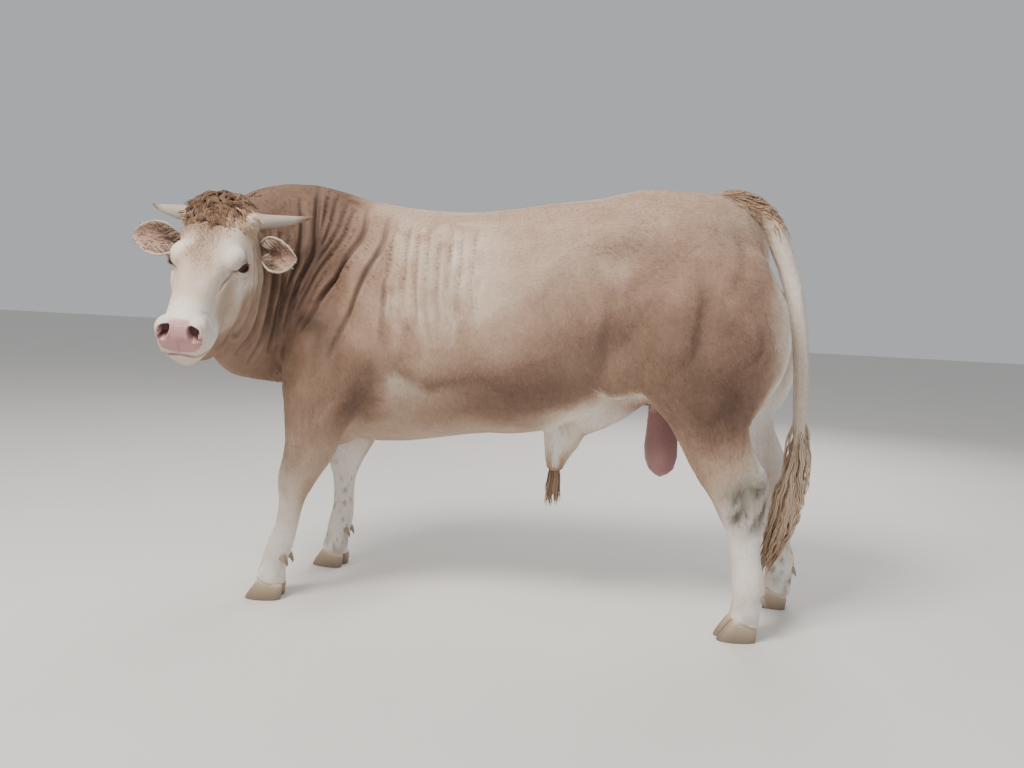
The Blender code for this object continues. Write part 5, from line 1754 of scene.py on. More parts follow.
class Carrier:
    """A surface that carries hair, with what each tuft takes from it."""

    def __init__(self, obj: Object, markings: Markings, unwrap_triangles: int = 16000) -> None:
        """Reads the surface.

        Args:
            obj: mesh of triangles with its markings on it.
            markings: what gives the lie and length of the hair.
            unwrap_triangles: faces of the lighter copy that is unwrapped.
        """
        self.points, self.normals, self.faces = points_of(obj), normals_of(obj), triangles_of(obj)
        self.values = {name: get_attribute(obj, name) for name in (*HAIR_DATA, "bare")}
        self.values["length"] = markings.length(self.points)
        self.lie = markings.lie(self.points, self.normals)
        corners = self.points[self.faces]
        self.area = (
            0.5
            * np.linalg.norm(np.cross(corners[:, 1] - corners[:, 0], corners[:, 2] - corners[:, 0]), axis=1)
        )
        self.tree = BVHTree.FromPolygons(self.points.tolist(), self.faces.tolist())
        self.unwrap(obj, unwrap_triangles)

    def unwrap(self, obj: Object, count: int) -> None:
        """Unwraps a lighter copy, so that every tuft has its own place on the skin's map.

        Args:
            obj: the surface.
            count: faces of the copy.
        """
        copy = obj.copy()
        copy.data = obj.data.copy()
        bpy.context.scene.collection.objects.link(copy)
        if len(self.faces) > count:
            modifier = copy.modifiers.new("lighten", "DECIMATE")
            modifier.ratio = count / len(self.faces)
            modifier.use_collapse_triangulate = True
            apply_modifiers(copy)
        make_active(copy)
        bpy.ops.object.mode_set(mode="EDIT")
        bpy.ops.mesh.select_all(action="SELECT")
        bpy.ops.uv.smart_project(angle_limit=math.radians(66), island_margin=0.004)
        bpy.ops.object.mode_set(mode="OBJECT")
        flat = np.empty(len(copy.data.loops) * 2, np.float32)
        copy.data.uv_layers.active.data.foreach_get("uv", flat)
        self.map_faces = triangles_of(copy)
        self.map_points = points_of(copy)
        self.map_uv = flat.reshape(-1, 3, 2).astype(float)
        self.map_tree = BVHTree.FromPolygons(self.map_points.tolist(), self.map_faces.tolist())
        bpy.data.objects.remove(copy)

    def on_map(self, places: Array) -> Array:
        """The places' own spots on the skin's unwrap.

        Args:
            places: one row for each place on the surface.

        Returns:
            One spot for each place.
        """
        found = np.array([self.map_tree.find_nearest(Vector(p))[2] for p in places])
        corners = self.map_points[self.map_faces[found]]
        edge0, edge1 = corners[:, 1] - corners[:, 0], corners[:, 2] - corners[:, 0]
        off = places - corners[:, 0]
        d00, d01, d11 = (edge0 * edge0).sum(1), (edge0 * edge1).sum(1), (edge1 * edge1).sum(1)
        d20, d21 = (off * edge0).sum(1), (off * edge1).sum(1)
        under = np.maximum(d00 * d11 - d01 * d01, 1e-16)
        v, w = np.clip((d11 * d20 - d01 * d21) / under, 0, 1), np.clip((d00 * d21 - d01 * d20) / under, 0, 1)
        over = np.maximum(v + w, 1)
        v, w = v / over, w / over
        uv = self.map_uv[found]
        return uv[:, 0] * (1 - v - w)[:, None] + uv[:, 1] * v[:, None] + uv[:, 2] * w[:, None]

    def sow(self, weights: Array, count: int, rng: np.random.Generator) -> dict[str, Array]:
        """Roots spread over the surface.

        Args:
            weights: how dense the hair is at each vertex.
            count: number of roots.
            rng: the seeded draw.

        Returns:
            For each root its place, normal, lie and the surface's own values.
        """
        density = self.area * weights[self.faces].mean(axis=1)
        heap = np.cumsum(density)
        draws = (np.arange(count) + rng.random(count)) / count * heap[-1]
        face = np.searchsorted(heap, draws).clip(0, len(self.faces) - 1)
        first, second = np.sqrt(rng.random(count)), rng.random(count)
        shares = np.stack([1 - first, first * (1 - second), first * second], axis=1)
        corners = self.faces[face]
        roots: dict[str, Array] = {
            "place": (self.points[corners] * shares[:, :, None]).sum(1),
            "normal": unit((self.normals[corners] * shares[:, :, None]).sum(1)),
            "lie": (self.lie[corners] * shares[:, :, None]).sum(1),
        }
        roots["lie"] = unit(
            roots["lie"] - roots["normal"] * (roots["lie"] * roots["normal"]).sum(1, keepdims=True)
        )
        for name, values in self.values.items():
            roots[name] = (values[corners] * shares).sum(1)
        return roots

    def settle(self, places: Array) -> tuple[Array, Array, Array]:
        """The surface nearest to some places.

        Args:
            places: one row for each place.

        Returns:
            The nearest spots, the normals there and how deep in a fold they lie.
        """
        hits = [self.tree.find_nearest(Vector(p)) for p in places]
        found = np.array([hit[2] for hit in hits])
        fold = self.values["fold"][self.faces[found]].mean(axis=1)
        return np.array([hit[0] for hit in hits]), np.array([hit[1] for hit in hits]), fold


def put_hair_data(obj: Object, per_vertex: dict[str, Array], spots: Array) -> None:
    """Gives a hair mesh its attributes and its map.

    Args:
        obj: the hair mesh, of triangles.
        per_vertex: attribute values by name.
        spots: the place of each vertex on the skin's unwrap.
    """
    for name, values in per_vertex.items():
        put_attribute(obj, name, values)
    layer = obj.data.uv_layers.new(name="OFBake")
    corners = triangles_of(obj).ravel()
    layer.data.foreach_set("uv", np.ascontiguousarray(spots[corners], np.float32).ravel())


@dataclass
class ShortCoat:
    """Short flat hair as thin closed tufts that lie along the skin, each with its root in the skin."""

    carrier: Carrier
    rng: np.random.Generator
    limit: int = 32000
    fold_limit: float = 0.16

    def grow(
        self, name: str, weights: Array, count: int, width: float = 0.0038, lift: float = 0.0008
    ) -> list[Object]:
        """Grows tufts over a part of the surface, in pieces of their own.

        Args:
            name: what the pieces are called.
            weights: density at each vertex.
            count: number of tufts.
            width: greatest width of a tuft.
            lift: how far a tuft's tip stands off the skin.

        Returns:
            The pieces.
        """
        pieces = []
        roots = self.carrier.sow(weights, count, self.rng)
        parts = math.ceil(count / self.limit)
        order = np.argsort(roots["place"][:, 0], kind="stable")
        for number, members in enumerate(np.array_split(order, parts), 1):
            part = {key: values[members] for key, values in roots.items()}
            title = name if parts == 1 else f"{name}_{number}"
            pieces.append(self.tufts(title, part, width, lift))
        return pieces

    def tufts(self, name: str, roots: dict[str, Array], width: float, lift: float) -> Object:
        """One mesh of tufts, each of five vertices and six faces.

        Args:
            name: name of the piece.
            roots: what sow gave.
            width: greatest width of a tuft.
            lift: how far a tip stands off the skin.

        Returns:
            The piece.
        """
        rng, count = self.rng, len(roots["place"])
        place, normal, lie = roots["place"], roots["normal"], roots["lie"]
        across = np.cross(normal, lie)
        yaw = rng.normal(0, 0.16, count)[:, None]
        lie = unit(lie * np.cos(yaw) + across * np.sin(yaw))
        across = np.cross(normal, lie)
        length = (roots["length"] * rng.uniform(0.75, 1.25, count))[:, None]
        wide = (width * (0.55 + 0.45 * roots["length"] / 0.021) * rng.uniform(0.7, 1.2, count))[:, None]
        middle, middle_normal, middle_fold = self.carrier.settle(place + lie * length * 0.42)
        tip, tip_normal, tip_fold = self.carrier.settle(place + lie * length)
        raised = lift * np.where(rng.random((count, 1)) < 0.06, 1.7, rng.uniform(0.3, 1.1, (count, 1)))
        raised = raised * np.clip(length / 0.018, 0.3, 1.3)
        tip = tip + tip_normal * (raised + 0.0004)
        thick = 0.0009 + 0.35 * raised
        top = middle + middle_normal * (thick + 0.0003)
        root = place - normal * 0.0014
        left = middle - across * wide / 2 - middle_normal * 0.0003
        right = middle + across * wide / 2 - middle_normal * 0.0003
        kept = np.maximum(middle_fold, tip_fold) < self.fold_limit
        points = np.stack([root, left, right, top, tip], axis=1)[kept].reshape(-1, 3)
        pattern = np.array([(0, 3, 2), (0, 1, 3), (0, 2, 1), (4, 2, 3), (4, 3, 1), (4, 1, 2)])
        faces = (np.arange(kept.sum())[:, None, None] * 5 + pattern[None]).reshape(-1, 3)
        obj = from_arrays(name, points, faces)
        shade = rng.normal(0, 1, kept.sum())
        values = {key: np.repeat(roots[key][kept], 5) for key in HAIR_DATA}
        values["shade"] = (shade[:, None] * 0.6 + np.array([-0.5, -0.05, -0.05, 0.15, 0.45])[None]).ravel()
        edges = [unit(middle_normal - 0.42 * across), unit(middle_normal + 0.42 * across)]
        ends = [unit(middle_normal + 0.04 * lie), unit(tip_normal + 0.10 * lie)]
        soft = np.stack([normal, *edges, *ends], axis=1)[kept].reshape(-1, 3)
        spot = self.carrier.on_map(place[kept])
        patch = np.array([(0, -0.0015), (-0.0015, 0), (0.0015, 0), (0, 0.0004), (0, 0.0015)])
        spots = (spot[:, None] + patch[None]).reshape(-1, 2)
        put_hair_data(obj, values, spots)
        obj.data.normals_split_custom_set_from_vertices(soft.astype(np.float32))
        return obj


@dataclass
class LockSet:
    """Rows of longer locks before they become a mesh."""

    paths: list[Array] = field(default_factory=list)
    across: list[Vec3] = field(default_factory=list)
    width: list[float] = field(default_factory=list)
    thick: list[float] = field(default_factory=list)
    values: list[dict[str, float]] = field(default_factory=list)

    def add(self, path: Array, across: Sequence[float], width: float, thick: float, **values: float) -> None:
        """Keeps one lock.

        Args:
            path: the lock's line from root to tip.
            across: the direction across it.
            width: its greatest width.
            thick: its greatest thickness.
            values: what it carries.
        """
        self.paths.append(path)
        self.across.append(tuple(across))
        self.width.append(width)
        self.thick.append(thick)
        self.values.append(values)

    def add_strands(
        self,
        path: Array,
        across: Array,
        rng: np.random.Generator,
        count: int,
        spread: float,
        width: float,
        **values: float,
    ) -> None:
        """Keeps a lock as strands that part in its middle and gather at its tip.

        Args:
            path: the lock's own line.
            across: the direction across it.
            rng: the seeded draw.
            count: number of strands.
            spread: width of the whole lock.
            width: width of one strand.
            values: what the strands carry.
        """
        t = np.linspace(0, 1, len(path))[:, None]
        ahead = unit(np.gradient(path, axis=0))
        side = unit(across - ahead * (ahead @ np.asarray(across))[:, None])
        out = np.cross(ahead, side)
        gather = 0.55 + 0.45 * np.sin(math.pi * t**0.8) - 0.40 * t
        start = rng.uniform(0, 2 * math.pi)
        for k in range(count):
            angle = start + 2 * math.pi * k / count
            off = side * math.cos(angle) + out * 0.6 * math.sin(angle)
            line = path + off * gather * spread * rng.uniform(0.25, 0.5)
            line = line + side * rng.normal(0, 0.16) * spread * t**2
            line = line + side * 0.09 * spread * np.sin(rng.uniform(0, 6.28) + 9.5 * t) * t
            own = dict(values, shade=values.get("shade", 0.0) + rng.normal(0, 0.45))
            self.add(line, across, width * rng.uniform(0.8, 1.25), 0.55 * width, **own)

    def build(self, name: str, carrier: Carrier, fullness: Callable[[Array], Array] | None = None) -> Object:
        """Makes the mesh: flat closed locks of a lens-shaped section that taper to a tip.

        Args:
            name: what the piece is called.
            carrier: the surface that the locks grow on, for their places on its unwrap.
            fullness: width along a lock, as a share of its greatest, from root 0 to tip 1.

        Returns:
            The piece.
        """
        paths = np.array(self.paths)
        count, steps, _ = paths.shape
        share = np.linspace(0, 1, steps)
        full = fullness(share) if fullness else 0.65 + 0.9 * share * (share < 0.39) + 0.35 * (share >= 0.39)
        full = full * (1 - 0.75 * np.clip((share - 0.45) / 0.55, 0, 1) ** 1.5)
        ahead = unit(np.gradient(paths, axis=1))
        side = np.array(self.across)[:, None]
        side = unit(side - ahead * (side * ahead).sum(-1, keepdims=True))
        out = np.cross(ahead, side)
        half_wide = (np.array(self.width)[:, None] * full[None] / 2)[..., None]
        half_thick = (np.array(self.thick)[:, None] * full[None] / 2)[..., None]
        rings = np.stack(
            [
                paths - side * half_wide, paths + out * half_thick, paths + side * half_wide,
                paths - out * half_thick
            ], axis=2
        )[:, :-1]
        per = 4 * (steps - 1) + 1
        points = np.concatenate([rings.reshape(count, -1, 3), paths[:, -1:]], axis=1).reshape(-1, 3)
        pattern = [(0, 1, 2), (0, 2, 3)]
        for ring in range(steps - 2):
            for i in range(4):
                j = (i + 1) % 4
                p, q, low, high = 4 * ring + i, 4 * ring + j, 4 * ring + 4 + i, 4 * ring + 4 + j
                pattern += [(p, low, high), (p, high, q)]
        pattern += [(4 * (steps - 2) + i, per - 1, 4 * (steps - 2) + (i + 1) % 4) for i in range(4)]
        faces = (np.arange(count)[:, None, None] * per + np.array(pattern)[None]).reshape(-1, 3)
        obj = from_arrays(name, points, faces)
        along = np.concatenate([np.repeat(share[:-1], 4), [1.0]])
        values = {
            key: np.repeat([own.get(key, 0.0) for own in self.values], per) for key in (*HAIR_DATA, "shade")
        }
        values["along"] = np.tile(along, count)
        spot = carrier.on_map(paths[:, 0])
        sides = np.concatenate([np.tile([-0.0015, 0.0, 0.0015, 0.0], steps - 1), [0.0]])
        patch = np.stack([sides, 0.003 * along - 0.0015], axis=1)
        put_hair_data(obj, values, (spot[:, None] + patch[None]).reshape(-1, 2))
        return obj


@dataclass
class LongHair:
    """The bull's long hair: poll, forehead, tail head, switch and sheath."""

    carrier: Carrier
    rng: np.random.Generator
    switch_locks: int = 170
    poll_curls: int = 300
    poll_locks: int = 290
    forehead_curls: int = 1150
    tail_head_locks: int = 460
    sheath_locks: int = 60

    def waved(
        self,
        roots: dict[str, Array],
        i: int,
        heading: Array,
        reach: float,
        rise: float,
        wave: float,
        steps: int = 10,
    ) -> tuple[Array, Array]:
        """The path of one wavy lock that rises from the skin and lies down again.

        Args:
            roots: places and normals of all roots.
            i: which root.
            heading: where the lock leads.
            reach: length over the skin.
            rise: height at its middle.
            wave: how far it swings from side to side.
            steps: points of its path.

        Returns:
            The path, and the direction across it.
        """
        t = np.linspace(0, 1, steps)[:, None]
        normal = roots["normal"][i]
        heading = unit(heading - normal * (heading @ normal))
        across = np.cross(normal, heading)
        phase, pace = self.rng.uniform(0, 2 * math.pi), self.rng.uniform(1.0, 1.7)
        swing = np.sin(phase + 2 * math.pi * pace * t) - math.sin(phase)
        path = roots["place"][i] - normal * 0.003 + heading * reach * t
        path = path + normal * (rise * np.sin(math.pi * t**0.7) + 0.003 - 0.004 * t)
        heave = normal * 0.5 * wave * np.cos(phase + 2 * math.pi * pace * t) * t
        path = path + across * wave * swing * np.minimum(1, 3 * t) + heave
        return path, across

    def poll(self) -> Object:
        """Tousled hair between the horns: a close under layer, and locks that fall over it.

        Returns:
            The piece.
        """
        local = STANCE.to_head(self.carrier.points)
        reach = np.hypot((local[:, 0] - 0.020) / 0.090, local[:, 1] / 0.090)
        weights = (
            smoothstep(1.08, 0.80, reach)
            * smoothstep(-0.085, -0.050, local[:, 2])
            * (np.linalg.norm(local, axis=1) < 0.17)
        )
        locks = LockSet()
        turn = STANCE.turn()
        for count, size, lift in ((self.poll_curls, 0.6, 0.012), (self.poll_locks, 1.0, 0.022)):
            roots = self.carrier.sow(
                weights * (1.0 if size < 1 else smoothstep(1.0, 0.55, reach)), count, self.rng
            )
            places = STANCE.to_head(roots["place"])
            for i in range(count):
                f, a, _ = places[i]
                cream = float(smoothstep(0.005, 0.075, a + 0.25 * (f - 0.02)))
                calm = 1 - 0.6 * cream
                away = np.array((0.9 * (f + 0.012) / 0.06 + 0.35, 1.1 * a / 0.06, 0.0))
                heading = turn @ (away + self.rng.normal(0, 0.55 * calm, 3) * (1, 1, 0))
                long = self.rng.uniform(0.048, 0.074) * size * (1 - 0.35 * smoothstep(0.03, 0.10, f))
                hill = max(0.25, 1 - (f / 0.13) ** 2 - (a / 0.11) ** 2) * calm
                path, across = self.waved(
                    roots, i, heading, long, lift * hill, self.rng.uniform(0.0045, 0.0085) * size * calm
                )
                tone = (0.78 - 0.42 * cream) + self.rng.uniform(-0.13, 0.10)
                strands, spread = (6, 0.0135) if size == 1.0 else (3, 0.0085)
                shade = self.rng.normal(0, 0.7)
                locks.add_strands(path, across, self.rng, strands, spread, 0.0026, tone=tone, shade=shade)
        return locks.build("coat_poll", self.carrier)

    def forehead(self) -> Object:
        """Smaller curls down the forehead.

        Returns:
            The piece.
        """
        local = STANCE.to_head(self.carrier.points)
        head = STANCE.head_share(self.carrier.points)
        middle = np.interp(local[:, 0], (0.05, 0.12, 0.22, 0.33), (-0.020, -0.030, -0.018, 0.0))
        half = np.interp(local[:, 0], (0.05, 0.12, 0.22, 0.33), (0.085, 0.075, 0.042, 0.022))
        weights = smoothstep(1.20, 0.60, np.abs(local[:, 1] - middle) / half) * head
        weights = weights * smoothstep(0.045, 0.080, local[:, 0]) * smoothstep(0.34, 0.20, local[:, 0])
        weights = (
            weights
            * smoothstep(-0.045, -0.020, local[:, 2])
            * (1 - np.clip(self.carrier.values["bare"], 0, 1))
        )
        roots = self.carrier.sow(weights, self.forehead_curls, self.rng)
        places = STANCE.to_head(roots["place"])
        locks = LockSet()
        for i in range(self.forehead_curls):
            down = float(np.clip((places[i, 0] - 0.06) / 0.22, 0, 1))
            size = self.rng.uniform(0.8, 1.2) * (1.0 - 0.5 * down)
            heading = roots["lie"][i] + self.rng.normal(0, 0.28 - 0.12 * down, 3)
            path, across = self.waved(roots, i, heading, 0.028 * size, 0.0034 * size, 0.0026 * size, 7)
            tone = float(roots["tone"][i]) + self.rng.uniform(-0.04, 0.06)
            locks.add(
                path, across, self.rng.uniform(0.0030, 0.0046), 0.0014, tone=tone,
                shade=self.rng.normal(0, 0.6)
            )
        return locks.build("coat_forehead", self.carrier)

    def tail_head(self) -> Object:
        """The orange-brown tuft over the root of the tail.

        Returns:
            The piece.
        """
        points = self.carrier.points
        weights = smoothstep(0.060, 0.030, np.abs(points[:, 1])) * smoothstep(0.70, 0.80, points[:, 0])
        weights = weights * smoothstep(1.40, 1.45, points[:, 2]) * (self.carrier.normals[:, 2] > 0.1)
        roots = self.carrier.sow(weights, self.tail_head_locks, self.rng)
        locks = LockSet()
        for i in range(self.tail_head_locks):
            t = np.linspace(0, 1, 6)[:, None]
            normal, lie = roots["normal"][i], roots["lie"][i]
            across = np.cross(normal, lie)
            reach = self.rng.uniform(0.030, 0.052)
            path = roots["place"][i] - normal * 0.002 + lie * reach * t + normal * 0.0065 * np.sin(2.1 * t)
            path = path + across * self.rng.uniform(-0.008, 0.008) * t**2
            tone = 0.50 + self.rng.uniform(-0.07, 0.07)
            locks.add(
                path, across, self.rng.uniform(0.0034, 0.0052), 0.0018, tone=tone,
                shade=self.rng.normal(0, 0.5)
            )
        return locks.build("coat_tail_head", self.carrier)

    def switch(self) -> Object:
        """The long wavy hair at the end of the tail.

        Returns:
            The piece.
        """
        rng = self.rng
        rows = np.array([
            (0.82, 1.068, 0.026, 0.024),
            (0.72, 1.071, 0.038, 0.034),
            (0.60, 1.071, 0.060, 0.050),
            (0.48, 1.061, 0.070, 0.056),
            (0.38, 1.046, 0.066, 0.050),
            (0.28, 1.014, 0.052, 0.038),
            (0.20, 0.986, 0.034, 0.024),
            (0.14, 0.972, 0.020, 0.014),
        ])[::-1]
        locks = LockSet()
        steps = 15
        t = np.linspace(0, 1, steps)
        for i in range(self.switch_locks):
            share = i / (self.switch_locks - 1)
            turn = GOLDEN_TURN * i
            root = 0.800 - 0.400 * share**0.8
            length = min(rng.uniform(0.20, 0.30), root - rng.uniform(0.160, 0.215))
            z = root - length * t
            depth = rng.uniform(0.35, 1.0)
            spread = 0.20 + (0.86 * depth - 0.20) * np.minimum(1.0, 2.4 * t) ** 0.8
            swing = turn + rng.uniform(-0.5, 0.9) * t
            middle, wide, deep = (np.interp(z, rows[:, 0], rows[:, k]) for k in (1, 2, 3))
            wave = rng.uniform(0, 2 * math.pi)
            ripple = rng.uniform(0.003, 0.0065) * np.sin(wave + t * length / 0.012) * np.minimum(1, 3 * t)
            x = middle + spread * wide * np.cos(swing) - ripple * np.sin(swing)
            y = spread * deep * np.sin(swing) + ripple * np.cos(swing)
            x = x + 0.4 * ripple * np.cos(swing)
            tone = 0.27 + rng.uniform(-0.08, 0.08) + 0.08 * share
            across = np.array((-math.sin(turn), math.cos(turn), 0.1))
            shade = rng.normal(0, 0.6)
            locks.add_strands(
                np.stack([x, y, z], axis=1), across, rng, 4, 0.014, 0.0046, tone=tone, shade=shade
            )
        obj = locks.build("coat_switch", self.carrier)
        put_attribute(obj, "tone", get_attribute(obj, "tone") + 0.18 * get_attribute(obj, "along") ** 2)
        return obj

    def sheath(self) -> Object:
        """The tuft that hangs from the sheath.

        Returns:
            The piece.
        """
        rng = self.rng
        locks = LockSet()
        t = np.linspace(0, 1, 9)[:, None]
        for i in range(self.sheath_locks):
            turn = GOLDEN_TURN * i
            out = np.array((math.cos(turn), math.sin(turn), 0.0))
            length = rng.uniform(0.085, 0.160)
            off = 0.014 * math.sqrt((i + 0.5) / self.sheath_locks)
            path = np.array((0.221, 0.0, 0.512)) + out * off + np.array((-0.03, 0.0, -1.0)) * length * t
            path = (
                path
                + out * 0.013 * np.sin(2.3 * t)
                + np.array((1.0, 0.4, 0)) * 0.004 * np.sin(turn + 9 * t) * t
            )
            width, tone, shade = rng.uniform(0.006, 0.010), rng.uniform(0.50, 0.78), rng.normal(0, 1)
            locks.add(path, np.cross(out, (0, 0, 1.0)), width, 0.003, tone=tone, shade=shade, soil=0.2)
        return locks.build("coat_sheath", self.carrier)


@dataclass
class Ear:
    """A leaf-shaped ear with a deep cup, thin hairy walls and long hairs across its mouth."""

    name: str
    side: int
    reach: Vec3
    opening: Vec3
    low: float
    length: float = 0.215
    width: float = 0.058
    wall: float = 0.0075
    hairs: int = 150
    inner_hairs: int = 240

    def axes(self) -> tuple[Array, Array, Array, Array]:
        """The ear's own frame in the body's.

        Returns:
            Its base, and its reach, opening and width directions.
        """
        along = unit(np.array(self.reach))
        face = np.array(self.opening)
        face = unit(face - along * (face @ along))
        across = np.cross(along, face)
        base = np.array((0.062, self.side * 0.102, self.low))
        frame = np.array(STANCE.head())
        rotate = frame[:3, :3]
        return rotate @ base + frame[:3, 3], rotate @ along, rotate @ face, rotate @ across

    def centre(self, share: float) -> Array:
        """The middle of the ear's back at a share of its length."""
        base, along, face, _ = self.axes()
        return base + along * self.length * share + face * (0.018 * math.sin(math.pi * share) - 0.012 * share)

    def build(self) -> Object:
        """Models the ear as a loft of cup-shaped rings and rounds it.

        Returns:
            The ear.
        """
        _, _, face, across = self.axes()
        rows = np.array([
            (0.00, 0.020, 0.000, 0.020),
            (0.14, 0.024, 0.004, 0.018),
            (0.25, 0.036, 0.020, 0.011),
            (0.40, 0.054, 0.030, self.wall),
            (0.58, self.width, 0.028, self.wall),
            (0.76, 0.050, 0.019, 0.006),
            (0.90, 0.030, 0.009, 0.005),
            (1.00, 0.007, 0.001, 0.004),
        ])
        shares = np.linspace(0, 1, 26)
        steps = np.linspace(-1, 1, 17)
        rings, tone, pink = [], [], []
        for share, (half, deep, wall) in zip(shares, spline(rows[:, 0], rows[:, 1:], shares)):
            centre = self.centre(share)
            ring = []
            for t in steps:
                ring.append(
                    centre + across * half * t - face * (deep * (1 - t * t) + wall * (1 - 0.7 * t * t))
                )
                tone.append(0.52 - 0.16 * abs(t) ** 6 - 0.08 * share)
                pink.append(0.0)
            for t in steps[::-1]:
                rib = 0.0012 * math.cos(9 * t) * (1 - abs(t)) * min(1.0, 3 * share) * (1 - share)
                ring.append(centre + across * half * t * 0.94 - face * (deep * (1 - t * t) - 0.0012 + rib))
                tone.append(0.68 - 0.34 * abs(t) ** 6 - 0.14 * share)
                pink.append(0.28 * (1 - abs(t) ** 3) * (1 - 0.35 * share))
            rings.append(ring)
        bm = bmesh.new()
        add_loft(bm, rings)
        obj = from_bmesh(bm, self.name)
        put_attribute(obj, "tone", np.array(tone))
        put_attribute(obj, "pink", np.array(pink))
        for name in ("soil", "shade"):
            put_attribute(obj, name, np.zeros(len(tone)))
        deep = np.clip(np.array(pink) / 0.28, 0, 1)
        # Painted shade deep in the cup, towards the ear's root
        put_attribute(obj, "fold", 0.55 * deep * np.repeat(smoothstep(0.75, 0.15, shares), 34))
        put_attribute(obj, "bare", np.clip(deep * 1.5, 0, 1))
        modifier = obj.modifiers.new("round", "SUBSURF")
        modifier.levels = modifier.render_levels = 1
        apply_modifiers(obj)
        obj.modifiers.new("triangles", "TRIANGULATE")
        apply_modifiers(obj)
        smooth_faces(obj)
        return obj

    def long_hairs(self, carrier: Carrier, rng: np.random.Generator) -> Object:
        """Long hairs that cross the cup from its front rim and from its root.

        Args:
            carrier: the surface that the hair grows on.
            rng: the seeded draw.

        Returns:
            The piece.
        """
        _, along, face, across = self.axes()
        locks = LockSet()
        t = np.linspace(0, 1, 7)[:, None]
        for i in range(self.hairs):
            share = 0.16 + 0.62 * (i + rng.random()) / self.hairs
            edge = rng.choice((-1, 1), p=(0.5, 0.5))
            half = float(
                np.interp(
                    share, (0.14, 0.25, 0.40, 0.58, 0.76, 0.9), (0.024, 0.036, 0.054, 0.058, 0.050, 0.03)
                )
            )
            root = self.centre(share) + across * half * edge * 0.90 - face * 0.004
            length = rng.uniform(0.020, 0.038) * (0.75 + 0.45 * (share < 0.5))
            heading = unit(
                -across * edge * rng.uniform(0.25, 0.8) + along * rng.uniform(0.7, 1.2)
                + face * rng.uniform(0.0, 0.22)
            )
            path = root + heading * length * t - face * 0.014 * t**2 + along * 0.010 * t**2
            tone = rng.uniform(0.60, 0.85) if rng.random() < 0.45 else rng.uniform(0.20, 0.42)
            locks.add_strands(path, face, rng, 2, 0.0036, 0.0016, tone=tone, shade=rng.normal(0, 0.6))
        inside = smoothstep(0.15, 0.6, carrier.values["bare"])
        roots = carrier.sow(inside, self.inner_hairs, rng)
        for i in range(self.inner_hairs):
            normal, lie = roots["normal"][i], roots["lie"][i]
            heading = unit(lie + rng.normal(0, 0.30, 3) + normal * rng.uniform(0.12, 0.40))
            short = 1 - 0.5 * np.clip((roots["place"][i] - self.axes()[0]) @ along / self.length, 0, 1)
            path = (
                roots["place"][i]
                - normal * 0.001
                + heading * rng.uniform(0.020, 0.036) * short * t
                - normal * 0.005 * t**2
            )
            tone = rng.uniform(0.62, 0.90) if rng.random() < 0.65 else rng.uniform(0.25, 0.45)
            locks.add(path, np.cross(normal, heading), 0.0023, 0.0010, tone=tone, shade=rng.normal(0, 0.6))
        return locks.build(f"coat_{self.name}_hairs", carrier)


@dataclass
class EarMarkings(Markings):
    """How the hair lies on an ear: from its root to its tip."""

    ear: Ear

    def lie(self, points: Array, normals: Array) -> Array:
        """Along the ear, spreading to its rim.

        Args:
            points: one row for each place.
            normals: the surface's normals there.

        Returns:
            Directions of length 1.
        """
        base, along, _, across = self.ear.axes()
        spread = (points - base) @ across
        lie = along[None] + across[None] * (spread / 0.12)[:, None]
        return unit(lie - normals * np.sum(lie * normals, axis=1, keepdims=True))

    def length(self, points: Array) -> Array:
        """Short on the back, longer at the rim."""
        base, _, _, across = self.ear.axes()
        return 0.010 + 0.008 * np.clip(np.abs((points - base) @ across) / 0.058, 0, 1) ** 3


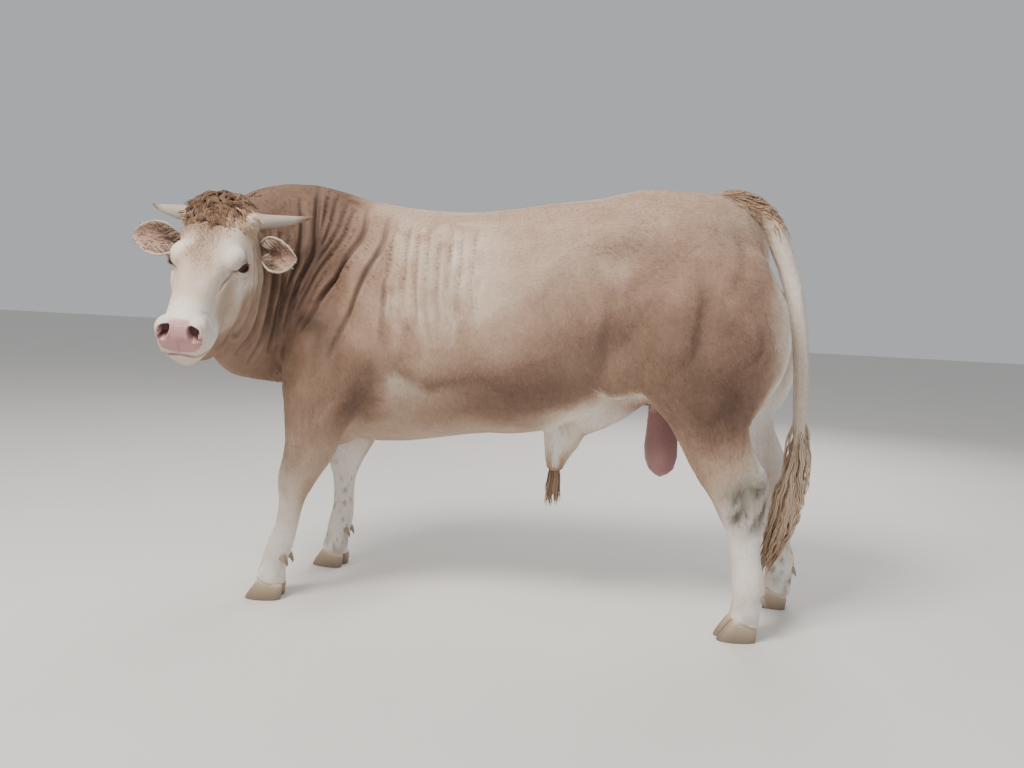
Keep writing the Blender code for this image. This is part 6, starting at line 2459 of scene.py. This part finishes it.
@dataclass
class Eye:
    """An eyeball with its cornea, the moist rims of its lids, and lashes."""

    name: str
    side: int
    rim: float = 0.0019
    upper_lashes: int = 36
    lower_lashes: int = 18

    def place(self, along: Array, height: Array, radius: float) -> Array:
        """Points on a ball round the eye's middle.

        Args:
            along: places along the slit.
            height: places up from it.
            radius: the ball's radius.

        Returns:
            One row for each point, in the body's frame.
        """
        slit, out, up = eye_axes(self.side)
        x, y, z = STANCE.eye
        along, height = np.atleast_1d(along), np.atleast_1d(height)
        depth = np.sqrt(np.maximum(radius**2 - along**2 - height**2, 0))
        local = (
            np.array((x, self.side * y, z))
            + along[:, None] * slit
            + height[:, None] * up
            + depth[:, None] * out
        )
        return STANCE.from_head(local)

    def ball(self) -> Object:
        """The eyeball, with a cornea that stands out of it.

        Returns:
            The ball, which carries the angle from the gaze and the pupil.
        """
        deselect()
        bpy.ops.mesh.primitive_uv_sphere_add(segments=64, ring_count=40, radius=STANCE.eye_radius)
        obj = bpy.context.object
        obj.name = self.name
        slit, out, up = eye_axes(self.side)
        local = points_of(obj)
        axis = unit(np.array((0.06, -0.02, 0.998)))
        angle = np.degrees(np.arccos(np.clip(unit(local) @ axis, -1, 1)))
        bulge = 0.0014 * smoothstep(44, 22, angle)
        local = local + unit(local) * bulge[:, None]
        across = local[:, 0] - axis[0] * (local @ axis)
        pupil = np.hypot(across / 0.0072, local[:, 1] / 0.0036)
        x, y, z = STANCE.eye
        world = np.array((x, self.side * y, z)) + local @ np.array([slit, up, out])
        put_points(obj, STANCE.from_head(world))
        put_attribute(obj, "iris", angle / 60)
        put_attribute(obj, "pupil", np.clip(pupil / 2, 0, 1))
        smooth_faces(obj)
        make_active(obj)
        bpy.ops.object.mode_set(mode="EDIT")
        bpy.ops.mesh.select_all(action="SELECT")
        bpy.ops.mesh.normals_make_consistent(inside=False)
        bpy.ops.object.mode_set(mode="OBJECT")
        return obj

    def lids(self) -> Object:
        """The rims of both lids as one moist ring, with the knob in the inner corner.

        Returns:
            The ring.
        """
        turns = np.linspace(0, 2 * math.pi, 56, endpoint=False)
        along = (LID_HALF + 0.0002) * np.cos(turns)
        height = np.sign(np.sin(turns)) * lid_height(along, np.sin(turns))
        middle = self.place(along, height, STANCE.eye_radius + 0.0026)
        eye = self.place(np.zeros(1), np.zeros(1), 0.0)[0]
        bm = bmesh.new()
        rings = []
        for i, point in enumerate(middle):
            ahead = unit(middle[(i + 1) % len(middle)] - middle[i - 1])
            out = unit(point - eye)
            side = np.cross(ahead, out)
            radius = self.rim * (1.25 if height[i] > 0 else 1.0)
            angles = np.linspace(0, 2 * math.pi, 10, endpoint=False)
            rings.append(
                [point + side * radius * math.cos(a) + out * 1.2 * radius * math.sin(a) for a in angles]
            )
        add_loft(bm, rings + [rings[0]], closed=False)
        bmesh.ops.remove_doubles(bm, verts=bm.verts, dist=1e-6)
        corner = self.place(np.array([0.89 * LID_HALF]), np.array([-0.0010]), STANCE.eye_radius + 0.0004)[0]
        bmesh.ops.create_icosphere(bm, subdivisions=3, radius=0.0026, matrix=Matrix.Translation(corner))
        bmesh.ops.recalc_face_normals(bm, faces=bm.faces)
        obj = from_bmesh(bm, self.name.replace("eye", "lids"))
        smooth_faces(obj)
        return obj

    def lashes(self, carrier: Carrier, rng: np.random.Generator) -> Object:
        """Lashes along the upper lid, and shorter ones below.

        Args:
            carrier: the surface that the hair grows on.
            rng: the seeded draw.

        Returns:
            The piece.
        """
        slit, out, up = (STANCE.turn() @ v for v in eye_axes(self.side))
        locks = LockSet()
        t = np.linspace(0, 1, 6)[:, None]
        for i in range(self.upper_lashes + self.lower_lashes):
            upper = i < self.upper_lashes
            number, count = (i, self.upper_lashes) if upper else (i - self.upper_lashes, self.lower_lashes)
            share = (number + 0.5) / count
            along = np.array([0.93 * LID_HALF * (1 - 2 * share)])
            sign = 1.0 if upper else -1.0
            height = sign * lid_height(along, np.array([sign]))
            root = self.place(along, height, STANCE.eye_radius + 0.0030)[0]
            length = (0.0135 if upper else 0.007) * rng.uniform(0.8, 1.15)
            heading = unit(out * 0.9 + up * sign * 0.35 + slit * (0.5 - share) * 1.1 + rng.normal(0, 0.07, 3))
            path = (
                root
                + heading * length * t
                - up * sign * 0.0020 * np.sin(math.pi * t)
                - np.array((0, 0, 0.0025)) * t**2
            )
            locks.add(path, slit, 0.0011, 0.0007, tone=rng.uniform(0.75, 1.0), shade=-1.5)
        return locks.build(f"coat_{self.name}_lashes", carrier)


@dataclass
class Horn:
    """A short horn that leaves the poll sideways and sweeps back, with growth rings at its root."""

    name: str
    side: int
    tip: float  # how far out of the head's middle it ends
    root: float = 0.088  # how far out it leaves the hair
    rings: int = 60
    sides: int = 36

    def build(self) -> Object:
        """Models the horn as a loft along its line.

        Returns:
            The horn.
        """
        side = self.side
        rows = np.array([
            (0.036, 0.078, -0.012, 0.0270, 0.0280),
            (0.034, 0.088, -0.014, 0.0262, 0.0272),
            (0.027, 0.125, -0.020 + side * 0.002, 0.0242, 0.0255),
            (0.010, 0.162, -0.028 + side * 0.006, 0.0200, 0.0215),
            (-0.012, 0.198, -0.037 + side * 0.010, 0.0144, 0.0157),
            (-0.032, 0.229, -0.043 + side * 0.013, 0.0078, 0.0088),
            (-0.043, 0.244, -0.045 + side * 0.014, 0.0026, 0.0032),
            (-0.0455, 0.2475, -0.0452 + side * 0.014, 0.0006, 0.0007),
        ])
        rows[:, 1] = side * (self.root + (rows[:, 1] - self.root) * (self.tip - self.root) / 0.158)
        knots = np.concatenate([[0], np.cumsum(np.linalg.norm(np.diff(rows[:, :3], axis=0), axis=1))])
        places = np.linspace(0, knots[-1], self.rings)
        bm = bmesh.new()
        rings, share_of = [], []
        for place, (x, y, z, high, wide) in zip(places, spline(knots, rows, places)):
            share = place / knots[-1]
            ringing = 1 + 0.022 * math.sin(place / 0.0052) * max(0.0, 1 - 2.2 * share)
            ring = []
            for i in range(self.sides):
                a = 2 * math.pi * i / self.sides
                rough = ringing * (1 + 0.008 * math.sin(7 * a + 3 * share) + 0.006 * math.sin(13 * a))
                local = np.array((x + wide * rough * math.cos(a), y, z + high * rough * math.sin(a)))
                ring.append(STANCE.from_head(local[None])[0])
                share_of.append(share)
            rings.append(ring)
        add_loft(bm, rings)
        obj = from_bmesh(bm, self.name)
        put_attribute(obj, "along", np.array(share_of))
        smooth_faces(obj, walls_only=True)
        return obj


@dataclass
class Hoof:
    """A cloven hoof: two claws on flat soles, and two dew claws behind the fetlock."""

    leg: Leg
    half_length: float = 0.064
    half_width: float = 0.0255
    dew_height: float = 0.158
    dew_off: float = 0.026
    points: int = 40

    def outward(self, which: Claw) -> int:
        """The side of the foot that a claw stands on: 1 for +Y, -1 for -Y."""
        return self.leg.side if which is Claw.OUTER else -self.leg.side

    def claw(self, which: Claw) -> Object:
        """One claw, with growth lines round its wall.

        Args:
            which: the outer or the inner one.

        Returns:
            The claw.
        """
        levels = np.array([
            (0.00, 0.975, 0.96, 0.000),
            (0.02, 0.995, 0.99, 0.000),
            (0.08, 0.985, 0.995, 0.002),
            (0.25, 0.93, 0.98, 0.006),
            (0.60, 0.80, 0.93, 0.016),
            (0.90, 0.69, 0.88, 0.024),
            (1.00, 0.64, 0.84, 0.026),
            (1.12, 0.50, 0.66, 0.026),
        ])
        heights = np.concatenate([[0.0, 0.02], np.linspace(0.06, 1.0, 26), [1.06, 1.12]])
        x, y = self.leg.foot
        place = Matrix.Translation((x, y, 0)) @ Matrix.Rotation(self.leg.turn(), 4, "Z")
        bm = bmesh.new()
        rings, along = [], []
        for share, (_, long, wide, back) in zip(heights, spline(levels[:, 0], levels, heights)):
            line = 1 + 0.006 * math.sin(share * 34) * (0.06 < share < 1.0)
            ring = []
            for i in range(self.points):
                t = 2 * math.pi * i / self.points
                u = (
                    self.half_length * long * line * math.copysign(abs(math.cos(t)) ** 0.85, math.cos(t))
                    - back
                )
                v = self.half_width * wide * line * math.copysign(abs(math.sin(t)) ** 0.75, math.sin(t))
                v += 0.0295 - 0.0085 * max(0.0, u / self.half_length) ** 2
                height = share * (STANCE.coronet - 0.012 + STANCE.coronet_slope * (u + 0.02))
                ring.append(place @ Vector((-u, self.outward(which) * v, height)))
                along.append(share)
            rings.append(ring)
        add_loft(bm, rings)
        obj = from_bmesh(bm, f"{self.leg.name}_hoof_{which.value}")
        put_attribute(obj, "along", np.array(along))
        smooth_faces(obj, walls_only=True)
        return obj

    def dew_claw(self, which: Claw) -> Object:
        """One dew claw: a short blunt cone that points down and back.

        Args:
            which: the outer or the inner one.

        Returns:
            The dew claw.
        """
        rows = np.array([
            (-0.008, -0.004, 0.0125),
            (0.0, 0.0, 0.0130),
            (0.018, 0.006, 0.0138),
            (0.026, 0.016, 0.0118),
            (0.030, 0.027, 0.0075),
            (0.0305, 0.032, 0.0030),
        ])
        places = np.linspace(0, 1, 16)
        bm = bmesh.new()
        rings, along = [], []
        for place, (back, drop, radius) in zip(places, spline(np.linspace(0, 1, len(rows)), rows, places)):
            angles = np.linspace(0, 2 * math.pi, 20, endpoint=False)
            x, y = self.leg.dew + back, self.leg.foot[1] + self.outward(which) * self.dew_off
            rings.append(
                [(x, y + radius * math.cos(a), self.dew_height - drop + radius * math.sin(a)) for a in angles]
            )
            along += [1 - place] * 20
        add_loft(bm, rings)
        obj = from_bmesh(bm, f"{self.leg.name}_dew_{which.value}")
        put_attribute(obj, "along", np.array(along))
        smooth_faces(obj, walls_only=True)
        return obj


def connect(tree: NodeTree, node: Node, inputs: dict[int | str, Any]) -> None:
    """Gives a node's inputs their numbers, colours or links.

    Args:
        tree: the material's node tree.
        node: the node that takes them.
        inputs: numbers, colours or other nodes' outputs, by the input's name or number.
    """
    for key, value in inputs.items():
        if isinstance(value, NodeSocket):
            tree.links.new(value, node.inputs[key])
        else:
            node.inputs[key].default_value = value


def add_node(
    tree: NodeTree, kind: str, inputs: dict[int | str, Any] | None = None, out: int | str = 0, **settings: Any
) -> NodeSocket:
    """Adds a node with its settings and links.

    Args:
        tree: the material's node tree.
        kind: the node's type, without its ShaderNode.
        inputs: what connect gives the node.
        out: the wanted output, by name or number.
        settings: attributes of the node. A ramp's stops are rows of a place and a hex colour.

    Returns:
        The wanted output.
    """
    node = tree.nodes.new(f"ShaderNode{kind}")
    for number, (place, colour) in enumerate(settings.pop("stops", ())):
        elements = node.color_ramp.elements
        element = elements[number] if number < 2 else elements.new(place)
        element.position, element.color = place, linear(colour)
    for key, value in settings.items():
        setattr(node, key, value)
    connect(tree, node, inputs or {})
    return node.outputs[out]


def new_material(name: str) -> tuple[Material, NodeTree, Node]:
    """A new material.

    Args:
        name: what it is called.

    Returns:
        The material, its node tree and its shader.
    """
    material = bpy.data.materials.new(name)
    material.use_nodes = True
    return material, material.node_tree, material.node_tree.nodes["Principled BSDF"]


# Rows of tones from cream to dark brown. Long hair is more golden than the short coat.
Stops = tuple[tuple[float, str], ...]
SHORT_TONES: Stops = (
    (0.00, "EEE9E3"),
    (0.14, "E2D7CB"),
    (0.28, "D0BDAA"),
    (0.42, "BCA591"),
    (0.54, "A78B76"),
    (0.68, "8A6E5C"),
    (0.84, "675042"),
    (1.00, "44362E"),
)
LONG_TONES: Stops = (
    (0.00, "EEE7DE"),
    (0.14, "E3D6C5"),
    (0.28, "D3BDA4"),
    (0.42, "BFA388"),
    (0.54, "A8896D"),
    (0.68, "8B6C55"),
    (0.84, "684E3E"),
    (1.00, "45352C"),
)


@dataclass(frozen=True)
class CoatFinish:
    """Cattle hair over skin: grown, licked flat and half matt, so it has streaks and no hard shine.

    The eye sees cream to red brown hair that changes from tuft to tuft, and damp pink skin where none grows.
    """

    name: str
    tones: Stops = SHORT_TONES
    pink: str = "C99896"
    dark_pink: str = "8E6767"
    freckle: str = "5A3A34"
    soil: str = "5A5444"
    roughness: float = 0.62
    is_hair: bool = False
    relief: float = 0.0022

    def make(self) -> Material:
        """Builds the material.

        Returns:
            The material, which reads what the markings wrote on the mesh.
        """
        material, tree, shader = new_material(self.name)
        add = partial(add_node, tree)
        names = ("tone", "pink", "soil", "fold", "shade")
        tone, pink, soil, fold, shade = (add("Attribute", out="Fac", attribute_name=name) for name in names)
        place = add("TexCoord", out="Object")
        # Hair that lies back and down the flank: streaks about 3 mm across and 25 mm long
        turned = add(
            "Mapping", {"Vector": place, "Rotation": (0, math.radians(40), 0), "Scale": (45, 330, 330)}
        )
        streak = add("TexNoise", {"Vector": turned, "Scale": 1.0, "Detail": 3.0, "Roughness": 0.6})
        # Cloudy change of tone over a hand's breadth, and clumps of about 20 mm
        cloud = add("TexNoise", {"Vector": place, "Scale": 7.0, "Detail": 4.0, "Roughness": 0.55})
        clump = add("TexNoise", {"Vector": place, "Scale": 48.0, "Detail": 3.0, "Roughness": 0.6})
        shifted = tone
        for pattern, amount in ((cloud, 0.16), (clump, 0.11), (streak, 0.10)):
            centred = add("Math", {0: pattern, 1: 0.5}, operation="SUBTRACT")
            shifted = add("Math", {0: centred, 1: amount, 2: shifted}, operation="MULTIPLY_ADD")
        colour = add("ValToRGB", {0: shifted}, stops=self.tones)
        # Dark freckles of 2 to 4 mm on the nose pad
        spots = add("TexVoronoi", {"Vector": place, "Scale": 95.0, "Randomness": 1.0}, "Distance")
        rare = add("TexNoise", {"Vector": place, "Scale": 60.0, "Detail": 1.0})
        dots = add("Math", {0: spots, 1: 0.16}, operation="LESS_THAN")
        rare = add("Math", {0: rare, 1: 0.56}, operation="GREATER_THAN")
        dots = add("Math", {0: dots, 1: rare}, operation="MULTIPLY")
        dots = add("Math", {0: dots, 1: 0.7}, operation="MULTIPLY")
        pinks = {0: tone, 6: linear(self.pink), 7: linear(self.dark_pink)}
        blush = add("Mix", pinks, 2, data_type="RGBA")
        blush = add("Mix", {0: dots, 6: blush, 7: linear(self.freckle)}, 2, data_type="RGBA")
        colour = add("Mix", {0: pink, 6: colour, 7: blush}, 2, data_type="RGBA")
        colour = add("Mix", {0: soil, 6: colour, 7: linear(self.soil)}, 2, data_type="RGBA")
        # Light comes and goes from tuft to tuft by the shade values, and painted shade darkens the folds,
        # nostrils, lid openings and ear cups by the fold values
        light = add("Math", {0: shade, 1: 0.075, 2: 1.0}, operation="MULTIPLY_ADD")
        painted_fold_shade = add("Math", {0: fold, 1: -0.78, 2: 1.0}, operation="MULTIPLY_ADD")
        light = add("Math", {0: light, 1: painted_fold_shade}, operation="MULTIPLY")
        if not self.is_hair:
            streaked = add("Math", {0: streak, 1: 0.24, 2: 0.80}, operation="MULTIPLY_ADD")
            light = add("Math", {0: light, 1: streaked}, operation="MULTIPLY")
        grey = add("CombineColor", {0: light, 1: light, 2: light})
        colour = add("Mix", {0: 1.0, 6: colour, 7: grey}, 2, data_type="RGBA", blend_type="MULTIPLY")
        rough = add("Math", {0: pink, 1: -0.28, 2: self.roughness}, operation="MULTIPLY_ADD")
        connect(tree, shader, {"Base Color": colour, "Roughness": rough, "Sheen Weight": 0.06})
        connect(tree, shader, {"Sheen Roughness": 0.4, "Specular IOR Level": 0.22})
        if not self.is_hair:
            # Hair relief under a millimetre, and cobbles of 3 mm on the nose pad
            cobbles = {"Vector": place, "Scale": 260.0, "Smoothness": 0.4}
            cobble = add("TexVoronoi", cobbles, "Distance", feature="SMOOTH_F1")
            half = add("Math", {0: clump, 1: 0.5}, operation="MULTIPLY")
            relief = add("Math", {0: streak, 1: 0.9, 2: half}, operation="MULTIPLY_ADD")
            height = add("Mix", {0: pink, 2: relief, 3: cobble}, data_type="FLOAT")
            bump = add("Bump", {"Strength": 0.55, "Distance": self.relief, "Height": height})
            connect(tree, shader, {"Normal": bump})
        return material


# From the root of a horn to its tip, and from the sole of a hoof to its coronet
HORN_TONES: Stops = ((0.0, "7C7065"), (0.25, "A79C90"), (0.72, "AFA394"), (0.90, "83705C"), (1.0, "4C3F35"))
HOOF_TONES: Stops = ((0.0, "6E5E4E"), (0.35, "8A7762"), (0.8, "A8957C"), (1.0, "C4B39C"))


@dataclass(frozen=True)
class HornFinish:
    """Horn and hoof: keratin, grown in rings and polished by wear, pale and with a soft shine."""

    name: str
    stops: Stops
    roughness: float = 0.42
    fibre_scale: float = 300.0
    fibre: str = "8C7A64"

    def make(self) -> Material:
        """Builds the material.

        Returns:
            The material, which reads how far along its growth each place lies.
        """
        material, tree, shader = new_material(self.name)
        add = partial(add_node, tree)
        place = add("TexCoord", out="Object")
        along = add("Attribute", out="Fac", attribute_name="along")
        cloud = add("TexNoise", {"Vector": place, "Scale": 38.0, "Detail": 5.0, "Roughness": 0.65})
        # Fibres about 1 mm across, drawn out along the growth
        grain = {"Vector": place, "W": along, "Scale": self.fibre_scale, "Detail": 2.0}
        fibre = add("TexNoise", grain, noise_dimensions="4D")
        centred = add("Math", {0: cloud, 1: 0.5}, operation="SUBTRACT")
        shifted = add("Math", {0: centred, 1: 0.28, 2: along}, operation="MULTIPLY_ADD")
        colour = add("ValToRGB", {0: shifted}, stops=self.stops)
        share = add("Math", {0: fibre, 1: 0.25}, operation="MULTIPLY")
        colour = add("Mix", {0: share, 6: colour, 7: linear(self.fibre)}, 2, data_type="RGBA")
        # Growth lines about 4 mm apart
        ahead = add("CombineXYZ", {"X": along})
        lines = add(
            "TexWave", {"Vector": ahead, "Scale": 14.0, "Distortion": 0.0}, "Fac", bands_direction="X"
        )
        height = add("Math", {0: fibre, 1: 0.5, 2: lines}, operation="MULTIPLY_ADD")
        bump = add("Bump", {"Strength": 0.30, "Distance": 0.0006, "Height": height})
        connect(
            tree, shader, {"Base Color": colour, "Roughness": self.roughness, "IOR": 1.54, "Normal": bump}
        )
        connect(tree, shader, {"Coat Weight": 0.12, "Coat Roughness": 0.25})
        return material


@dataclass(frozen=True)
class EyeFinish:
    """A wet cow's eye: a dark brown iris with a level pupil under a clear cornea, and a tinted white."""

    name: str = "wet_eye"
    browns: tuple[str, str] = ("1E110B", "3A2114")
    pupil: str = "07060A"
    whites: tuple[str, str] = ("9A7F72", "C2AEA2")

    def make(self) -> Material:
        """Builds the material.

        Returns:
            The material, which reads the angle from the gaze and the pupil from the mesh.
        """
        material, tree, shader = new_material(self.name)
        add = partial(add_node, tree)
        place = add("TexCoord", out="Object")
        iris, pupil = (add("Attribute", out="Fac", attribute_name=name) for name in ("iris", "pupil"))
        threads = add("TexNoise", {"Vector": place, "Scale": 900.0, "Detail": 3.0})
        brown, white = (
            add("Mix", {0: threads, 6: linear(dark), 7: linear(light)}, 2, data_type="RGBA")
            for dark, light in (self.browns, self.whites)
        )
        inside = add("Math", {0: pupil, 1: 0.5}, operation="LESS_THAN")
        brown = add("Mix", {0: inside, 6: brown, 7: linear(self.pupil)}, 2, data_type="RGBA")
        edge = add("MapRange", {"Value": iris, "From Min": 0.66, "From Max": 0.76})
        colour = add("Mix", {0: edge, 6: brown, 7: white}, 2, data_type="RGBA")
        connect(
            tree, shader, {"Base Color": colour, "Roughness": 0.05, "IOR": 1.376, "Specular IOR Level": 0.4}
        )
        return material


@dataclass(frozen=True)
class MoistSkinFinish:
    """The hairless rim of the lids: dark pink skin that tears keep moist, so it shines a little."""

    name: str = "lid_skin"
    stops: Stops = ((0.30, "2E1C18"), (0.52, "4A2E28"), (0.75, "6E4A42"))

    def make(self) -> Material:
        """Builds the material.

        Returns:
            The material.
        """
        material, tree, shader = new_material(self.name)
        place = add_node(tree, "TexCoord", out="Object")
        # Blotches of about 4 mm
        cloud = add_node(tree, "TexNoise", {"Vector": place, "Scale": 260.0, "Detail": 4.0})
        colour = add_node(tree, "ValToRGB", {0: cloud}, stops=self.stops)
        bump = add_node(tree, "Bump", {"Strength": 0.25, "Distance": 0.0005, "Height": cloud})
        connect(tree, shader, {"Base Color": colour, "Roughness": 0.28, "Normal": bump})
        return material


@dataclass(frozen=True)
class FloorFinish:
    """A plain pale studio floor: rolled matt paint with the faintest mottle."""

    name: str = "studio_floor"
    paints: tuple[str, str] = ("D6D4D0", "DDDBD7")

    def make(self) -> Material:
        """Builds the material.

        Returns:
            The material.
        """
        material, tree, shader = new_material(self.name)
        place = add_node(tree, "TexCoord", out="Object")
        cloud = add_node(tree, "TexNoise", {"Vector": place, "Scale": 1.6, "Detail": 3.0})
        paints = {0: cloud, 6: linear(self.paints[0]), 7: linear(self.paints[1])}
        colour = add_node(tree, "Mix", paints, 2, data_type="RGBA")
        connect(tree, shader, {"Base Color": colour, "Roughness": 0.85})
        return material


@dataclass
class Studio:
    """The plain studio: floor, soft lights and the camera at the photograph's place."""

    focal: float = 828.0  # pixels
    sensor: float = 36.0
    eye: Vec3 = (0.41496, -2.98459, 1.067)
    yaw: float = math.radians(7.0)
    pitch: float = math.radians(5.1)
    roll: float = math.radians(2.84)

    def camera(self) -> None:
        """Sets the camera where the photograph was taken from."""
        level = math.cos(self.pitch)
        ahead = Vector((-math.sin(self.yaw) * level, math.cos(self.yaw) * level, -math.sin(self.pitch)))
        right = Vector((math.cos(self.yaw), math.sin(self.yaw), 0))
        up = right.cross(ahead)
        across = right * math.cos(self.roll) + up * math.sin(self.roll)
        above = up * math.cos(self.roll) - right * math.sin(self.roll)
        data = bpy.data.cameras.new("camera")
        data.sensor_width = self.sensor
        data.lens = self.focal / IMAGE_SIZE[0] * self.sensor
        camera = bpy.data.objects.new("camera", data)
        bpy.context.scene.collection.objects.link(camera)
        turn = Matrix((across, above, -ahead)).transposed().to_4x4()
        camera.matrix_world = Matrix.Translation(Vector(self.eye) + STANCE.shift()) @ turn
        bpy.context.scene.camera = camera

    def light(self, name: str, place: Vec3, power: float, size: float, colour: str) -> None:
        """A square soft light that faces the bull.

        Args:
            name: what it is called.
            place: where it stands.
            power: watts.
            size: width of its square.
            colour: sRGB hex.
        """
        data = bpy.data.lights.new(name, "AREA")
        data.energy = power
        data.size = size
        data.color = linear(colour)[:3]
        lamp = bpy.data.objects.new(name, data)
        bpy.context.scene.collection.objects.link(lamp)
        lamp.location = place
        lamp.rotation_euler = (Vector((0, 0, 0.9)) - Vector(place)).to_track_quat("-Z", "Y").to_euler()

    def build(self) -> None:
        """Sets up the floor, the lights, the sky and the camera."""
        deselect()
        bpy.ops.mesh.primitive_plane_add(size=60)
        floor = bpy.context.object
        floor.name = "floor"
        set_material(floor, FloorFinish().make())
        self.light("key", (-1.9, -2.9, 5.2), 470, 1.8, "FFF8F0")
        self.light("fill", (3.6, -4.2, 2.2), 55, 3.0, "EEF3FF")
        self.light("back", (1.5, 4.5, 3.8), 180, 3.0, "FFFAF4")
        world = bpy.data.worlds.new("studio")
        world.use_nodes = True
        connect(
            world.node_tree, world.node_tree.nodes["Background"],
            {"Color": linear("E9EBEE"), "Strength": 0.58}
        )
        bpy.context.scene.world = world
        self.camera()


class Bull:
    """The whole animal: builds each part, dresses it and hands it to the frame."""

    def __init__(self) -> None:
        """Makes the finishes and the seeded draw."""
        self.rng = np.random.default_rng(SEED)
        self.markings = Markings()
        self.skin_coat = CoatFinish(name="cattle_skin_with_short_hair").make()
        self.hair_coat = CoatFinish(name="cattle_hair", is_hair=True, roughness=0.58).make()
        self.long_coat = CoatFinish("cattle_long_hair", LONG_TONES, is_hair=True, roughness=0.52).make()
        self.horn = HornFinish("horn_keratin", HORN_TONES).make()
        self.hoof = HornFinish("hoof_keratin", HOOF_TONES, 0.5).make()
        self.eye = EyeFinish().make()
        self.lid = MoistSkinFinish().make()
        self.count = 0

    def hand_over(self, obj: Object, material: Material, slot: str, *nodes: str) -> None:
        """Args:
            obj: the piece, in the frame of the sizes.
            material: its finish.
            slot: the record's slot for its finish; not used.
            nodes: the CAD nodes that it stands for.
        """
        set_material(obj, material)
        obj.data.transform(Matrix.Translation(STANCE.shift()))
        obj.data.update()
        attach(obj, "root")
        if nodes:
            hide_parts(*nodes)
        faces = count_triangles(obj)
        self.count += faces
        LOG.info("%s: %d triangles", obj.name, faces)

    def build(self) -> None:
        """Builds every piece in order."""
        skin = Skin().obj
        self.markings.dress(skin)
        carrier = Carrier(skin, self.markings)
        LOG.info("carrier ready")
        self.build_long_hair(carrier)
        self.build_short_coat(carrier)
        self.build_head_pieces(carrier)
        for leg in LEGS:
            hoof = Hoof(leg)
            for which in Claw:
                self.hand_over(hoof.claw(which), self.hoof, "hoof_horn", f"{leg.name}_claw_{which.value}")
                self.hand_over(
                    hoof.dew_claw(which), self.hoof, "hoof_horn", f"{leg.name}_dewclaw_{which.value}"
                )
        flesh = ["head", "neck", "torso", "hindquarters", "tail", "scrotum", "sheath"]
        flesh += [f"{leg.name}_{part}" for leg in LEGS for part in ("leg", "shank")]
        self.hand_over(skin, self.skin_coat, "body_coat", *flesh)
        LOG.info("whole bull: %d triangles", self.count)

    def build_long_hair(self, carrier: Carrier) -> None:
        """Curls, switch and tufts.

        Args:
            carrier: the surface that the hair grows on.
        """
        hair = LongHair(carrier, self.rng)
        self.hand_over(hair.poll(), self.long_coat, "poll_curls", "poll_hair")
        self.hand_over(hair.forehead(), self.hair_coat, "poll_curls")
        self.hand_over(hair.tail_head(), self.long_coat, "body_coat")
        self.hand_over(hair.switch(), self.long_coat, "switch_hair", "tail_switch")
        self.hand_over(hair.sheath(), self.long_coat, "switch_hair", "sheath_hair")

    def build_short_coat(self, carrier: Carrier) -> None:
        """Short tufts over body, head and legs.

        Args:
            carrier: the surface that the hair grows on.
        """
        coat = ShortCoat(carrier, self.rng)
        points = carrier.points
        head = STANCE.head_share(points)
        haired = (1 - np.clip(carrier.values["bare"], 0, 1)) * smoothstep(0.42, 0.10, carrier.values["fold"])
        legs = smoothstep(0.62, 0.50, points[:, 2]) * (1 - head)
        body = haired * (1 - head) * (1 - legs)
        for piece in coat.grow("coat_body", body, 112000):
            self.hand_over(piece, self.hair_coat, "body_coat")
        for piece in coat.grow("coat_legs", haired * legs, 28000, width=0.0034, lift=0.0007):
            self.hand_over(piece, self.hair_coat, "leg_coat")
        for piece in coat.grow("coat_head", haired * head, 36000, width=0.0028, lift=0.0005):
            self.hand_over(piece, self.hair_coat, "body_coat")

    def build_head_pieces(self, carrier: Carrier) -> None:
        """Ears, eyes and horns.

        Args:
            carrier: the surface that the hair grows on.
        """
        ears = (
            Ear("ear_left_leaf", 1, (0.60, 0.71, 0.39), (0.62, -0.70, 0.33), -0.106),
            Ear("ear_right_leaf", -1, (-0.20, -0.96, -0.10), (0.66, -0.22, 0.72), -0.120),
        )
        for ear in ears:
            leaf = ear.build()
            ear_carrier = Carrier(leaf, EarMarkings(ear))
            node = ear.name.replace("_leaf", "")
            coat = ShortCoat(ear_carrier, self.rng)
            bare = np.clip(ear_carrier.values["bare"], 0, 1)
            for piece in coat.grow(f"coat_{node}", 1.05 - bare, 3600, width=0.0030, lift=0.0010):
                self.hand_over(piece, self.hair_coat, "ear_coat")
            self.hand_over(ear.long_hairs(ear_carrier, self.rng), self.hair_coat, "ear_coat")
            self.hand_over(leaf, self.skin_coat, "ear_coat", node)
        for side, which in zip(SIDES, ("left", "right")):
            eye = Eye(f"eye_{which}_ball", side)
            self.hand_over(eye.lids(), self.lid, "body_coat")
            self.hand_over(eye.lashes(carrier, self.rng), self.hair_coat, "body_coat")
            self.hand_over(eye.ball(), self.eye, "eye_surface", f"eye_{which}")
            horn = Horn(f"horn_{which}_cone", side, tip=0.269 if side > 0 else 0.248)
            self.hand_over(horn.build(), self.horn, "horn_keratin", f"horn_{which}")


def main() -> None:
    """Builds the bull and its studio."""
    logging.basicConfig(level=logging.INFO, format="%(relativeCreated)d %(message)s")
    bull = Bull()
    bull.build()
    Studio().build()


if __name__ == "__main__":
    main()
